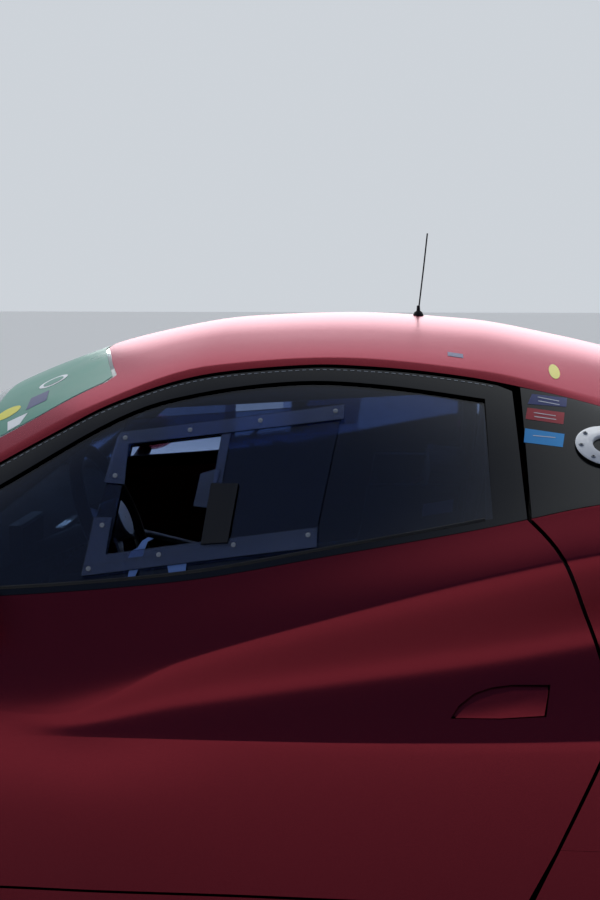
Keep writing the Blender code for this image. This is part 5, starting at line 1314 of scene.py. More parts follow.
@dataclass
class Glasshouse:
    """Window frames, side windows with their sliding panes, quarter panels, windscreen and rear window."""

    skin: Skin
    outlines: Outlines
    frame_wall: float = 0.018
    sheet: float = 0.006
    sheet_inset: float = 0.006
    slider: float = 0.004
    quarter_wall: float = 0.012
    glass_inset: float = 0.002

    @staticmethod
    def polish(sheet: bpy.types.Object) -> None:
        """Evens out the shading of curved glass, so that reflections run smoothly over its facets."""
        mesh = sheet.data
        normals = np.array([v.normal for v in mesh.vertices])
        x, y = np.array([v.co[:2] for v in mesh.vertices]).T
        even = np.stack([x ** i * y ** j for i in range(5) for j in (0, 2, 4)], axis=1)
        facing = np.sign(normals[:, 2:])
        out = normals * facing
        fits = [b @ np.linalg.lstsq(b, out[:, k], rcond=None)[0] for k,
            b in enumerate((even, even * y[:, None], even))]
        mesh.normals_split_custom_set_from_vertices((np.stack(fits, axis=1) * facing).tolist())

    def build(self) -> None:
        """Builds the glazing and its black surrounds."""
        skin, o = self.skin, self.outlines
        hole = Trim(HAND_OPENING, View.SIDE)
        frame = sheet_on(skin, (-0.68, 0.76), (3.6, 5.4), [
            Trim(o.frame(), View.SIDE, True), Trim(o.glass(), View.SIDE),
        ], self.frame_wall)
        window = sheet_on(skin, (-0.62, 0.72), (3.6, 5.3), [
            Trim(grown(o.glass(), -TOUCH), View.SIDE, True), hole,
        ], self.sheet, -self.sheet_inset)
        slider = sheet_on(skin, (-0.62, 0.72), (3.6, 5.3), [
            Trim(SLIDER_EDGE, View.SIDE, True), Trim(grown(o.glass(), -PANEL_GAP), View.SIDE, True), hole,
        ], self.slider, -(self.sheet_inset - self.slider - TOUCH))
        quarter = [Trim(o.quarter(), View.SIDE, True)]
        for stem, draft, finish, bodies, slot in (
            ("door_frame", frame, GLOSS_BLACK, DOORS, "black_carbon"),
            ("side_window", window, CLEAR_SHEET_PAINTED_SKY, DOORS, "clear_polycarbonate"),
            ("window_slider", slider, CLEAR_SHEET_PAINTED_SKY, DOORS, "clear_polycarbonate"),
            ("quarter_panel", sheet_on(skin, (0.70, 1.22), (3.7, 5.3), quarter, self.quarter_wall),
             GLOSS_BLACK, CHASSIS, "black_plastic"),
        ):
            place_drafts(draft, stem + "_{}_piece", finish, bodies, stem + "_{}", slot)
        edge = [Trim(grown(WINDSCREEN, -TOUCH), View.PLAN, True)]
        screen = sheet_on(skin, (-0.93, -0.01), (4.4, T_TOP), edge, self.sheet, -self.glass_inset)
        glass = screen.mirrored().extend(screen).object("windscreen_piece", [SCREEN_GLASS.material()])
        self.polish(glass)
        place(glass, "chassis", ("windscreen",), "clear_polycarbonate")
        edge = [Trim(REAR_GLASS, View.PLAN, True)]
        rear = sheet_on(skin, (0.97, 1.44), (5.0, T_TOP), edge, self.sheet, -self.glass_inset)
        place_whole(rear, "rear_window_piece", SCREEN_GLASS, "engine_lid", "rear_window",
            "clear_polycarbonate")


@dataclass
class Film:
    """Thin sheets and plates that follow the skin."""

    skin: Skin
    cell: float = CELL

    def side(self, outline: Outline, proud: float, thick: float, holes: tuple = ()) -> Draft:
        """A sheet drawn from the side."""
        xs = [p[0] for p in outline]
        trims = [Trim(outline, View.SIDE, True)] + [Trim(hole, View.SIDE) for hole in holes]
        s = (min(xs) - 0.02, max(xs) + 0.02)
        return sheet_on(self.skin, s, (0.0, 6.0), trims, thick, proud, self.cell)

    def plan(self, outline: Outline, proud: float, thick: float, holes: tuple = ()) -> Draft:
        """A sheet drawn from above."""
        xs = [p[0] for p in outline]
        trims = [Trim(outline, View.PLAN, True)] + [Trim(hole, View.PLAN) for hole in holes]
        s = (min(xs) - 0.32, max(xs) + 0.14)
        return sheet_on(self.skin, s, (3.2, T_TOP), trims, thick, proud, self.cell)


C_STRIP_TOP: Outline = [
    (-0.032, 0.920), (-0.018, 0.998), (-0.012, 1.006), (0.404, 1.060), (0.404, 1.035), (0.006, 0.986),
    (0.008, 0.918),
]
C_STRIP_LOW: Outline = [
    (-0.042, 0.863), (-0.052, 0.768), (0.366, 0.828), (0.366, 0.859), (-0.012, 0.804), (-0.008, 0.864),
]
STRIP_RIVETS = (
    (-0.040, 0.780), (0.085, 0.806), (0.218, 0.826), (0.350, 0.846), (-0.025, 0.850), (-0.012, 0.932),
    (-0.002, 0.996), (0.120, 1.012), (0.250, 1.030), (0.388, 1.048),
)
FINGER_PULL: Outline = [(0.169, 0.922), (0.219, 0.923), (0.208, 0.828), (0.160, 0.824)]
PANE_EDGE: Outline = [(0.180, 1.006), (0.197, 1.008), (0.178, 0.826), (0.161, 0.825)]
PANE_TAB: Outline = [(0.148, 0.938), (0.176, 0.946), (0.184, 0.944), (0.170, 0.882), (0.140, 0.884)]
PULL_TABS: tuple[Outline, ...] = (
    [(0.030, 0.800), (0.034, 0.811), (0.044, 0.816), (0.052, 0.828), (0.062, 0.834), (0.072, 0.832),
        (0.062, 0.827),
     (0.058, 0.815), (0.056, 0.803)],
    [(0.034, 0.781), (0.050, 0.783), (0.044, 0.766), (0.032, 0.765)],
    [(0.102, 0.790), (0.136, 0.795), (0.136, 0.782), (0.106, 0.778)],
)
SUN_STRIP_FRONT = ((-0.372, 0.0), (-0.364, 0.20), (-0.338, 0.42), (-0.318, 0.55), (-0.305, 0.615))
SUN_STRIP_REAR = ((-0.200, 0.586), (-0.084, 0.538), (-0.070, 0.516), (-0.101, 0.416), (-0.157, 0.208),
    (-0.177, 0.0))
HANDLE: Outline = [
    (0.606, 0.557), (0.624, 0.572), (0.648, 0.583), (0.672, 0.590), (0.702, 0.596), (0.762, 0.598),
    (0.755, 0.565), (0.682, 0.559),
]
HANDLE_RECESS: Outline = [
    (0.599, 0.5555), (0.612, 0.574), (0.640, 0.594), (0.668, 0.603), (0.702, 0.608), (0.767, 0.610),
    (0.758, 0.564),
    (0.682, 0.5575),
]


@dataclass
class WindowDetails:
    """Strips, rivets, pulls, dashes and stickers on windows and quarter panels, and the fuel filler."""

    skin: Skin
    outlines: Outlines
    strip: float = 0.003
    film: float = 0.0004
    dash_pitch: float = 0.013
    dash_inset: float = 0.0095

    def doors(self) -> None:
        """What is fixed to the door windows and their frames."""
        sheet = Film(self.skin)
        sheets = [
            ("slider_rail_top_{}", C_STRIP_TOP, 0.0018, self.strip, CLEAR_STRIP),
            ("slider_rail_low_{}", C_STRIP_LOW, 0.0018, self.strip, CLEAR_STRIP),
            ("finger_pull_{}", FINGER_PULL, 0.0055, 0.0065, MATT_BLACK),
            ("pane_edge_strip_{}", PANE_EDGE, 0.0012, 0.0026, CLEAR_STRIP),
            ("pane_tab_{}", PANE_TAB, 0.0050, 0.0030, CLEAR_STRIP),
        ]
        sheets += [(f"pull_tape_{i}_{{}}", tab, -0.0008, 0.0012, TAB_FILM) for i, tab in enumerate(PULL_TABS)]
        for name, outline, proud, thick, finish in sheets:
            place_drafts(sheet.side(outline, proud, thick), name, finish, DOORS)
        rivets = [(point, out, ALONG) for point, out in self.skin.spots(STRIP_RIVETS, proud=0.0018)]
        heads = Repeats("rail_rivets", Form.DOME, (0.009, 0.009, 0.004), EDGE_LIGHT).on(rivets)
        place_twins(heads, "rail_rivets_{}", DOORS)
        # A row of light grey dashes along the top edge of the frame.
        line = np.array([p for p in smooth(WINDOW_TOP, 24) if -0.50 < p[0] < 0.700])
        length = np.concatenate([[0], np.cumsum(np.linalg.norm(np.diff(line, axis=0), axis=1))])
        marks = np.arange(0.0, length[-1], self.dash_pitch)
        xs, zs = [np.interp(marks, length, line[:, k]) for k in (0, 1)]
        spots = self.skin.spots([(float(x), float(z) - self.dash_inset) for x, z in zip(xs, zs)],
            proud=0.0002)
        dashes = [(point, out, after[0] - point) for (point, out), after in zip(spots, spots[1:])]
        row = Repeats("frame_stitches", Form.CUBE, (0.0075, 0.0016, 0.0009), EDGE_LIGHT).on(dashes)
        place_twins(row, "frame_stitches_{}", DOORS)
        belt = [point for point, _ in self.skin.spots(self.outlines.belt(-0.49, 0.655, 0.013), proud=-0.001)]
        place_twins(tube("belt_seal", belt, 0.0035, SEAL, 10), "belt_seal_{}", DOORS)

    def quarters(self) -> None:
        """Plain coloured stickers and the bolted filler ring on the left quarter panel."""
        sheet = Film(self.skin)
        for name, outline, finish in (
            ("sticker_navy", [(0.750, 1.077), (0.816, 1.069), (0.812, 1.055), (0.740, 1.061)], NAVY_FILM),
            ("sticker_red", [(0.739, 1.055), (0.807, 1.046), (0.802, 1.028), (0.734, 1.037)], RED_FILM),
            ("sticker_blue", [(0.732, 1.022), (0.802, 1.013), (0.796, 0.993), (0.728, 1.000)], SKY_FILM),
            ("roof_sticker_blue", [(0.596, 1.147), (0.626, 1.143), (0.626, 1.137), (0.596, 1.141)],
                NAVY_FILM),
            ("roof_sticker_yellow", circle(0.803, 1.110, 0.011, 32), YELLOW_FILM),
        ):
            film = sheet.side(outline, self.film, self.film - 0.0001)
            place(film.mirrored().object(name, [finish.material()]), "chassis")
        row = [(0.780, 1.068), (0.780, 1.062), (0.770, 1.044), (0.770, 1.038), (0.765, 1.009)]
        flip, ahead = Matrix.Scale(-1, 3, SIDEWAYS), Vector((1, 0, -0.13))
        bars = Repeats("sticker_bars", Form.CUBE, (0.040, 0.0018, 0.0003), WHITE_FILM)
        spots = self.skin.spots(row, proud=0.0006)
        place(bars.on([(flip @ point, flip @ out, ahead) for point, out in spots]), "chassis")
        self.filler()

    def filler(self) -> None:
        """White flange with a ring of bolts round a dark throat."""
        point, out = self.skin.spots([FILLER_AT])[0]
        point, out = Vector((point.x, -point.y, point.z)), Vector((out.x, -out.y, out.z))
        flange = turned("filler_flange", [
            (0.027, 0.0050), (0.029, 0.0070), (0.040, 0.0070), (0.042, 0.0060), (0.0555, 0.0060),
            (0.058, 0.0045),
            (0.058, 0.0030), (0.036, 0.0030), (0.036, -0.070), (0.027, -0.070),
        ], point, WHITE_PAINT, out)
        flap = [(0.002, -0.046), (0.012, -0.044), (0.0275, -0.047), (0.0275, -0.055), (0.002, -0.055)]
        plug = turned("filler_flap", flap, point, MATT_BLACK, out)
        first, second = frame_of(out)
        heads = []
        for a in turns(8):
            arm = first * math.cos(a) + second * math.sin(a)
            heads.append((point + arm * 0.0490 + out * 0.0062, out, arm))
        # Painted shade: a thin dark hexagon on each bolt head stands in for the shade in its socket.
        socket_shades = [(p + out * 0.0020, o, a) for p, o, a in heads]
        bolts = joined("filler_screws", [
            Repeats("filler_bolts", Form.DOME, (0.0092, 0.0092, 0.0040), EDGE_LIGHT).on(heads),
            Repeats("filler_socket_shades", Form.HEXAGON, (0.0042, 0.0042, 0.0006), SEAL).on(socket_shades),
        ])
        place(joined("filler_assembly", [flange, plug, bolts]), "chassis", ("fuel_filler",), "white_ring")

    def screen(self) -> None:
        """Green film along the top of the windscreen, with plain round and square stickers."""
        sheet = Film(self.skin)
        strip = sheet.plan(both(list(SUN_STRIP_FRONT) + list(SUN_STRIP_REAR)), -0.0011, 0.0003)
        place_whole(strip, "sun_strip", SUN_STRIP, "chassis")
        spots = (
            ("screen_sticker_yellow", circle(-0.290, 0.505, 0.026, 40), YELLOW_FILM),
            ("screen_sticker_white", [(-0.275, 0.555), (-0.235, 0.548), (-0.240, 0.590), (-0.262, 0.598)],
                WHITE_FILM),
            ("screen_sticker_navy", [(-0.252, 0.468), (-0.215, 0.462), (-0.205, 0.520), (-0.245, 0.530)],
                NAVY_FILM),
            ("screen_sticker_round", circle(-0.222, 0.405, 0.030, 40), WHITE_FILM),
            ("screen_sticker_inner", circle(-0.222, 0.405, 0.021, 40), SUN_STRIP),
        )
        for name, outline, finish in spots:
            level = -0.0007 + 0.0003 * (name.endswith("inner"))
            made = sheet.plan(outline, level, 0.0002).mirrored()
            place(made.object(name, [finish.material()]), "chassis")

    def build(self) -> None:
        """Builds all window details."""
        self.doors()
        self.quarters()
        self.screen()


@dataclass
class SideDetails:
    """Door handles, door mirrors, side intakes and side skirts."""

    skin: Skin
    outlines: Outlines
    mirror_at: tuple[float, float, float] = (-0.300, 1.000, 0.800)
    mirror_half: tuple[float, float, float] = (0.078, 0.100, 0.058)
    handle_lean: float = 0.0220

    def handle(self) -> None:
        """A sharp fin in a shallow scoop, one on each door."""
        sheet = Film(self.skin, 0.01)
        cup = sheet.side(grown(HANDLE_RECESS, 0.004), -0.010, 0.012)
        low, high = min(z for _, z in HANDLE), max(z for _, z in HANDLE)
        front, back = [], []
        for (_, z), (point, out) in zip(HANDLE, self.skin.spots(HANDLE)):
            front.append(point + out * (self.handle_lean * (z - low) / (high - low) - 0.002))
            back.append(point - out * 0.012)
        fin = finish_surface(rounded(lofted("fin", [back, front], SATIN_RED, 30.0), 0.0014), 12.0)
        place_drafts(cup, "handle_scoop_{}", SATIN_RED, DOORS)
        place_twins(fin, "handle_fin_{}", DOORS)

    def intake(self) -> None:
        """Black duct behind each opening in the rear fender, with three vanes."""
        sheet = Film(self.skin, 0.02)
        whole = sheet.side(grown(INTAKE, -0.0004), -0.006, 0.050, (grown(INTAKE, -0.004),))
        whole.extend(sheet.side(grown(INTAKE, -0.0045), -0.052, 0.004))
        for z in (0.63, 0.70, 0.77):
            vane = [(0.915, z - 0.002), (1.034, z - 0.002), (1.034, z + 0.002), (0.915, z + 0.002)]
            whole.extend(sheet.side(vane, -0.016, 0.034))
        place_drafts(whole, "intake_duct_{}", MATT_BLACK)

    def skirt(self) -> None:
        """Side skirts in the body's film."""
        front, rear = FRONT_AXLE[0] + FRONT_AXLE[2] + 0.015, REAR_AXLE[0] - REAR_AXLE[2]
        steered = circle(FRONT_AXLE[0], FRONT_AXLE[2], FRONT_AXLE[2] + SKIRT_CLEARANCE)
        face = patch(self.skin, (front - 0.06, rear + 0.08), (0.0, 1.0), [
            Trim(self.outlines.sill(), View.SIDE, True), Trim(steered, View.SIDE),
            Trim(self.outlines.arch(REAR_AXLE), View.SIDE),
        ])
        back = face.points.copy()
        back[:, 1] = DOOR_INNER_Y - 0.008
        made = Draft()
        made.solid(face, back)
        place_drafts(made, "side_skirt_panel_{}", SATIN_RED, CHASSIS, "side_skirt_{}", "satin_red_wrap")

    def mirror(self) -> None:
        """Egg-shaped mirrors on blade stalks, with a flat glass that faces back."""
        cx, cy, cz = self.mirror_at
        hx, hy, hz = self.mirror_half
        flat, rings = cx + hx * 0.72, []
        for i in range(25):
            a = math.pi * (i * 0.94 + 0.7) / 24.0
            r, y = math.sin(a) ** 0.6, cy - hy * math.cos(a)
            rings.append([(min(cx + hx * r * math.cos(b), flat), y,
                cz + hz * r * math.sin(b)) for b in turns(48)])
        shell = lofted("mirror_shell", rings, SATIN_RED, 40.0)
        oval = [(cy + hy * 0.80 * math.cos(a), cz + hz * 0.60 * math.sin(a)) for a in turns(48)]
        glass = slab("mirror_pane", oval, "X", flat - 0.001, flat + 0.0012, MIRROR_GLASS, 0.0006)
        seal = slab("mirror_seal", grown(oval, 0.004), "X", flat - 0.002, flat + 0.0006, SEAL, 0.0004)
        oval_foot = [(0.030 * math.cos(a), 0.008 * math.sin(a)) for a in turns(16)]
        spots = self.skin.spots([(-0.340 + dx, 0.700 + dz) for dx, dz in oval_foot])
        foot = [point - out * 0.010 for point, out in spots]
        head = [Vector((cx + dx * 0.6, cy - 0.03, cz - 0.02 + dz)) for dx, dz in oval_foot]
        middle = [(f + h) / 2 + Vector((0, 0.006, 0)) for f, h in zip(foot, head)]
        stalk = lofted("mirror_stalk", [foot, middle, head], CARBON, 40.0)
        right = joined("mirror_assembly", [shell, glass, seal, stalk])
        place_twins(right, "mirror_assembly_{}", DOORS, "mirror_{}", "satin_red_wrap")

    def build(self) -> None:
        """Builds all side details."""
        self.handle()
        self.intake()
        self.skirt()
        self.mirror()


@dataclass
class Ends:
    """Bumpers with their openings, lamps, splitter, diffuser, exhaust and wing."""

    skin: Skin
    outlines: Outlines
    wall: float = 0.018
    tail_lamp: tuple[float, float, float] = (0.690, 0.720, 0.062)
    pipe: tuple[float, float, float] = (0.110, 0.360, 0.045)
    pipe_end_x: float = 2.215
    splitter_z: float = 0.085
    diffuser_end_x: float = 2.175
    wing_half: float = 0.780

    def face_x(self, y: np.ndarray, end: int) -> np.ndarray:
        """Where the bowed face of the nose (-1) or the tail (1) stands."""
        s = self.skin.nose_s if end < 0 else self.skin.tail_s
        reach = self.skin.nose_round if end < 0 else self.skin.tail_round
        return s + end * reach + self.skin.bow(np.full_like(y, s), y)

    def closed_face(self, side: Surface, end: int, holes: list[Outline]) -> Surface:
        """The side surface with the bowed face that closes the end of the car.

        Args:
            side: Patch of the skin that ends in the rounded edge.
            end: -1 for the nose, 1 for the tail.
            holes: Openings, as (y, z).

        Returns:
            Both as one surface with shared corners.
        """
        last = side.places[:, 0].min() if end < 0 else side.places[:, 0].max()
        edge = np.flatnonzero(np.abs(side.places[:, 0] - last) < 1e-9)
        edge = edge[np.argsort(side.places[edge, 1])]
        ring = side.points[edge][:, 1:]
        floor = ring[0, 1]
        half, top = ring[:, 0].max(), ring[:, 1].max()
        base = np.linspace(0.0, ring[0, 0], 24)[:-1]
        centre = np.linspace(ring[-1, 1], floor, 14)[1:-1]
        border = np.concatenate([
            ring, np.stack([np.zeros_like(centre), centre], -1),
            np.stack([base, np.full_like(base, floor)], -1),
        ])
        ys, zs = np.arange(0.012, half, 0.022), np.arange(floor + 0.012, top, 0.022)
        ys, zs = np.meshgrid(ys, zs, indexing="ij")
        grid = np.stack([ys.ravel(), zs.ravel()], -1)
        coords, edges = [border], [(i, (i + 1) % len(border)) for i in range(len(border))]
        start = len(border)
        for hole in holes:
            loop = Trim(hole, View.SIDE).dense(0.012)
            edges += [(start + k, start + (k + 1) % len(loop)) for k in range(len(loop))]
            coords.append(loop)
            start += len(loop)
        coords.append(grid[inside([tuple(p) for p in border], grid)])
        flat = np.concatenate(coords)
        made = geometry.delaunay_2d_cdt([Vector(p) for p in flat], edges, [], 0, 1e-6)
        places = np.array([tuple(v) for v in made[0]])
        tri = np.array([f for f in made[2] if len(f) == 3])
        middle = places[tri].mean(1)
        keep = inside([tuple(p) for p in border], middle)
        for hole in holes:
            keep &= ~inside(hole, middle)
        tri = tri[keep]
        y = np.where(np.abs(places[:, 0]) < 1e-7, 0.0, places[:, 0])
        points = np.stack([self.face_x(y, end), y, places[:, 1]], -1)
        slope = (self.face_x(y + 1e-4, end) - self.face_x(y - 1e-4, end)) / 2e-4
        normals = np.stack([np.full_like(y, float(end)), -end * slope, np.zeros_like(y)], -1)
        normals /= np.linalg.norm(normals, axis=1, keepdims=True)
        offset = len(side.points)
        table = np.arange(len(places)) + offset
        for k, sources in enumerate(made[3]):
            shared = [i for i in sources if i < len(edge)]
            if shared:
                table[k] = edge[shared[0]]
        cross = np.cross(points[tri[:, 1]] - points[tri[:, 0]], points[tri[:, 2]] - points[tri[:, 0]])
        flip = (cross * normals[tri[:, 0]]).sum(1) < 0
        tri[flip] = tri[flip][:, ::-1]
        return Surface(
            np.concatenate([side.points, points]), np.concatenate([side.normals, normals]),
            np.concatenate([side.triangles, table[tri]]),
            np.concatenate([side.places, np.zeros((len(points), 2))]),
        )

    def bumper(self, end: int, s: tuple[float, float], trims: list[Trim], holes: list[Outline]) -> None:
        """A whole bumper shell with its openings."""
        skin = self.skin
        mark = skin.nose_s - skin.nose_round / 2 if end < 0 else skin.tail_s + skin.tail_round / 2
        side = patch(skin, s, (0.0, T_TOP), trims, CELL, (mark,))
        front = self.closed_face(side, end, holes)
        used, back = np.unique(front.triangles, return_inverse=True)
        front = Surface(front.points[used], front.normals[used], back.reshape(-1, 3), front.places[used])
        made = Draft()
        made.solid(front, front.points - front.normals * self.wall)
        name = "front_bumper" if end < 0 else "rear_bumper"
        place_whole(made, name + "_panel", SATIN_RED, "chassis", name, "satin_red_wrap")

    def crate(self, name: str, opening: Outline, end: int, depth: float, step: float) -> None:
        """Egg-crate grille and a dark backing behind an opening that is the same on both sides."""
        ys, zs = np.array(opening).T
        upright, level = [], []
        ahead = ALONG * end
        height = float(zs.max() - zs.min()) + 0.02
        middle = float(zs.max() + zs.min()) / 2
        for y in np.arange(ys.min() - 0.01, ys.max() + 0.011, step):
            x = float(self.face_x(np.array([y]), end)[0]) - end * depth
            upright.append((Vector((x, y, middle)), ahead, UP))
            for z in np.arange(middle - height / 2 + step / 2, middle + height / 2, step):
                level.append((Vector((x, y + step / 2, float(z))), ahead, SIDEWAYS))
        a = Repeats(name + "_uprights", Form.CUBE, (height, 0.0016, 0.012), MATT_BLACK).on(upright)
        b = Repeats(name + "_levels", Form.CUBE, (step * 1.02, 0.0016, 0.010), MATT_BLACK).on(level)
        place(joined(name + "_grille", [a, b]), "chassis")
        # A dark sheet close behind the grille fills the opening.
        marks = np.linspace(ys.min() - 0.02, ys.max() + 0.02, 24)
        face = self.face_x(marks, end) - end * (depth + 0.012)
        sheet = [(float(x), float(y)) for x, y in zip(face, marks)]
        sheet += [(x - end * 0.004, y) for x, y in reversed(sheet)]
        back = slab(name + "_core", sheet, "Z", float(zs.min()) - 0.015, float(zs.max()) + 0.015, DARK_BACKING)
        place(back, "chassis")

    def headlamps(self) -> None:
        """Clear lens over a dark bucket with three chrome bowls."""
        sheet = Film(self.skin, 0.02)
        outline = grown(HEADLAMP, -LAMP_GAP)
        lens = sheet.plan(outline, -0.0005, 0.003)
        rim = sheet.plan(outline, -0.0040, 0.044, (grown(outline, -0.006),))
        floor = sheet.plan(grown(outline, -0.0005), -0.0484, 0.0016)
        inner = []
        for x, y, radius in ((-1.850, 0.722, 0.040), (-1.745, 0.720, 0.034), (-1.66, 0.728, 0.022)):
            point, out = self.skin.spots([(x, y)], View.PLAN, -0.0475)[0]
            aim = (out + Vector((-1.1, 0.1, 0))).normalized()
            inner.append(turned("lamp_bowl", [
                (radius * 0.25, 0.002), (radius * 0.62, 0.010), (radius * 0.92, 0.026), (radius, 0.026),
                (radius, 0.020), (radius * 0.66, 0.004), (radius * 0.25, -0.002),
            ], point + out * 0.012, BRIGHT, aim, 48))
        place_drafts(lens, "headlamp_lens_{}", LAMP_LENS, CHASSIS, "headlamp_{}", "lamp_glass")
        place_drafts(rim, "headlamp_rim_{}", MATT_BLACK)
        place_drafts(floor, "headlamp_floor_{}", MATT_BLACK)
        place_twins(joined("lamp_bowls", inner), "lamp_bowls_{}")

    def tail_lamps(self) -> None:
        """Round red lamps, two rings deep."""
        y, z, radius = self.tail_lamp
        x = float(self.face_x(np.array([y]), 1)[0])
        spot = Vector((x, y, z))
        lens = turned("tail_lens", [
            (0.001, 0.0050), (radius * 0.42, 0.0056), (radius * 0.48, 0.0036), (radius * 0.60, 0.0036),
            (radius * 0.66, 0.0058), (radius * 0.90, 0.0044), (radius * 0.96, 0.0010),
            (radius * 0.96, -0.040),
            (0.001, -0.040),
        ], spot, LAMP_RED, ALONG)
        ring = turned("tail_ring", [
            (radius * 0.962, -0.030), (radius * 0.962, 0.0040), (radius * 0.985, 0.0058), (radius, 0.0040),
            (radius, -0.030),
        ], spot, MATT_BLACK, ALONG)
        right = joined("tail_lamp_piece", [lens, ring])
        place_twins(right, "tail_lamp_piece_{}", CHASSIS, "tail_lamp_{}", "tail_red")

    def under(self) -> None:
        """Splitter, diffuser with its fins, exhaust."""
        nose = self.skin.nose_s - self.skin.nose_round
        ys = [0.0, 0.1, 0.2, 0.3, 0.4, 0.5, 0.6, 0.68, 0.75, 0.81, 0.86]
        bow = self.skin.bow(np.full(len(ys), self.skin.nose_s), np.array(ys))
        edge = [(nose - 0.025 + float(b), y) for b, y in zip(bow, ys)]
        plan = both(edge + [(-1.80, 0.915), (-1.60, 0.900), (-1.560, 0.62), (-1.560, 0.0)])
        top = float(self.skin.line("z_bot", np.array([-2.0]))[0]) - TOUCH
        splitter = slab("splitter_blade", plan, "Z", self.splitter_z, top, CARBON, 0.003)
        place(splitter, "chassis", ("front_splitter",), "black_carbon")
        x0, x1 = 1.880 + TOUCH, self.diffuser_end_x
        ramp_z = [
            (x0, 0.095), (x0 + 0.06, 0.104), (x0 + 0.15, 0.142), (x1, 0.215), (x1, 0.232), (x0 + 0.15, 0.160),
            (x0, 0.113),
        ]
        fin = [(x0 + 0.03, 0.100), (x1, 0.115), (x1, 0.222), (x0 + 0.15, 0.150), (x0 + 0.03, 0.110)]
        parts = [slab("ramp", ramp_z, "Y", -0.76, 0.76, CARBON, 0.002)]
        for y in (-0.45, -0.27, -0.09, 0.09, 0.27, 0.45):
            parts.append(slab("fin", fin, "Y", y - 0.006, y + 0.006, CARBON, 0.002))
        place(joined("diffuser_tray", parts), "chassis", ("diffuser",), "black_carbon")
        y, z, radius = self.pipe
        pipes = []
        for side in (-1, 1):
            pipes.append(turned("pipe", [
                (radius - 0.004, -0.22), (radius - 0.004, -0.002), (radius - 0.002, 0.0), (radius, -0.002),
                (radius, -0.24), (0.010, -0.24), (0.010, -0.22),
            ], Vector((self.pipe_end_x, side * y, z)), BURNT_STEEL, ALONG, 64))
        pipes.append(block("muffler", (1.7204, -0.26, 0.30), (1.90, 0.26, 0.44), STEEL, 0.030))
        for s in (-1, 1):
            pipes.append(tube("link", [(1.89, s * y, z), (2.00, s * y, z)], radius * 0.86, STEEL, 32))
        place(joined("exhaust_piece", pipes), "chassis", ("exhaust",), "painted_steel")

    def wing(self) -> None:
        """Aerofoil with end plates on two swept stands."""
        top = smooth([(1.985, 1.090), (1.992, 1.100), (2.06, 1.105), (2.16, 1.121), (2.255, 1.142)], 5)
        low = smooth([(2.26, 1.136), (2.20, 1.112), (2.10, 1.088), (2.02, 1.082), (1.987, 1.088)], 5)
        parts = [slab("foil", top + low, "Y", -self.wing_half, self.wing_half, CARBON)]
        plate = [(1.965, 1.02), (2.255, 1.02), (2.272, 1.035), (2.280, 1.16), (2.10, 1.165), (1.97, 1.12)]
        for side in (1, -1):
            lo, hi = sorted(side * self.wing_half + d for d in (-0.004, 0.004))
            parts.append(slab("plate", plate, "Y", lo, hi, CARBON, 0.0015))
            y = side * 0.330
            feet = self.skin.spots([(x, 0.330) for x in (1.995, 2.03, 2.07, 2.11)], View.PLAN)
            stand = [(p.x, p.z - 0.001) for p, _ in feet]
            stand += [(2.150, 1.040), (2.17, 1.100), (2.09, 1.092), (2.045, 1.02)]
            parts.append(slab("stand", stand, "Y", y - 0.006, y + 0.006, CARBON, 0.0015))
            bolts = []
            for x, z in ((2.105, 1.082), (2.150, 1.090)):
                bolts += [(Vector((x, y + e * 0.0062, z)), SIDEWAYS * e, ALONG) for e in (-1, 1)]
            parts.append(Repeats(f"stand_bolts_{side}", Form.HEXAGON, (0.012, 0.012, 0.006), STEEL).on(bolts))
        place(joined("wing_assembly", parts), "chassis", ("rear_wing",), "black_carbon")

    def build(self) -> None:
        """Builds both ends of the car."""
        reach = self.skin.nose_s - self.skin.nose_round
        self.bumper(-1, (reach, FRONT_BUMPER_S), [
            Trim(HEADLAMP, View.PLAN), Trim(grown(LID, PANEL_GAP), View.PLAN),
        ], [NOSE_GRILLE, NOSE_DUCT])
        self.bumper(1, (REAR_BUMPER_S, self.skin.tail_s + self.skin.tail_round), [], [
            circle(self.tail_lamp[0], self.tail_lamp[1], self.tail_lamp[2] + TOUCH, 72),
            circle(self.pipe[0], self.pipe[1], self.pipe[2] + 0.010, 64), TAIL_GRILLE,
        ])
        self.crate("nose", NOSE_GRILLE, -1, 0.034, 0.021)
        self.crate("duct_r", NOSE_DUCT, -1, 0.034, 0.021)
        self.crate("duct_l", [(-y, z) for y, z in reversed(NOSE_DUCT)], -1, 0.034, 0.021)
        self.crate("tail", TAIL_GRILLE, 1, 0.030, 0.018)
        self.headlamps()
        self.tail_lamps()
        self.under()
        self.wing()


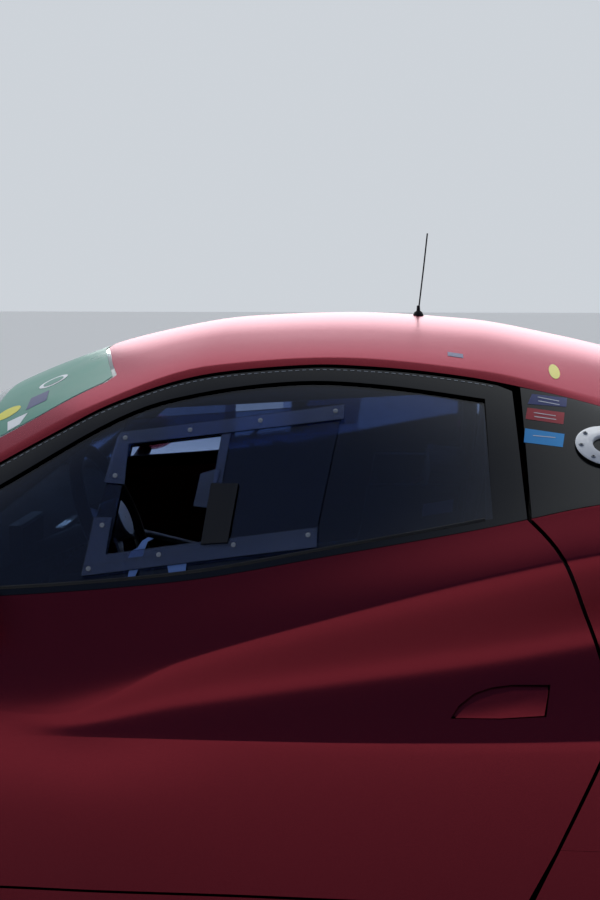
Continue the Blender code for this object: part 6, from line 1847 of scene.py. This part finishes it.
@dataclass
class Wheel:
    """A racing wheel: slick tyre, deep rim with ten spokes, disc with its drilled holes as painted shade,
    centre nut.
    """

    stem: str
    axle: tuple[float, float, float]
    width: float
    bodies: tuple[str, str]
    rim_r: float = 0.241
    spokes: int = 10
    liner_gap: float = 0.058
    liner_y: tuple[float, float] = (0.497, 0.83)

    def centre(self) -> Vector:
        """Middle of the right-hand wheel."""
        return Vector(self.axle)

    def tyre(self) -> bpy.types.Object:
        """Tyre with square shoulders, a raised rib on each wall and two wear grooves."""
        r, w, bead = self.axle[2], self.width / 2, self.rim_r
        wall = [
            (bead, w * 0.86), (bead + 0.006, w * 0.90), (bead + 0.012, w * 0.955), (bead + 0.018, w * 0.965),
            (bead + 0.040, w * 0.995), (bead + 0.044, w), (bead + 0.050, w), (bead + 0.053, w * 0.993),
            (r - 0.030, w * 0.975), (r - 0.018, w * 0.93), (r - 0.008, w * 0.85), (r - 0.002, w * 0.76),
            (r, w * 0.66),
        ]
        grooves = []
        for at in (0.30, -0.30):
            grooves += [
                (r, w * (at + 0.022)), (r - 0.004, w * (at + 0.016)), (r - 0.004, w * (at - 0.016)),
                (r, w * (at - 0.022)),
            ]
        profile = wall + grooves + [(a, -d) for a, d in reversed(wall)]
        return turned("tyre", profile, self.centre(), RUBBER, count=128, angle=28.0)

    def rim(self) -> bpy.types.Object:
        """Barrel with a rolled lip, spokes, hub, nut and disc."""
        centre, bead = self.centre(), self.rim_r
        flange = self.width / 2 * 0.86 - 0.004
        face = flange - 0.030
        barrel = turned("barrel", [
            (bead - TOUCH, -flange), (bead - TOUCH, flange - 0.004), (bead - 0.002, flange),
            (bead - 0.010, flange), (bead - 0.013, flange - 0.004), (bead - 0.018, flange - 0.020),
            (bead - 0.024, flange * 0.35), (bead - 0.016, -flange * 0.6), (bead - 0.014, -flange),
        ], centre, DARK_ALLOY, angle=30.0)
        hub = turned("hub", [
            (0.0285, face - 0.055), (0.0285, face + 0.002), (0.034, face + 0.004), (0.050, face + 0.004),
            (0.056, face), (0.062, face - 0.010), (0.075, face - 0.020), (0.075, face - 0.055),
        ], centre, DARK_ALLOY, count=64)
        nut = turned("nut", [
            (0.012, face - 0.004), (0.012, face + 0.003), (0.016, face + 0.006), (0.0265, face + 0.006),
            (0.028, face + 0.003), (0.028, face - 0.010), (0.012, face - 0.010),
        ], centre, CALIPER, count=6, angle=20.0)
        disc = turned("disc", [
            (0.165, face - 0.074), (0.165, face - 0.066), (0.160, face - 0.064), (0.160, face - 0.058),
            (0.165, face - 0.056), (0.165, face - 0.048), (0.106, face - 0.048), (0.100, face - 0.054),
            (0.066, face - 0.054), (0.066, face - 0.068), (0.106, face - 0.074),
        ], centre, IRON, count=96)
        # The disc is not drilled: a thin dark hexagon on its face at each hole is painted shade.
        holes = []
        for k in range(30):
            for radius, lag in ((0.118, 0.0), (0.133, 0.07), (0.149, 0.14)):
                a = 2 * math.pi * k / 30 + lag
                spot = centre + Vector((math.sin(a) * radius, face - 0.0478, math.cos(a) * radius))
                holes.append((spot, SIDEWAYS, ALONG))
        hole = Repeats(f"disc_holes_{self.stem}", Form.HEXAGON, (0.0060, 0.0060, 0.0006), MATT_BLACK)
        bolts, reach = [], bead - 0.0085
        for k in range(20):
            a = 2 * math.pi * (k + 0.5) / 20
            spot = centre + Vector((math.sin(a) * reach, flange + 0.0004, math.cos(a) * reach))
            bolts.append((spot, SIDEWAYS, Vector((math.cos(a), 0, -math.sin(a)))))
        bolt = Repeats(f"rim_bolts_{self.stem}", Form.HEXAGON, (0.0052, 0.0052, 0.0024), EDGE_LIGHT)
        arms = []
        for i in range(self.spokes):
            a = 2 * math.pi * (i + 0.27) / self.spokes
            out, side = Vector((math.sin(a), 0, math.cos(a))), Vector((math.cos(a), 0, -math.sin(a)))
            rings = []
            for u in (0.0, 0.12, 0.35, 0.62, 0.86, 1.0):
                reach = 0.054 + (bead - 0.008 - 0.054) * u
                half = 0.0125 - 0.0045 * math.sin(math.pi * min(u * 1.15, 1.0)) + 0.004 * u * u
                crown = face - 0.004 + (flange - 0.006 - face + 0.004) * u - 0.010 * math.sin(math.pi * u)
                depth = 0.030 - 0.010 * u
                c = centre + out * reach
                cut = 0.35 * half
                shape = (
                    (half, -depth), (half, -0.006), (half - cut, 0.0), (-half + cut, 0.0), (-half, -0.006),
                    (-half, -depth),
                )
                rings.append([c + side * x + Vector((0, crown + y, 0)) for x, y in shape])
            arms.append(lofted("arm", rings, DARK_ALLOY, 30.0))
        return joined(f"rim_{self.stem}", [barrel, hub, nut, disc, hole.on(holes), bolt.on(bolts)] + arms)

    def caliper(self) -> bpy.types.Object:
        """Brake caliper that straddles the disc, behind the front hub and ahead of the rear one."""
        face = self.width / 2 * 0.86 - 0.034
        shape = (
            (0.112, face - 0.0455), (0.114, face - 0.0385), (0.174, face - 0.0385), (0.183, face - 0.046),
            (0.184, face - 0.095), (0.112, face - 0.095), (0.112, face - 0.0775), (0.169, face - 0.0775),
            (0.169, face - 0.0455),
        )
        lo, hi = (60.0, 122.0) if self.stem == "front" else (-122.0, -60.0)
        rings = []
        for k in range(17):
            a = math.radians(lo + (hi - lo) * k / 16)
            out = Vector((math.sin(a), 0, math.cos(a)))
            ease = 1 - 0.10 * abs(k / 8 - 1) ** 3
            reach = [r if r < 0.15 else 0.15 + (r - 0.15) * ease for r, _ in shape]
            rings.append([self.centre() + out * r + Vector((0, y, 0)) for r, (_, y) in zip(reach, shape)])
        return rounded(lofted(f"caliper_{self.stem}_r", rings, CALIPER, 30.0), 0.002)

    def liner(self) -> bpy.types.Object:
        """Moulded wheel-arch liner: an arch over the tyre and a wall on its inner side."""
        r, wall, foot = self.axle[2] + self.liner_gap, 0.003, 0.20
        lo, hi = self.liner_y
        shape = ((r, hi), (r + wall, hi), (r + wall, lo), (foot, lo), (foot, lo + wall), (r, lo + wall))
        middle = Vector((self.axle[0], 0.0, self.axle[2]))
        rings = []
        for k in range(49):
            a = math.radians(-108 + 216 * k / 48)
            out = Vector((math.sin(a), 0, math.cos(a)))
            rings.append([middle + out * d + Vector((0, y, 0)) for d, y in shape])
        return lofted(f"arch_liner_{self.stem}_r", rings, MATT_BLACK, 30.0)

    def build(self) -> None:
        """Builds the wheel, its caliper, its liner and their twins."""
        place_twins(self.liner(), f"arch_liner_{self.stem}_{{}}")
        holders = ("steer_left", "steer_right") if self.stem == "front" else CHASSIS
        place_twins(self.caliper(), f"caliper_{self.stem}_{{}}", holders)
        for piece, kind, slot in ((self.tyre(), "tyre", "tyre_rubber"), (self.rim(), "rim", "forged_rim")):
            node = f"{kind}_{self.stem}_{{}}"
            place_twins(piece, node + "_wheel", self.bodies, node, slot)


@dataclass
class RunningGear:
    """Suspension arms and springs, engine cover blades, aerial, and finishes of the solids that stay."""

    skin: Skin
    plate_y: float = 0.33

    def arms(self, axle: tuple[float, float, float], pin_y: float, levels: tuple, spread: tuple) -> list:
        """Wishbones, a damper and a spring on both sides."""
        x, _, z = axle
        parts = []
        for side in (1, -1):
            for end_z, root_z in levels:
                for dx in spread:
                    path = [(x + dx, side * 0.322, root_z), (x, side * pin_y, z + end_z)]
                    parts.append(tube("arm", path, 0.0125, STEEL, 16))
            foot = Vector((x + 0.03, side * (pin_y - 0.09), z + levels[0][0] + 0.02))
            head = Vector((x + 0.03, side * 0.36, 0.52))
            parts.append(tube("damper", [foot, foot.lerp(head, 0.55)], 0.021, IRON, 20))
            parts.append(tube("damper_rod", [foot.lerp(head, 0.50), head], 0.008, BRIGHT, 16))
            first, second = frame_of(head - foot)
            coil = []
            for k in range(97):
                a = 2 * math.pi * k / 14
                out = first * math.cos(a) + second * math.sin(a)
                coil.append(foot.lerp(head, 0.30 + 0.62 * k / 96) + out * 0.031)
            parts.append(tube("spring", coil, 0.005, CALIPER, 8))
        return parts

    def front(self) -> None:
        """Front frame with its ball joints, arms, dampers and springs."""
        x, half, z = FRONT_AXLE
        pin_y = half - 0.100
        base = 0.095 + 0.028 + TOUCH
        parts = [block("tray", (x - 0.16, -0.34, base), (x + 0.16, 0.34, base + 0.040), TUB_PAINT)]
        for side in (1, -1):
            lo, hi = sorted((side * 0.312, side * 0.348))
            parts.append(block("plate", (x - 0.13, lo, base + 0.010), (x + 0.13, hi, 0.520), TUB_PAINT))
            for dz in (0.1464, -0.1464):
                parts.append(turned("joint", [(0.001, -0.016), (0.001, 0.016), (0.016, 0.016),
                    (0.020, 0.008), (0.020, -0.008), (0.016, -0.016)],
                                    Vector((x, side * pin_y, z + dz)), STEEL, Vector((0, 0, 1)), 24))
        parts += self.arms(FRONT_AXLE, pin_y, ((-0.1464, 0.150), (0.1464, 0.490)), (-0.125, 0.105))
        place(joined("front_axle_frame", parts), "chassis", ("front_suspension",), "painted_steel")

    def louvres(self) -> None:
        """Slanted blades below the slots of the engine cover."""
        blades = []
        for slot in LOUVRES:
            lo, hi = slot[0][0] - 0.004, slot[1][0] + 0.004
            rings = []
            for y in (-0.30, -0.25, -0.20, -0.15, -0.10, -0.05, -0.001, 0.05, 0.10, 0.15, 0.20, 0.25, 0.30):
                (a, up), (b, _) = self.skin.spots([(lo, abs(y)), (hi, abs(y))], View.PLAN)
                a, b = Vector((a.x, y, a.z)) - up * 0.0185, Vector((b.x, y, b.z)) - up * 0.038
                rings.append([a, b, b - up * 0.002, a - up * 0.002])
            blades.append(lofted("blade", rings, MATT_BLACK, 30.0))
        place(joined("engine_cover_blades", blades), "engine_lid")

    def aerial(self) -> None:
        """Short whip aerial on a rubber foot."""
        lo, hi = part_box("aerial")
        foot = Vector((lo[0] + 0.012, 0.0, lo[2]))
        stub = turned("foot", [
            (0.001, 0.0), (0.0122, 0.0), (0.0122, 0.004), (0.0095, 0.010), (0.0045, 0.014), (0.0035, 0.026),
            (0.001, 0.026),
        ], foot, SEAL, Vector((0.0, 0.0, 1.0)), 32)
        tip = Vector((hi[0] - 0.003, 0.0, hi[2]))
        mast = tube("mast", [foot + Vector((0.001, 0, 0.020)), foot.lerp(tip, 0.6), tip], 0.0017, SEAL, 12)
        place(joined("aerial_whip", [stub, mast]), "chassis", ("aerial",), "black_plastic")

    def build(self) -> None:
        """Builds the front frame and gives the solids that stay their finish."""
        self.front()
        self.louvres()
        self.aerial()
        for names, finish in (
            (("tub",), TUB_PAINT), (("engine", "knuckle_l", "knuckle_r"), CAST_ALLOY),
            (("rear_suspension",), STEEL),
        ):
            for name in names:
                node = bpy.data.objects.get(name)
                if node:
                    node.data.materials.clear()
                    node.data.materials.append(finish.material())


@dataclass
class Cabin:
    """Dashboard, steering wheel, seat with pads and belts, roll cage."""

    driver_y: float = -0.370
    wheel_at: tuple[float, float, float] = (-0.110, -0.370, 0.770)
    wheel_tilt: float = 0.420
    seat_x: float = 0.265
    floor_z: float = 0.1234
    cage_r: float = 0.020
    cage_x: float = 0.690

    def dashboard(self) -> None:
        """Flocked dash with a hood, a screen, switches and the steering column."""
        front = DOOR_FRONT_X - 0.050 + TOUCH
        profile = [
            (front, 0.50), (front, 0.70), (-0.640, 0.722), (-0.56, 0.744), (-0.48, 0.745), (-0.40, 0.736),
            (-0.335, 0.716),
            (-0.306, 0.694), (-0.305, 0.672), (-0.32, 0.60), (-0.36, 0.555), (-0.42, 0.52),
        ]
        parts = [slab("dash", profile, "Y", -0.615, 0.615, DASH_CLOTH, 0.006)]
        axis = Vector((-1.0, 0, -self.wheel_tilt)).normalized()
        top = Vector(self.wheel_at) + axis * 0.060
        parts.append(tube("column", [top + axis * 0.210, top], 0.0218, MATT_BLACK, 32))
        lo, hi = (-0.312, -0.455, 0.690), (-0.285, -0.285, 0.775)
        parts.append(block("display_body", lo, hi, MATT_BLACK, 0.006))
        parts.append(block("display", (-0.286, -0.445, 0.698), (-0.2835, -0.295, 0.767), GLOSS_BLACK, 0.001))
        parts.append(block("switch_plate", (-0.330, -0.10, 0.600), (-0.296, 0.10, 0.700), CARBON, 0.004))
        knobs = [
            (Vector((-0.2945, y, z)), ALONG, SIDEWAYS)
            for z in (0.625, 0.655, 0.682) for y in (-0.07, -0.035, 0.0, 0.035, 0.07)
        ]
        parts.append(Repeats("dash_switches", Form.HEXAGON, (0.014, 0.014, 0.012), SEAL).on(knobs))
        place(joined("dash_assembly", parts), "chassis", ("dashboard",), "black_plastic")

    def steering(self) -> None:
        """Suede rim, three spokes, a hub with plain buttons and a quick release."""
        ring = [(0.165 + 0.0145 * math.cos(a), 0.0145 * math.sin(a)) for a in turns(16)]
        home = Vector((0, 0, 0))
        parts = [turned("rim", ring, home, SUEDE, count=96, angle=60.0)]
        parts.append(turned("release", [
            (0.002, -0.030), (0.040, -0.030), (0.045, -0.026), (0.045, 0.010), (0.038, 0.016),
            (0.024, 0.020), (0.022, 0.0594), (0.002, 0.0594),
        ], home, EDGE_LIGHT, count=48))
        for a in (0.0, math.pi, 1.5 * math.pi):
            out, side = Vector((math.cos(a), 0, math.sin(a))), Vector((-math.sin(a), 0, math.cos(a)))
            rings = []
            for u in (0.0, 0.3, 0.7, 1.0):
                half = 0.020 - 0.012 * math.sin(math.pi * min(u, 0.5)) + 0.002 * u
                c = out * (0.036 + 0.122 * u) + Vector((0, 0.006 * u, 0))
                wide, deep = side * half, SIDEWAYS * 0.003
                rings.append([c + wide + deep, c - wide + deep, c - wide - deep, c + wide - deep])
            parts.append(lofted("spoke", rings, EDGE_LIGHT, 30.0))
        keys = [(Vector((0.062 * s, -0.001, z)), -SIDEWAYS, ALONG) for s in (-1, 1) for z in (0.012, -0.012)]
        parts.append(Repeats("wheel_buttons", Form.DOME, (0.012, 0.012, 0.008), RED_FILM).on(keys))
        wheel = joined("steering_wheel_piece", parts)
        axis = Vector((-1.0, 0, -self.wheel_tilt)).normalized()
        turn = Vector((0, 1, 0)).rotation_difference(axis).to_matrix().to_4x4()
        moved(wheel, Matrix.Translation(Vector(self.wheel_at)) @ turn)
        place(wheel, "steering", ("steering_wheel",), "black_plastic")

    def cage(self) -> None:
        """Smooth welded tubes with a plate under each foot."""
        base, thin, hoop = self.floor_z, self.cage_r * 0.85, self.cage_x
        y_foot, y_belt, y_roof, z_roof = 0.62, 0.70, 0.46, 1.085
        y_hoop = y_foot + (y_belt - y_foot) * 0.62
        bars = [
            ([(hoop, -y_foot, base), (hoop, -y_belt, 0.72), (hoop, -y_roof, z_roof), (hoop, y_roof, z_roof),
                (hoop, y_belt, 0.72), (hoop, y_foot, base)], self.cage_r),
            ([(-0.05, -y_roof, 1.040), (-0.05, y_roof, 1.040)], self.cage_r * 0.94),
            ([(hoop, -y_roof, z_roof), (hoop, y_hoop, 0.50)], thin),
        ]
        for side in (1, -1):
            bars += [
                ([(-0.55, side * y_foot, base), (-0.52, side * y_belt, 0.660), (-0.05, side * y_roof, 1.040),
                    (hoop, side * y_roof, z_roof)], self.cage_r * 0.95),
                ([(-0.54, side * 0.65, 0.38), (hoop, side * 0.67, 0.55)], thin),
                ([(-0.53, side * 0.69, 0.58), (hoop, side * 0.64, 0.32)], thin * 0.96),
            ]
        parts = [tube("bar", eased(path, 0.045), radius, CAGE_PAINT, 18) for path, radius in bars]
        for x in (hoop, -0.55):
            for side in (1, -1):
                lo = (x - 0.05, side * y_foot - 0.045, base)
                hi = (x + 0.05, side * y_foot + 0.045, base + 0.004)
                parts.append(block("foot", lo, hi, CAGE_PAINT, 0.001))
        place(joined("cage_tubes", parts), "chassis", ("roll_cage",), "painted_steel")

    def seat(self) -> None:
        """Bucket shell with wings, foam pads, a blank label and four belts."""
        sx, y, base = self.seat_x, self.driver_y, self.floor_z
        shell = smooth([(sx - 0.30, 0.300), (sx - 0.10, 0.262), (sx + 0.12, 0.245), (sx + 0.19, 0.42),
            (sx + 0.245, 0.66), (sx + 0.30, 0.92)], 4)
        back = [(sx + 0.375, 0.915), (sx + 0.33, 0.60), (sx + 0.24, base), (sx - 0.27, base),
            (sx - 0.30, 0.18)]
        parts = [slab("shell", shell + back, "Y", y - 0.195, y + 0.195, MATT_BLACK, 0.006)]
        wing = smooth([(sx - 0.26, 0.36), (sx - 0.10, 0.435), (sx + 0.02, 0.455), (sx + 0.11, 0.60),
            (sx + 0.155, 0.75), (sx + 0.18, 0.895)], 4)
        wing += [(sx + 0.36, 0.895), (sx + 0.30, 0.50), (sx + 0.215, base + 0.02), (sx - 0.26, base + 0.02)]
        for side in (1, -1):
            lo, hi = sorted((y + side * 0.196, y + side * 0.233))
            parts.append(slab("wing", wing, "Y", lo, hi, MATT_BLACK, 0.008))
        label = [(sx + 0.285, 0.836), (sx + 0.343, 0.846), (sx + 0.345, 0.870), (sx + 0.287, 0.860)]
        parts.append(slab("label", label, "Y", y - 0.2338, y - 0.2328, WHITE_FILM))
        place(joined("seat_shell", parts), "chassis", ("driver_seat",), "seat_cloth")
        for name, path, width in (
            ("cushion", [(sx - 0.26, 0.318), (sx - 0.08, 0.286), (sx + 0.09, 0.272)], 0.33),
            ("back_low", [(sx + 0.135, 0.33), (sx + 0.175, 0.45), (sx + 0.205, 0.56)], 0.33),
            ("back_high", [(sx + 0.215, 0.585), (sx + 0.238, 0.69), (sx + 0.262, 0.80)], 0.30),
        ):
            place(pad("seat_pad_" + name, path, y, width), "chassis")
        belts = []
        for side in (1, -1):
            belts.append(strap([
                (sx + 0.34, y + side * 0.06, 0.86), (sx + 0.262, y + side * 0.07, 0.845),
                (sx + 0.205, y + side * 0.08, 0.66), (sx + 0.150, y + side * 0.07, 0.46),
                (sx + 0.085, y + side * 0.035, 0.345),
            ], 0.050))
            belts.append(strap([
                (sx + 0.03, y + side * 0.190, 0.400), (sx + 0.05, y + side * 0.13, 0.345),
                (sx + 0.07, y + side * 0.04, 0.338),
            ], 0.048))
        belts.append(turned("buckle", [
            (0.002, -0.008), (0.030, -0.008), (0.033, -0.004), (0.033, 0.005), (0.028, 0.009), (0.002, 0.009),
        ], Vector((sx + 0.072, y, 0.345)), EDGE_LIGHT, Vector((-0.5, 0, 1)), 40))
        place(joined("harness", belts), "chassis")

    def build(self) -> None:
        """Builds the cabin."""
        self.dashboard()
        self.steering()
        self.cage()
        self.seat()


def eased(path: list, radius: float) -> list:
    """A path whose corners are turned into short curves."""
    spots = [Vector(p) for p in path]
    out = [spots[0]]
    for before, corner, after in zip(spots, spots[1:], spots[2:]):
        a = corner + (before - corner).normalized() * min(radius, (before - corner).length / 3)
        b = corner + (after - corner).normalized() * min(radius, (after - corner).length / 3)
        for k in range(7):
            u = k / 6
            out.append(a * (1 - u) ** 2 + corner * 2 * u * (1 - u) + b * u * u)
    return out + [spots[-1]]


def strap(path: list, width: float) -> bpy.types.Object:
    """Flat webbing along a path, its width across the car."""
    spots = [Vector(p) for p in smooth(path, 6)]
    rings = []
    for i, spot in enumerate(spots):
        aim = (spots[min(i + 1, len(spots) - 1)] - spots[max(i - 1, 0)]).normalized()
        across = (Vector((0, 1, 0)) - aim * aim.y).normalized() * width / 2
        up = aim.cross(across).normalized() * 0.0012
        rings.append([spot + across + up, spot - across + up, spot - across - up, spot + across - up])
    return lofted("strap", rings, WEBBING, 50.0)


def pad(name: str, path: list, y: float, width: float) -> bpy.types.Object:
    """A foam pad that swells between two sewn channels, puffed by the cloth simulation.

    Args:
        name: Name of the object.
        path: Side view line (x, z) along the shell that it lies on.
        y: Its middle across the car.
        width: How wide it is.

    Returns:
        The finished pad.
    """
    line = smooth(path, 8)
    rows, columns = len(line), 25
    top, low = [], []
    for i, (x, z) in enumerate(line):
        a, b = line[max(i - 1, 0)], line[min(i + 1, rows - 1)]
        way = Vector((b[0] - a[0], 0, b[1] - a[1])).normalized()
        up = Vector((-way.z, 0, way.x))
        along = i / (rows - 1)
        for j in range(columns):
            v = 2 * j / (columns - 1) - 1
            edge = (1 - abs(v) ** 6) * (1 - abs(2 * along - 1) ** 8)
            channel = 0.35 * math.exp(-((abs(v) - 0.42) / 0.035) ** 2)
            rise = 0.020 * edge ** 0.5 * (1 - channel) + 0.012 * v * v * edge ** 0.5
            pull = 1 - 0.03 * (1 - abs(2 * along - 1)) * abs(v)
            spot = Vector((x, y + v * width / 2 * pull, z))
            top.append(spot + up * (0.004 + rise))
            low.append(spot + up * 0.001)
    n = rows * columns
    faces = []
    for i in range(rows - 1):
        for j in range(columns - 1):
            a = i * columns + j
            faces += [(a, a + 1, a + columns + 1, a + columns),
                (n + a, n + a + columns, n + a + columns + 1, n + a + 1)]
    rim = [j for j in range(columns)] + [i * columns + columns - 1 for i in range(1, rows)]
    rim += [(rows - 1) * columns + j for j in range(columns - 2, -1,
        -1)] + [i * columns for i in range(rows - 2, 0, -1)]
    faces += [(a, n + a, n + b, b) for a, b in zip(rim, rim[1:] + rim[:1])]
    made = solid(name, top + low, faces, SEAT_CLOTH, 70.0)
    puff(made)
    return made


def puff(piece: bpy.types.Object) -> None:
    """Swells a pad a little with a short cloth simulation and keeps the result on its mesh."""
    start = [v.co.copy() for v in piece.data.vertices]
    cloth = piece.modifiers.new("swell", "CLOTH")
    cloth.settings.use_pressure = True
    cloth.settings.uniform_pressure_force = 2.0
    cloth.settings.effector_weights.gravity = 0.0
    cloth.settings.tension_stiffness = 60.0
    scene = bpy.context.scene
    for frame in range(1, 13):
        scene.frame_set(frame)
    graph = bpy.context.evaluated_depsgraph_get()
    moved_to = [v.co.copy() for v in piece.evaluated_get(graph).data.vertices]
    piece.modifiers.remove(cloth)
    scene.frame_set(1)
    for vertex, a, b in zip(piece.data.vertices, start, moved_to):
        shift = b - a
        vertex.co = a + shift * min(1.0, 0.006 / max(shift.length, 1e-6))


@dataclass
class Studio:
    """Floor, lamps, world and the camera at the photograph's place."""

    camera_at: tuple[float, float, float] = (0.527, -3.03, 1.30)
    yaw_deg: float = 5.0
    pitch_deg: float = 7.87
    lens_mm: float = 51.2
    floor_half: float = 40.0
    floor_lift: float = 0.25
    near_sky: str = "#586688"
    far_sky: str = "#e3e9f0"
    sky_strength: float = 0.80

    def camera(self) -> None:
        """Puts the camera at the photograph's place, looking slightly down and to the nose."""
        data = bpy.data.cameras.new("photo_camera")
        data.lens = self.lens_mm
        data.sensor_width = 36.0
        data.clip_start, data.clip_end = 0.05, 100.0
        made = linked("photo_camera", data)
        made.location = self.camera_at
        made.rotation_euler = (math.radians(90 - self.pitch_deg), 0.0, math.radians(self.yaw_deg))
        bpy.context.scene.camera = made

    def floor(self) -> None:
        """A plain pale floor."""
        h = self.floor_half
        mesh = bpy.data.meshes.new("floor")
        mesh.from_pydata([(-h, -h, 0), (h, -h, 0), (h, h, 0), (-h, h, 0)], [], [(0, 1, 2, 3)])
        paint = Finish("pale_floor", "#e0dcd4", 0.8, variation=0.01)
        mesh.materials.append(paint.material())
        tree = mesh.materials[0].node_tree
        path = add_node(tree, "ShaderNodeLightPath")
        mirrored = add_node(tree, "ShaderNodeMath", {
            0: path.outputs["Is Glossy Ray"], 1: path.outputs["Is Transmission Ray"],
        }, operation="MAXIMUM")
        seen = add_node(tree, "ShaderNodeMath", {
            0: path.outputs["Is Camera Ray"], 1: mirrored.outputs["Value"],
        }, operation="MAXIMUM")
        lift = add_node(tree, "ShaderNodeMath", {0: seen.outputs["Value"], 1: self.floor_lift},
            operation="MULTIPLY")
        shader = tree.nodes["Principled BSDF"]
        shader.inputs["Emission Color"].default_value = linear(self.far_sky)
        tree.links.new(lift.outputs["Value"], shader.inputs["Emission Strength"])
        linked("floor", mesh)

    def lamps(self) -> None:
        """Soft box lights: two above, one on the far side and one ahead of the nose."""
        boxes = (
            ("sky_box", (0.0, 4.6, 5.2), (0.0, 0.2, 0.8), (8.0, 3.0), 70.0),
            ("high_box", (0.0, 3.4, 5.6), (0.0, 0.0, 0.4), (4.0, 2.0), 225.0),
            ("far_box", (1.0, 6.5, 2.4), (0.0, 0.0, 0.9), (7.0, 2.2), 120.0),
            ("nose_box", (-8.0, 0.5, 3.6), (-2.6, 0.0, 0.0), (2.0, 4.0), 40.0),
        )
        for name, at, aim, size, power in boxes:
            data = bpy.data.lights.new(name, "AREA")
            data.shape, data.size, data.size_y, data.energy = "RECTANGLE", size[0], size[1], power
            made = linked(name, data)
            made.location = at
            made.rotation_euler = (Vector(at) - Vector(aim)).to_track_quat("Z", "Y").to_euler()
            made.visible_glossy = name != "high_box"

    def world(self) -> None:
        """A pale surround on the far side that deepens to blue grey on the near side, as the sky did."""
        made = bpy.data.worlds.new("surround")
        bpy.context.scene.world = made
        made.use_nodes = True
        tree = made.node_tree
        shade = tree.nodes["Background"]
        way = add_node(tree, "ShaderNodeTexCoord").outputs["Generated"]
        parts = add_node(tree, "ShaderNodeSeparateXYZ", {"Vector": way})
        side = add_node(tree, "ShaderNodeMapRange", {
            "Value": parts.outputs["Y"], "From Min": -0.45, "From Max": 0.35, "To Min": 0.0, "To Max": 1.0,
        }, interpolation_type="SMOOTHSTEP")
        colour = add_node(tree, "ShaderNodeMix", {"Factor": side.outputs["Result"]}, data_type="RGBA")
        colour.inputs["A"].default_value = linear(self.near_sky)
        colour.inputs["B"].default_value = linear(self.far_sky)
        tree.links.new(colour.outputs["Result"], shade.inputs["Color"])
        shade.inputs["Strength"].default_value = self.sky_strength

    def build(self) -> None:
        """Sets the whole stage."""
        bpy.context.scene.view_settings.view_transform = "Standard"
        self.camera()
        self.floor()
        self.lamps()
        self.world()


def main() -> None:
    """Builds the car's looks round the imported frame."""
    logging.basicConfig(level=logging.INFO, format="%(name)s: %(message)s")
    for old in list(bpy.data.objects):
        bpy.data.objects.remove(old, do_unlink=True)
    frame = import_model()
    Studio().build()
    skin = Skin()
    outlines = Outlines(skin)
    BodyShell(skin, outlines).build()
    Glasshouse(skin, outlines).build()
    WindowDetails(skin, outlines).build()
    SideDetails(skin, outlines).build()
    Ends(skin, outlines).build()
    for stem, axle, width in (("front", FRONT_AXLE, 0.255), ("rear", REAR_AXLE, 0.305)):
        Wheel(stem, axle, width, (f"wheel_{stem}_left", f"wheel_{stem}_right")).build()
    RunningGear(skin).build()
    Cabin().build()
    LOG.info("%d solids in the frame", len(frame["nodes"]))


if __name__ == "__main__":
    main()
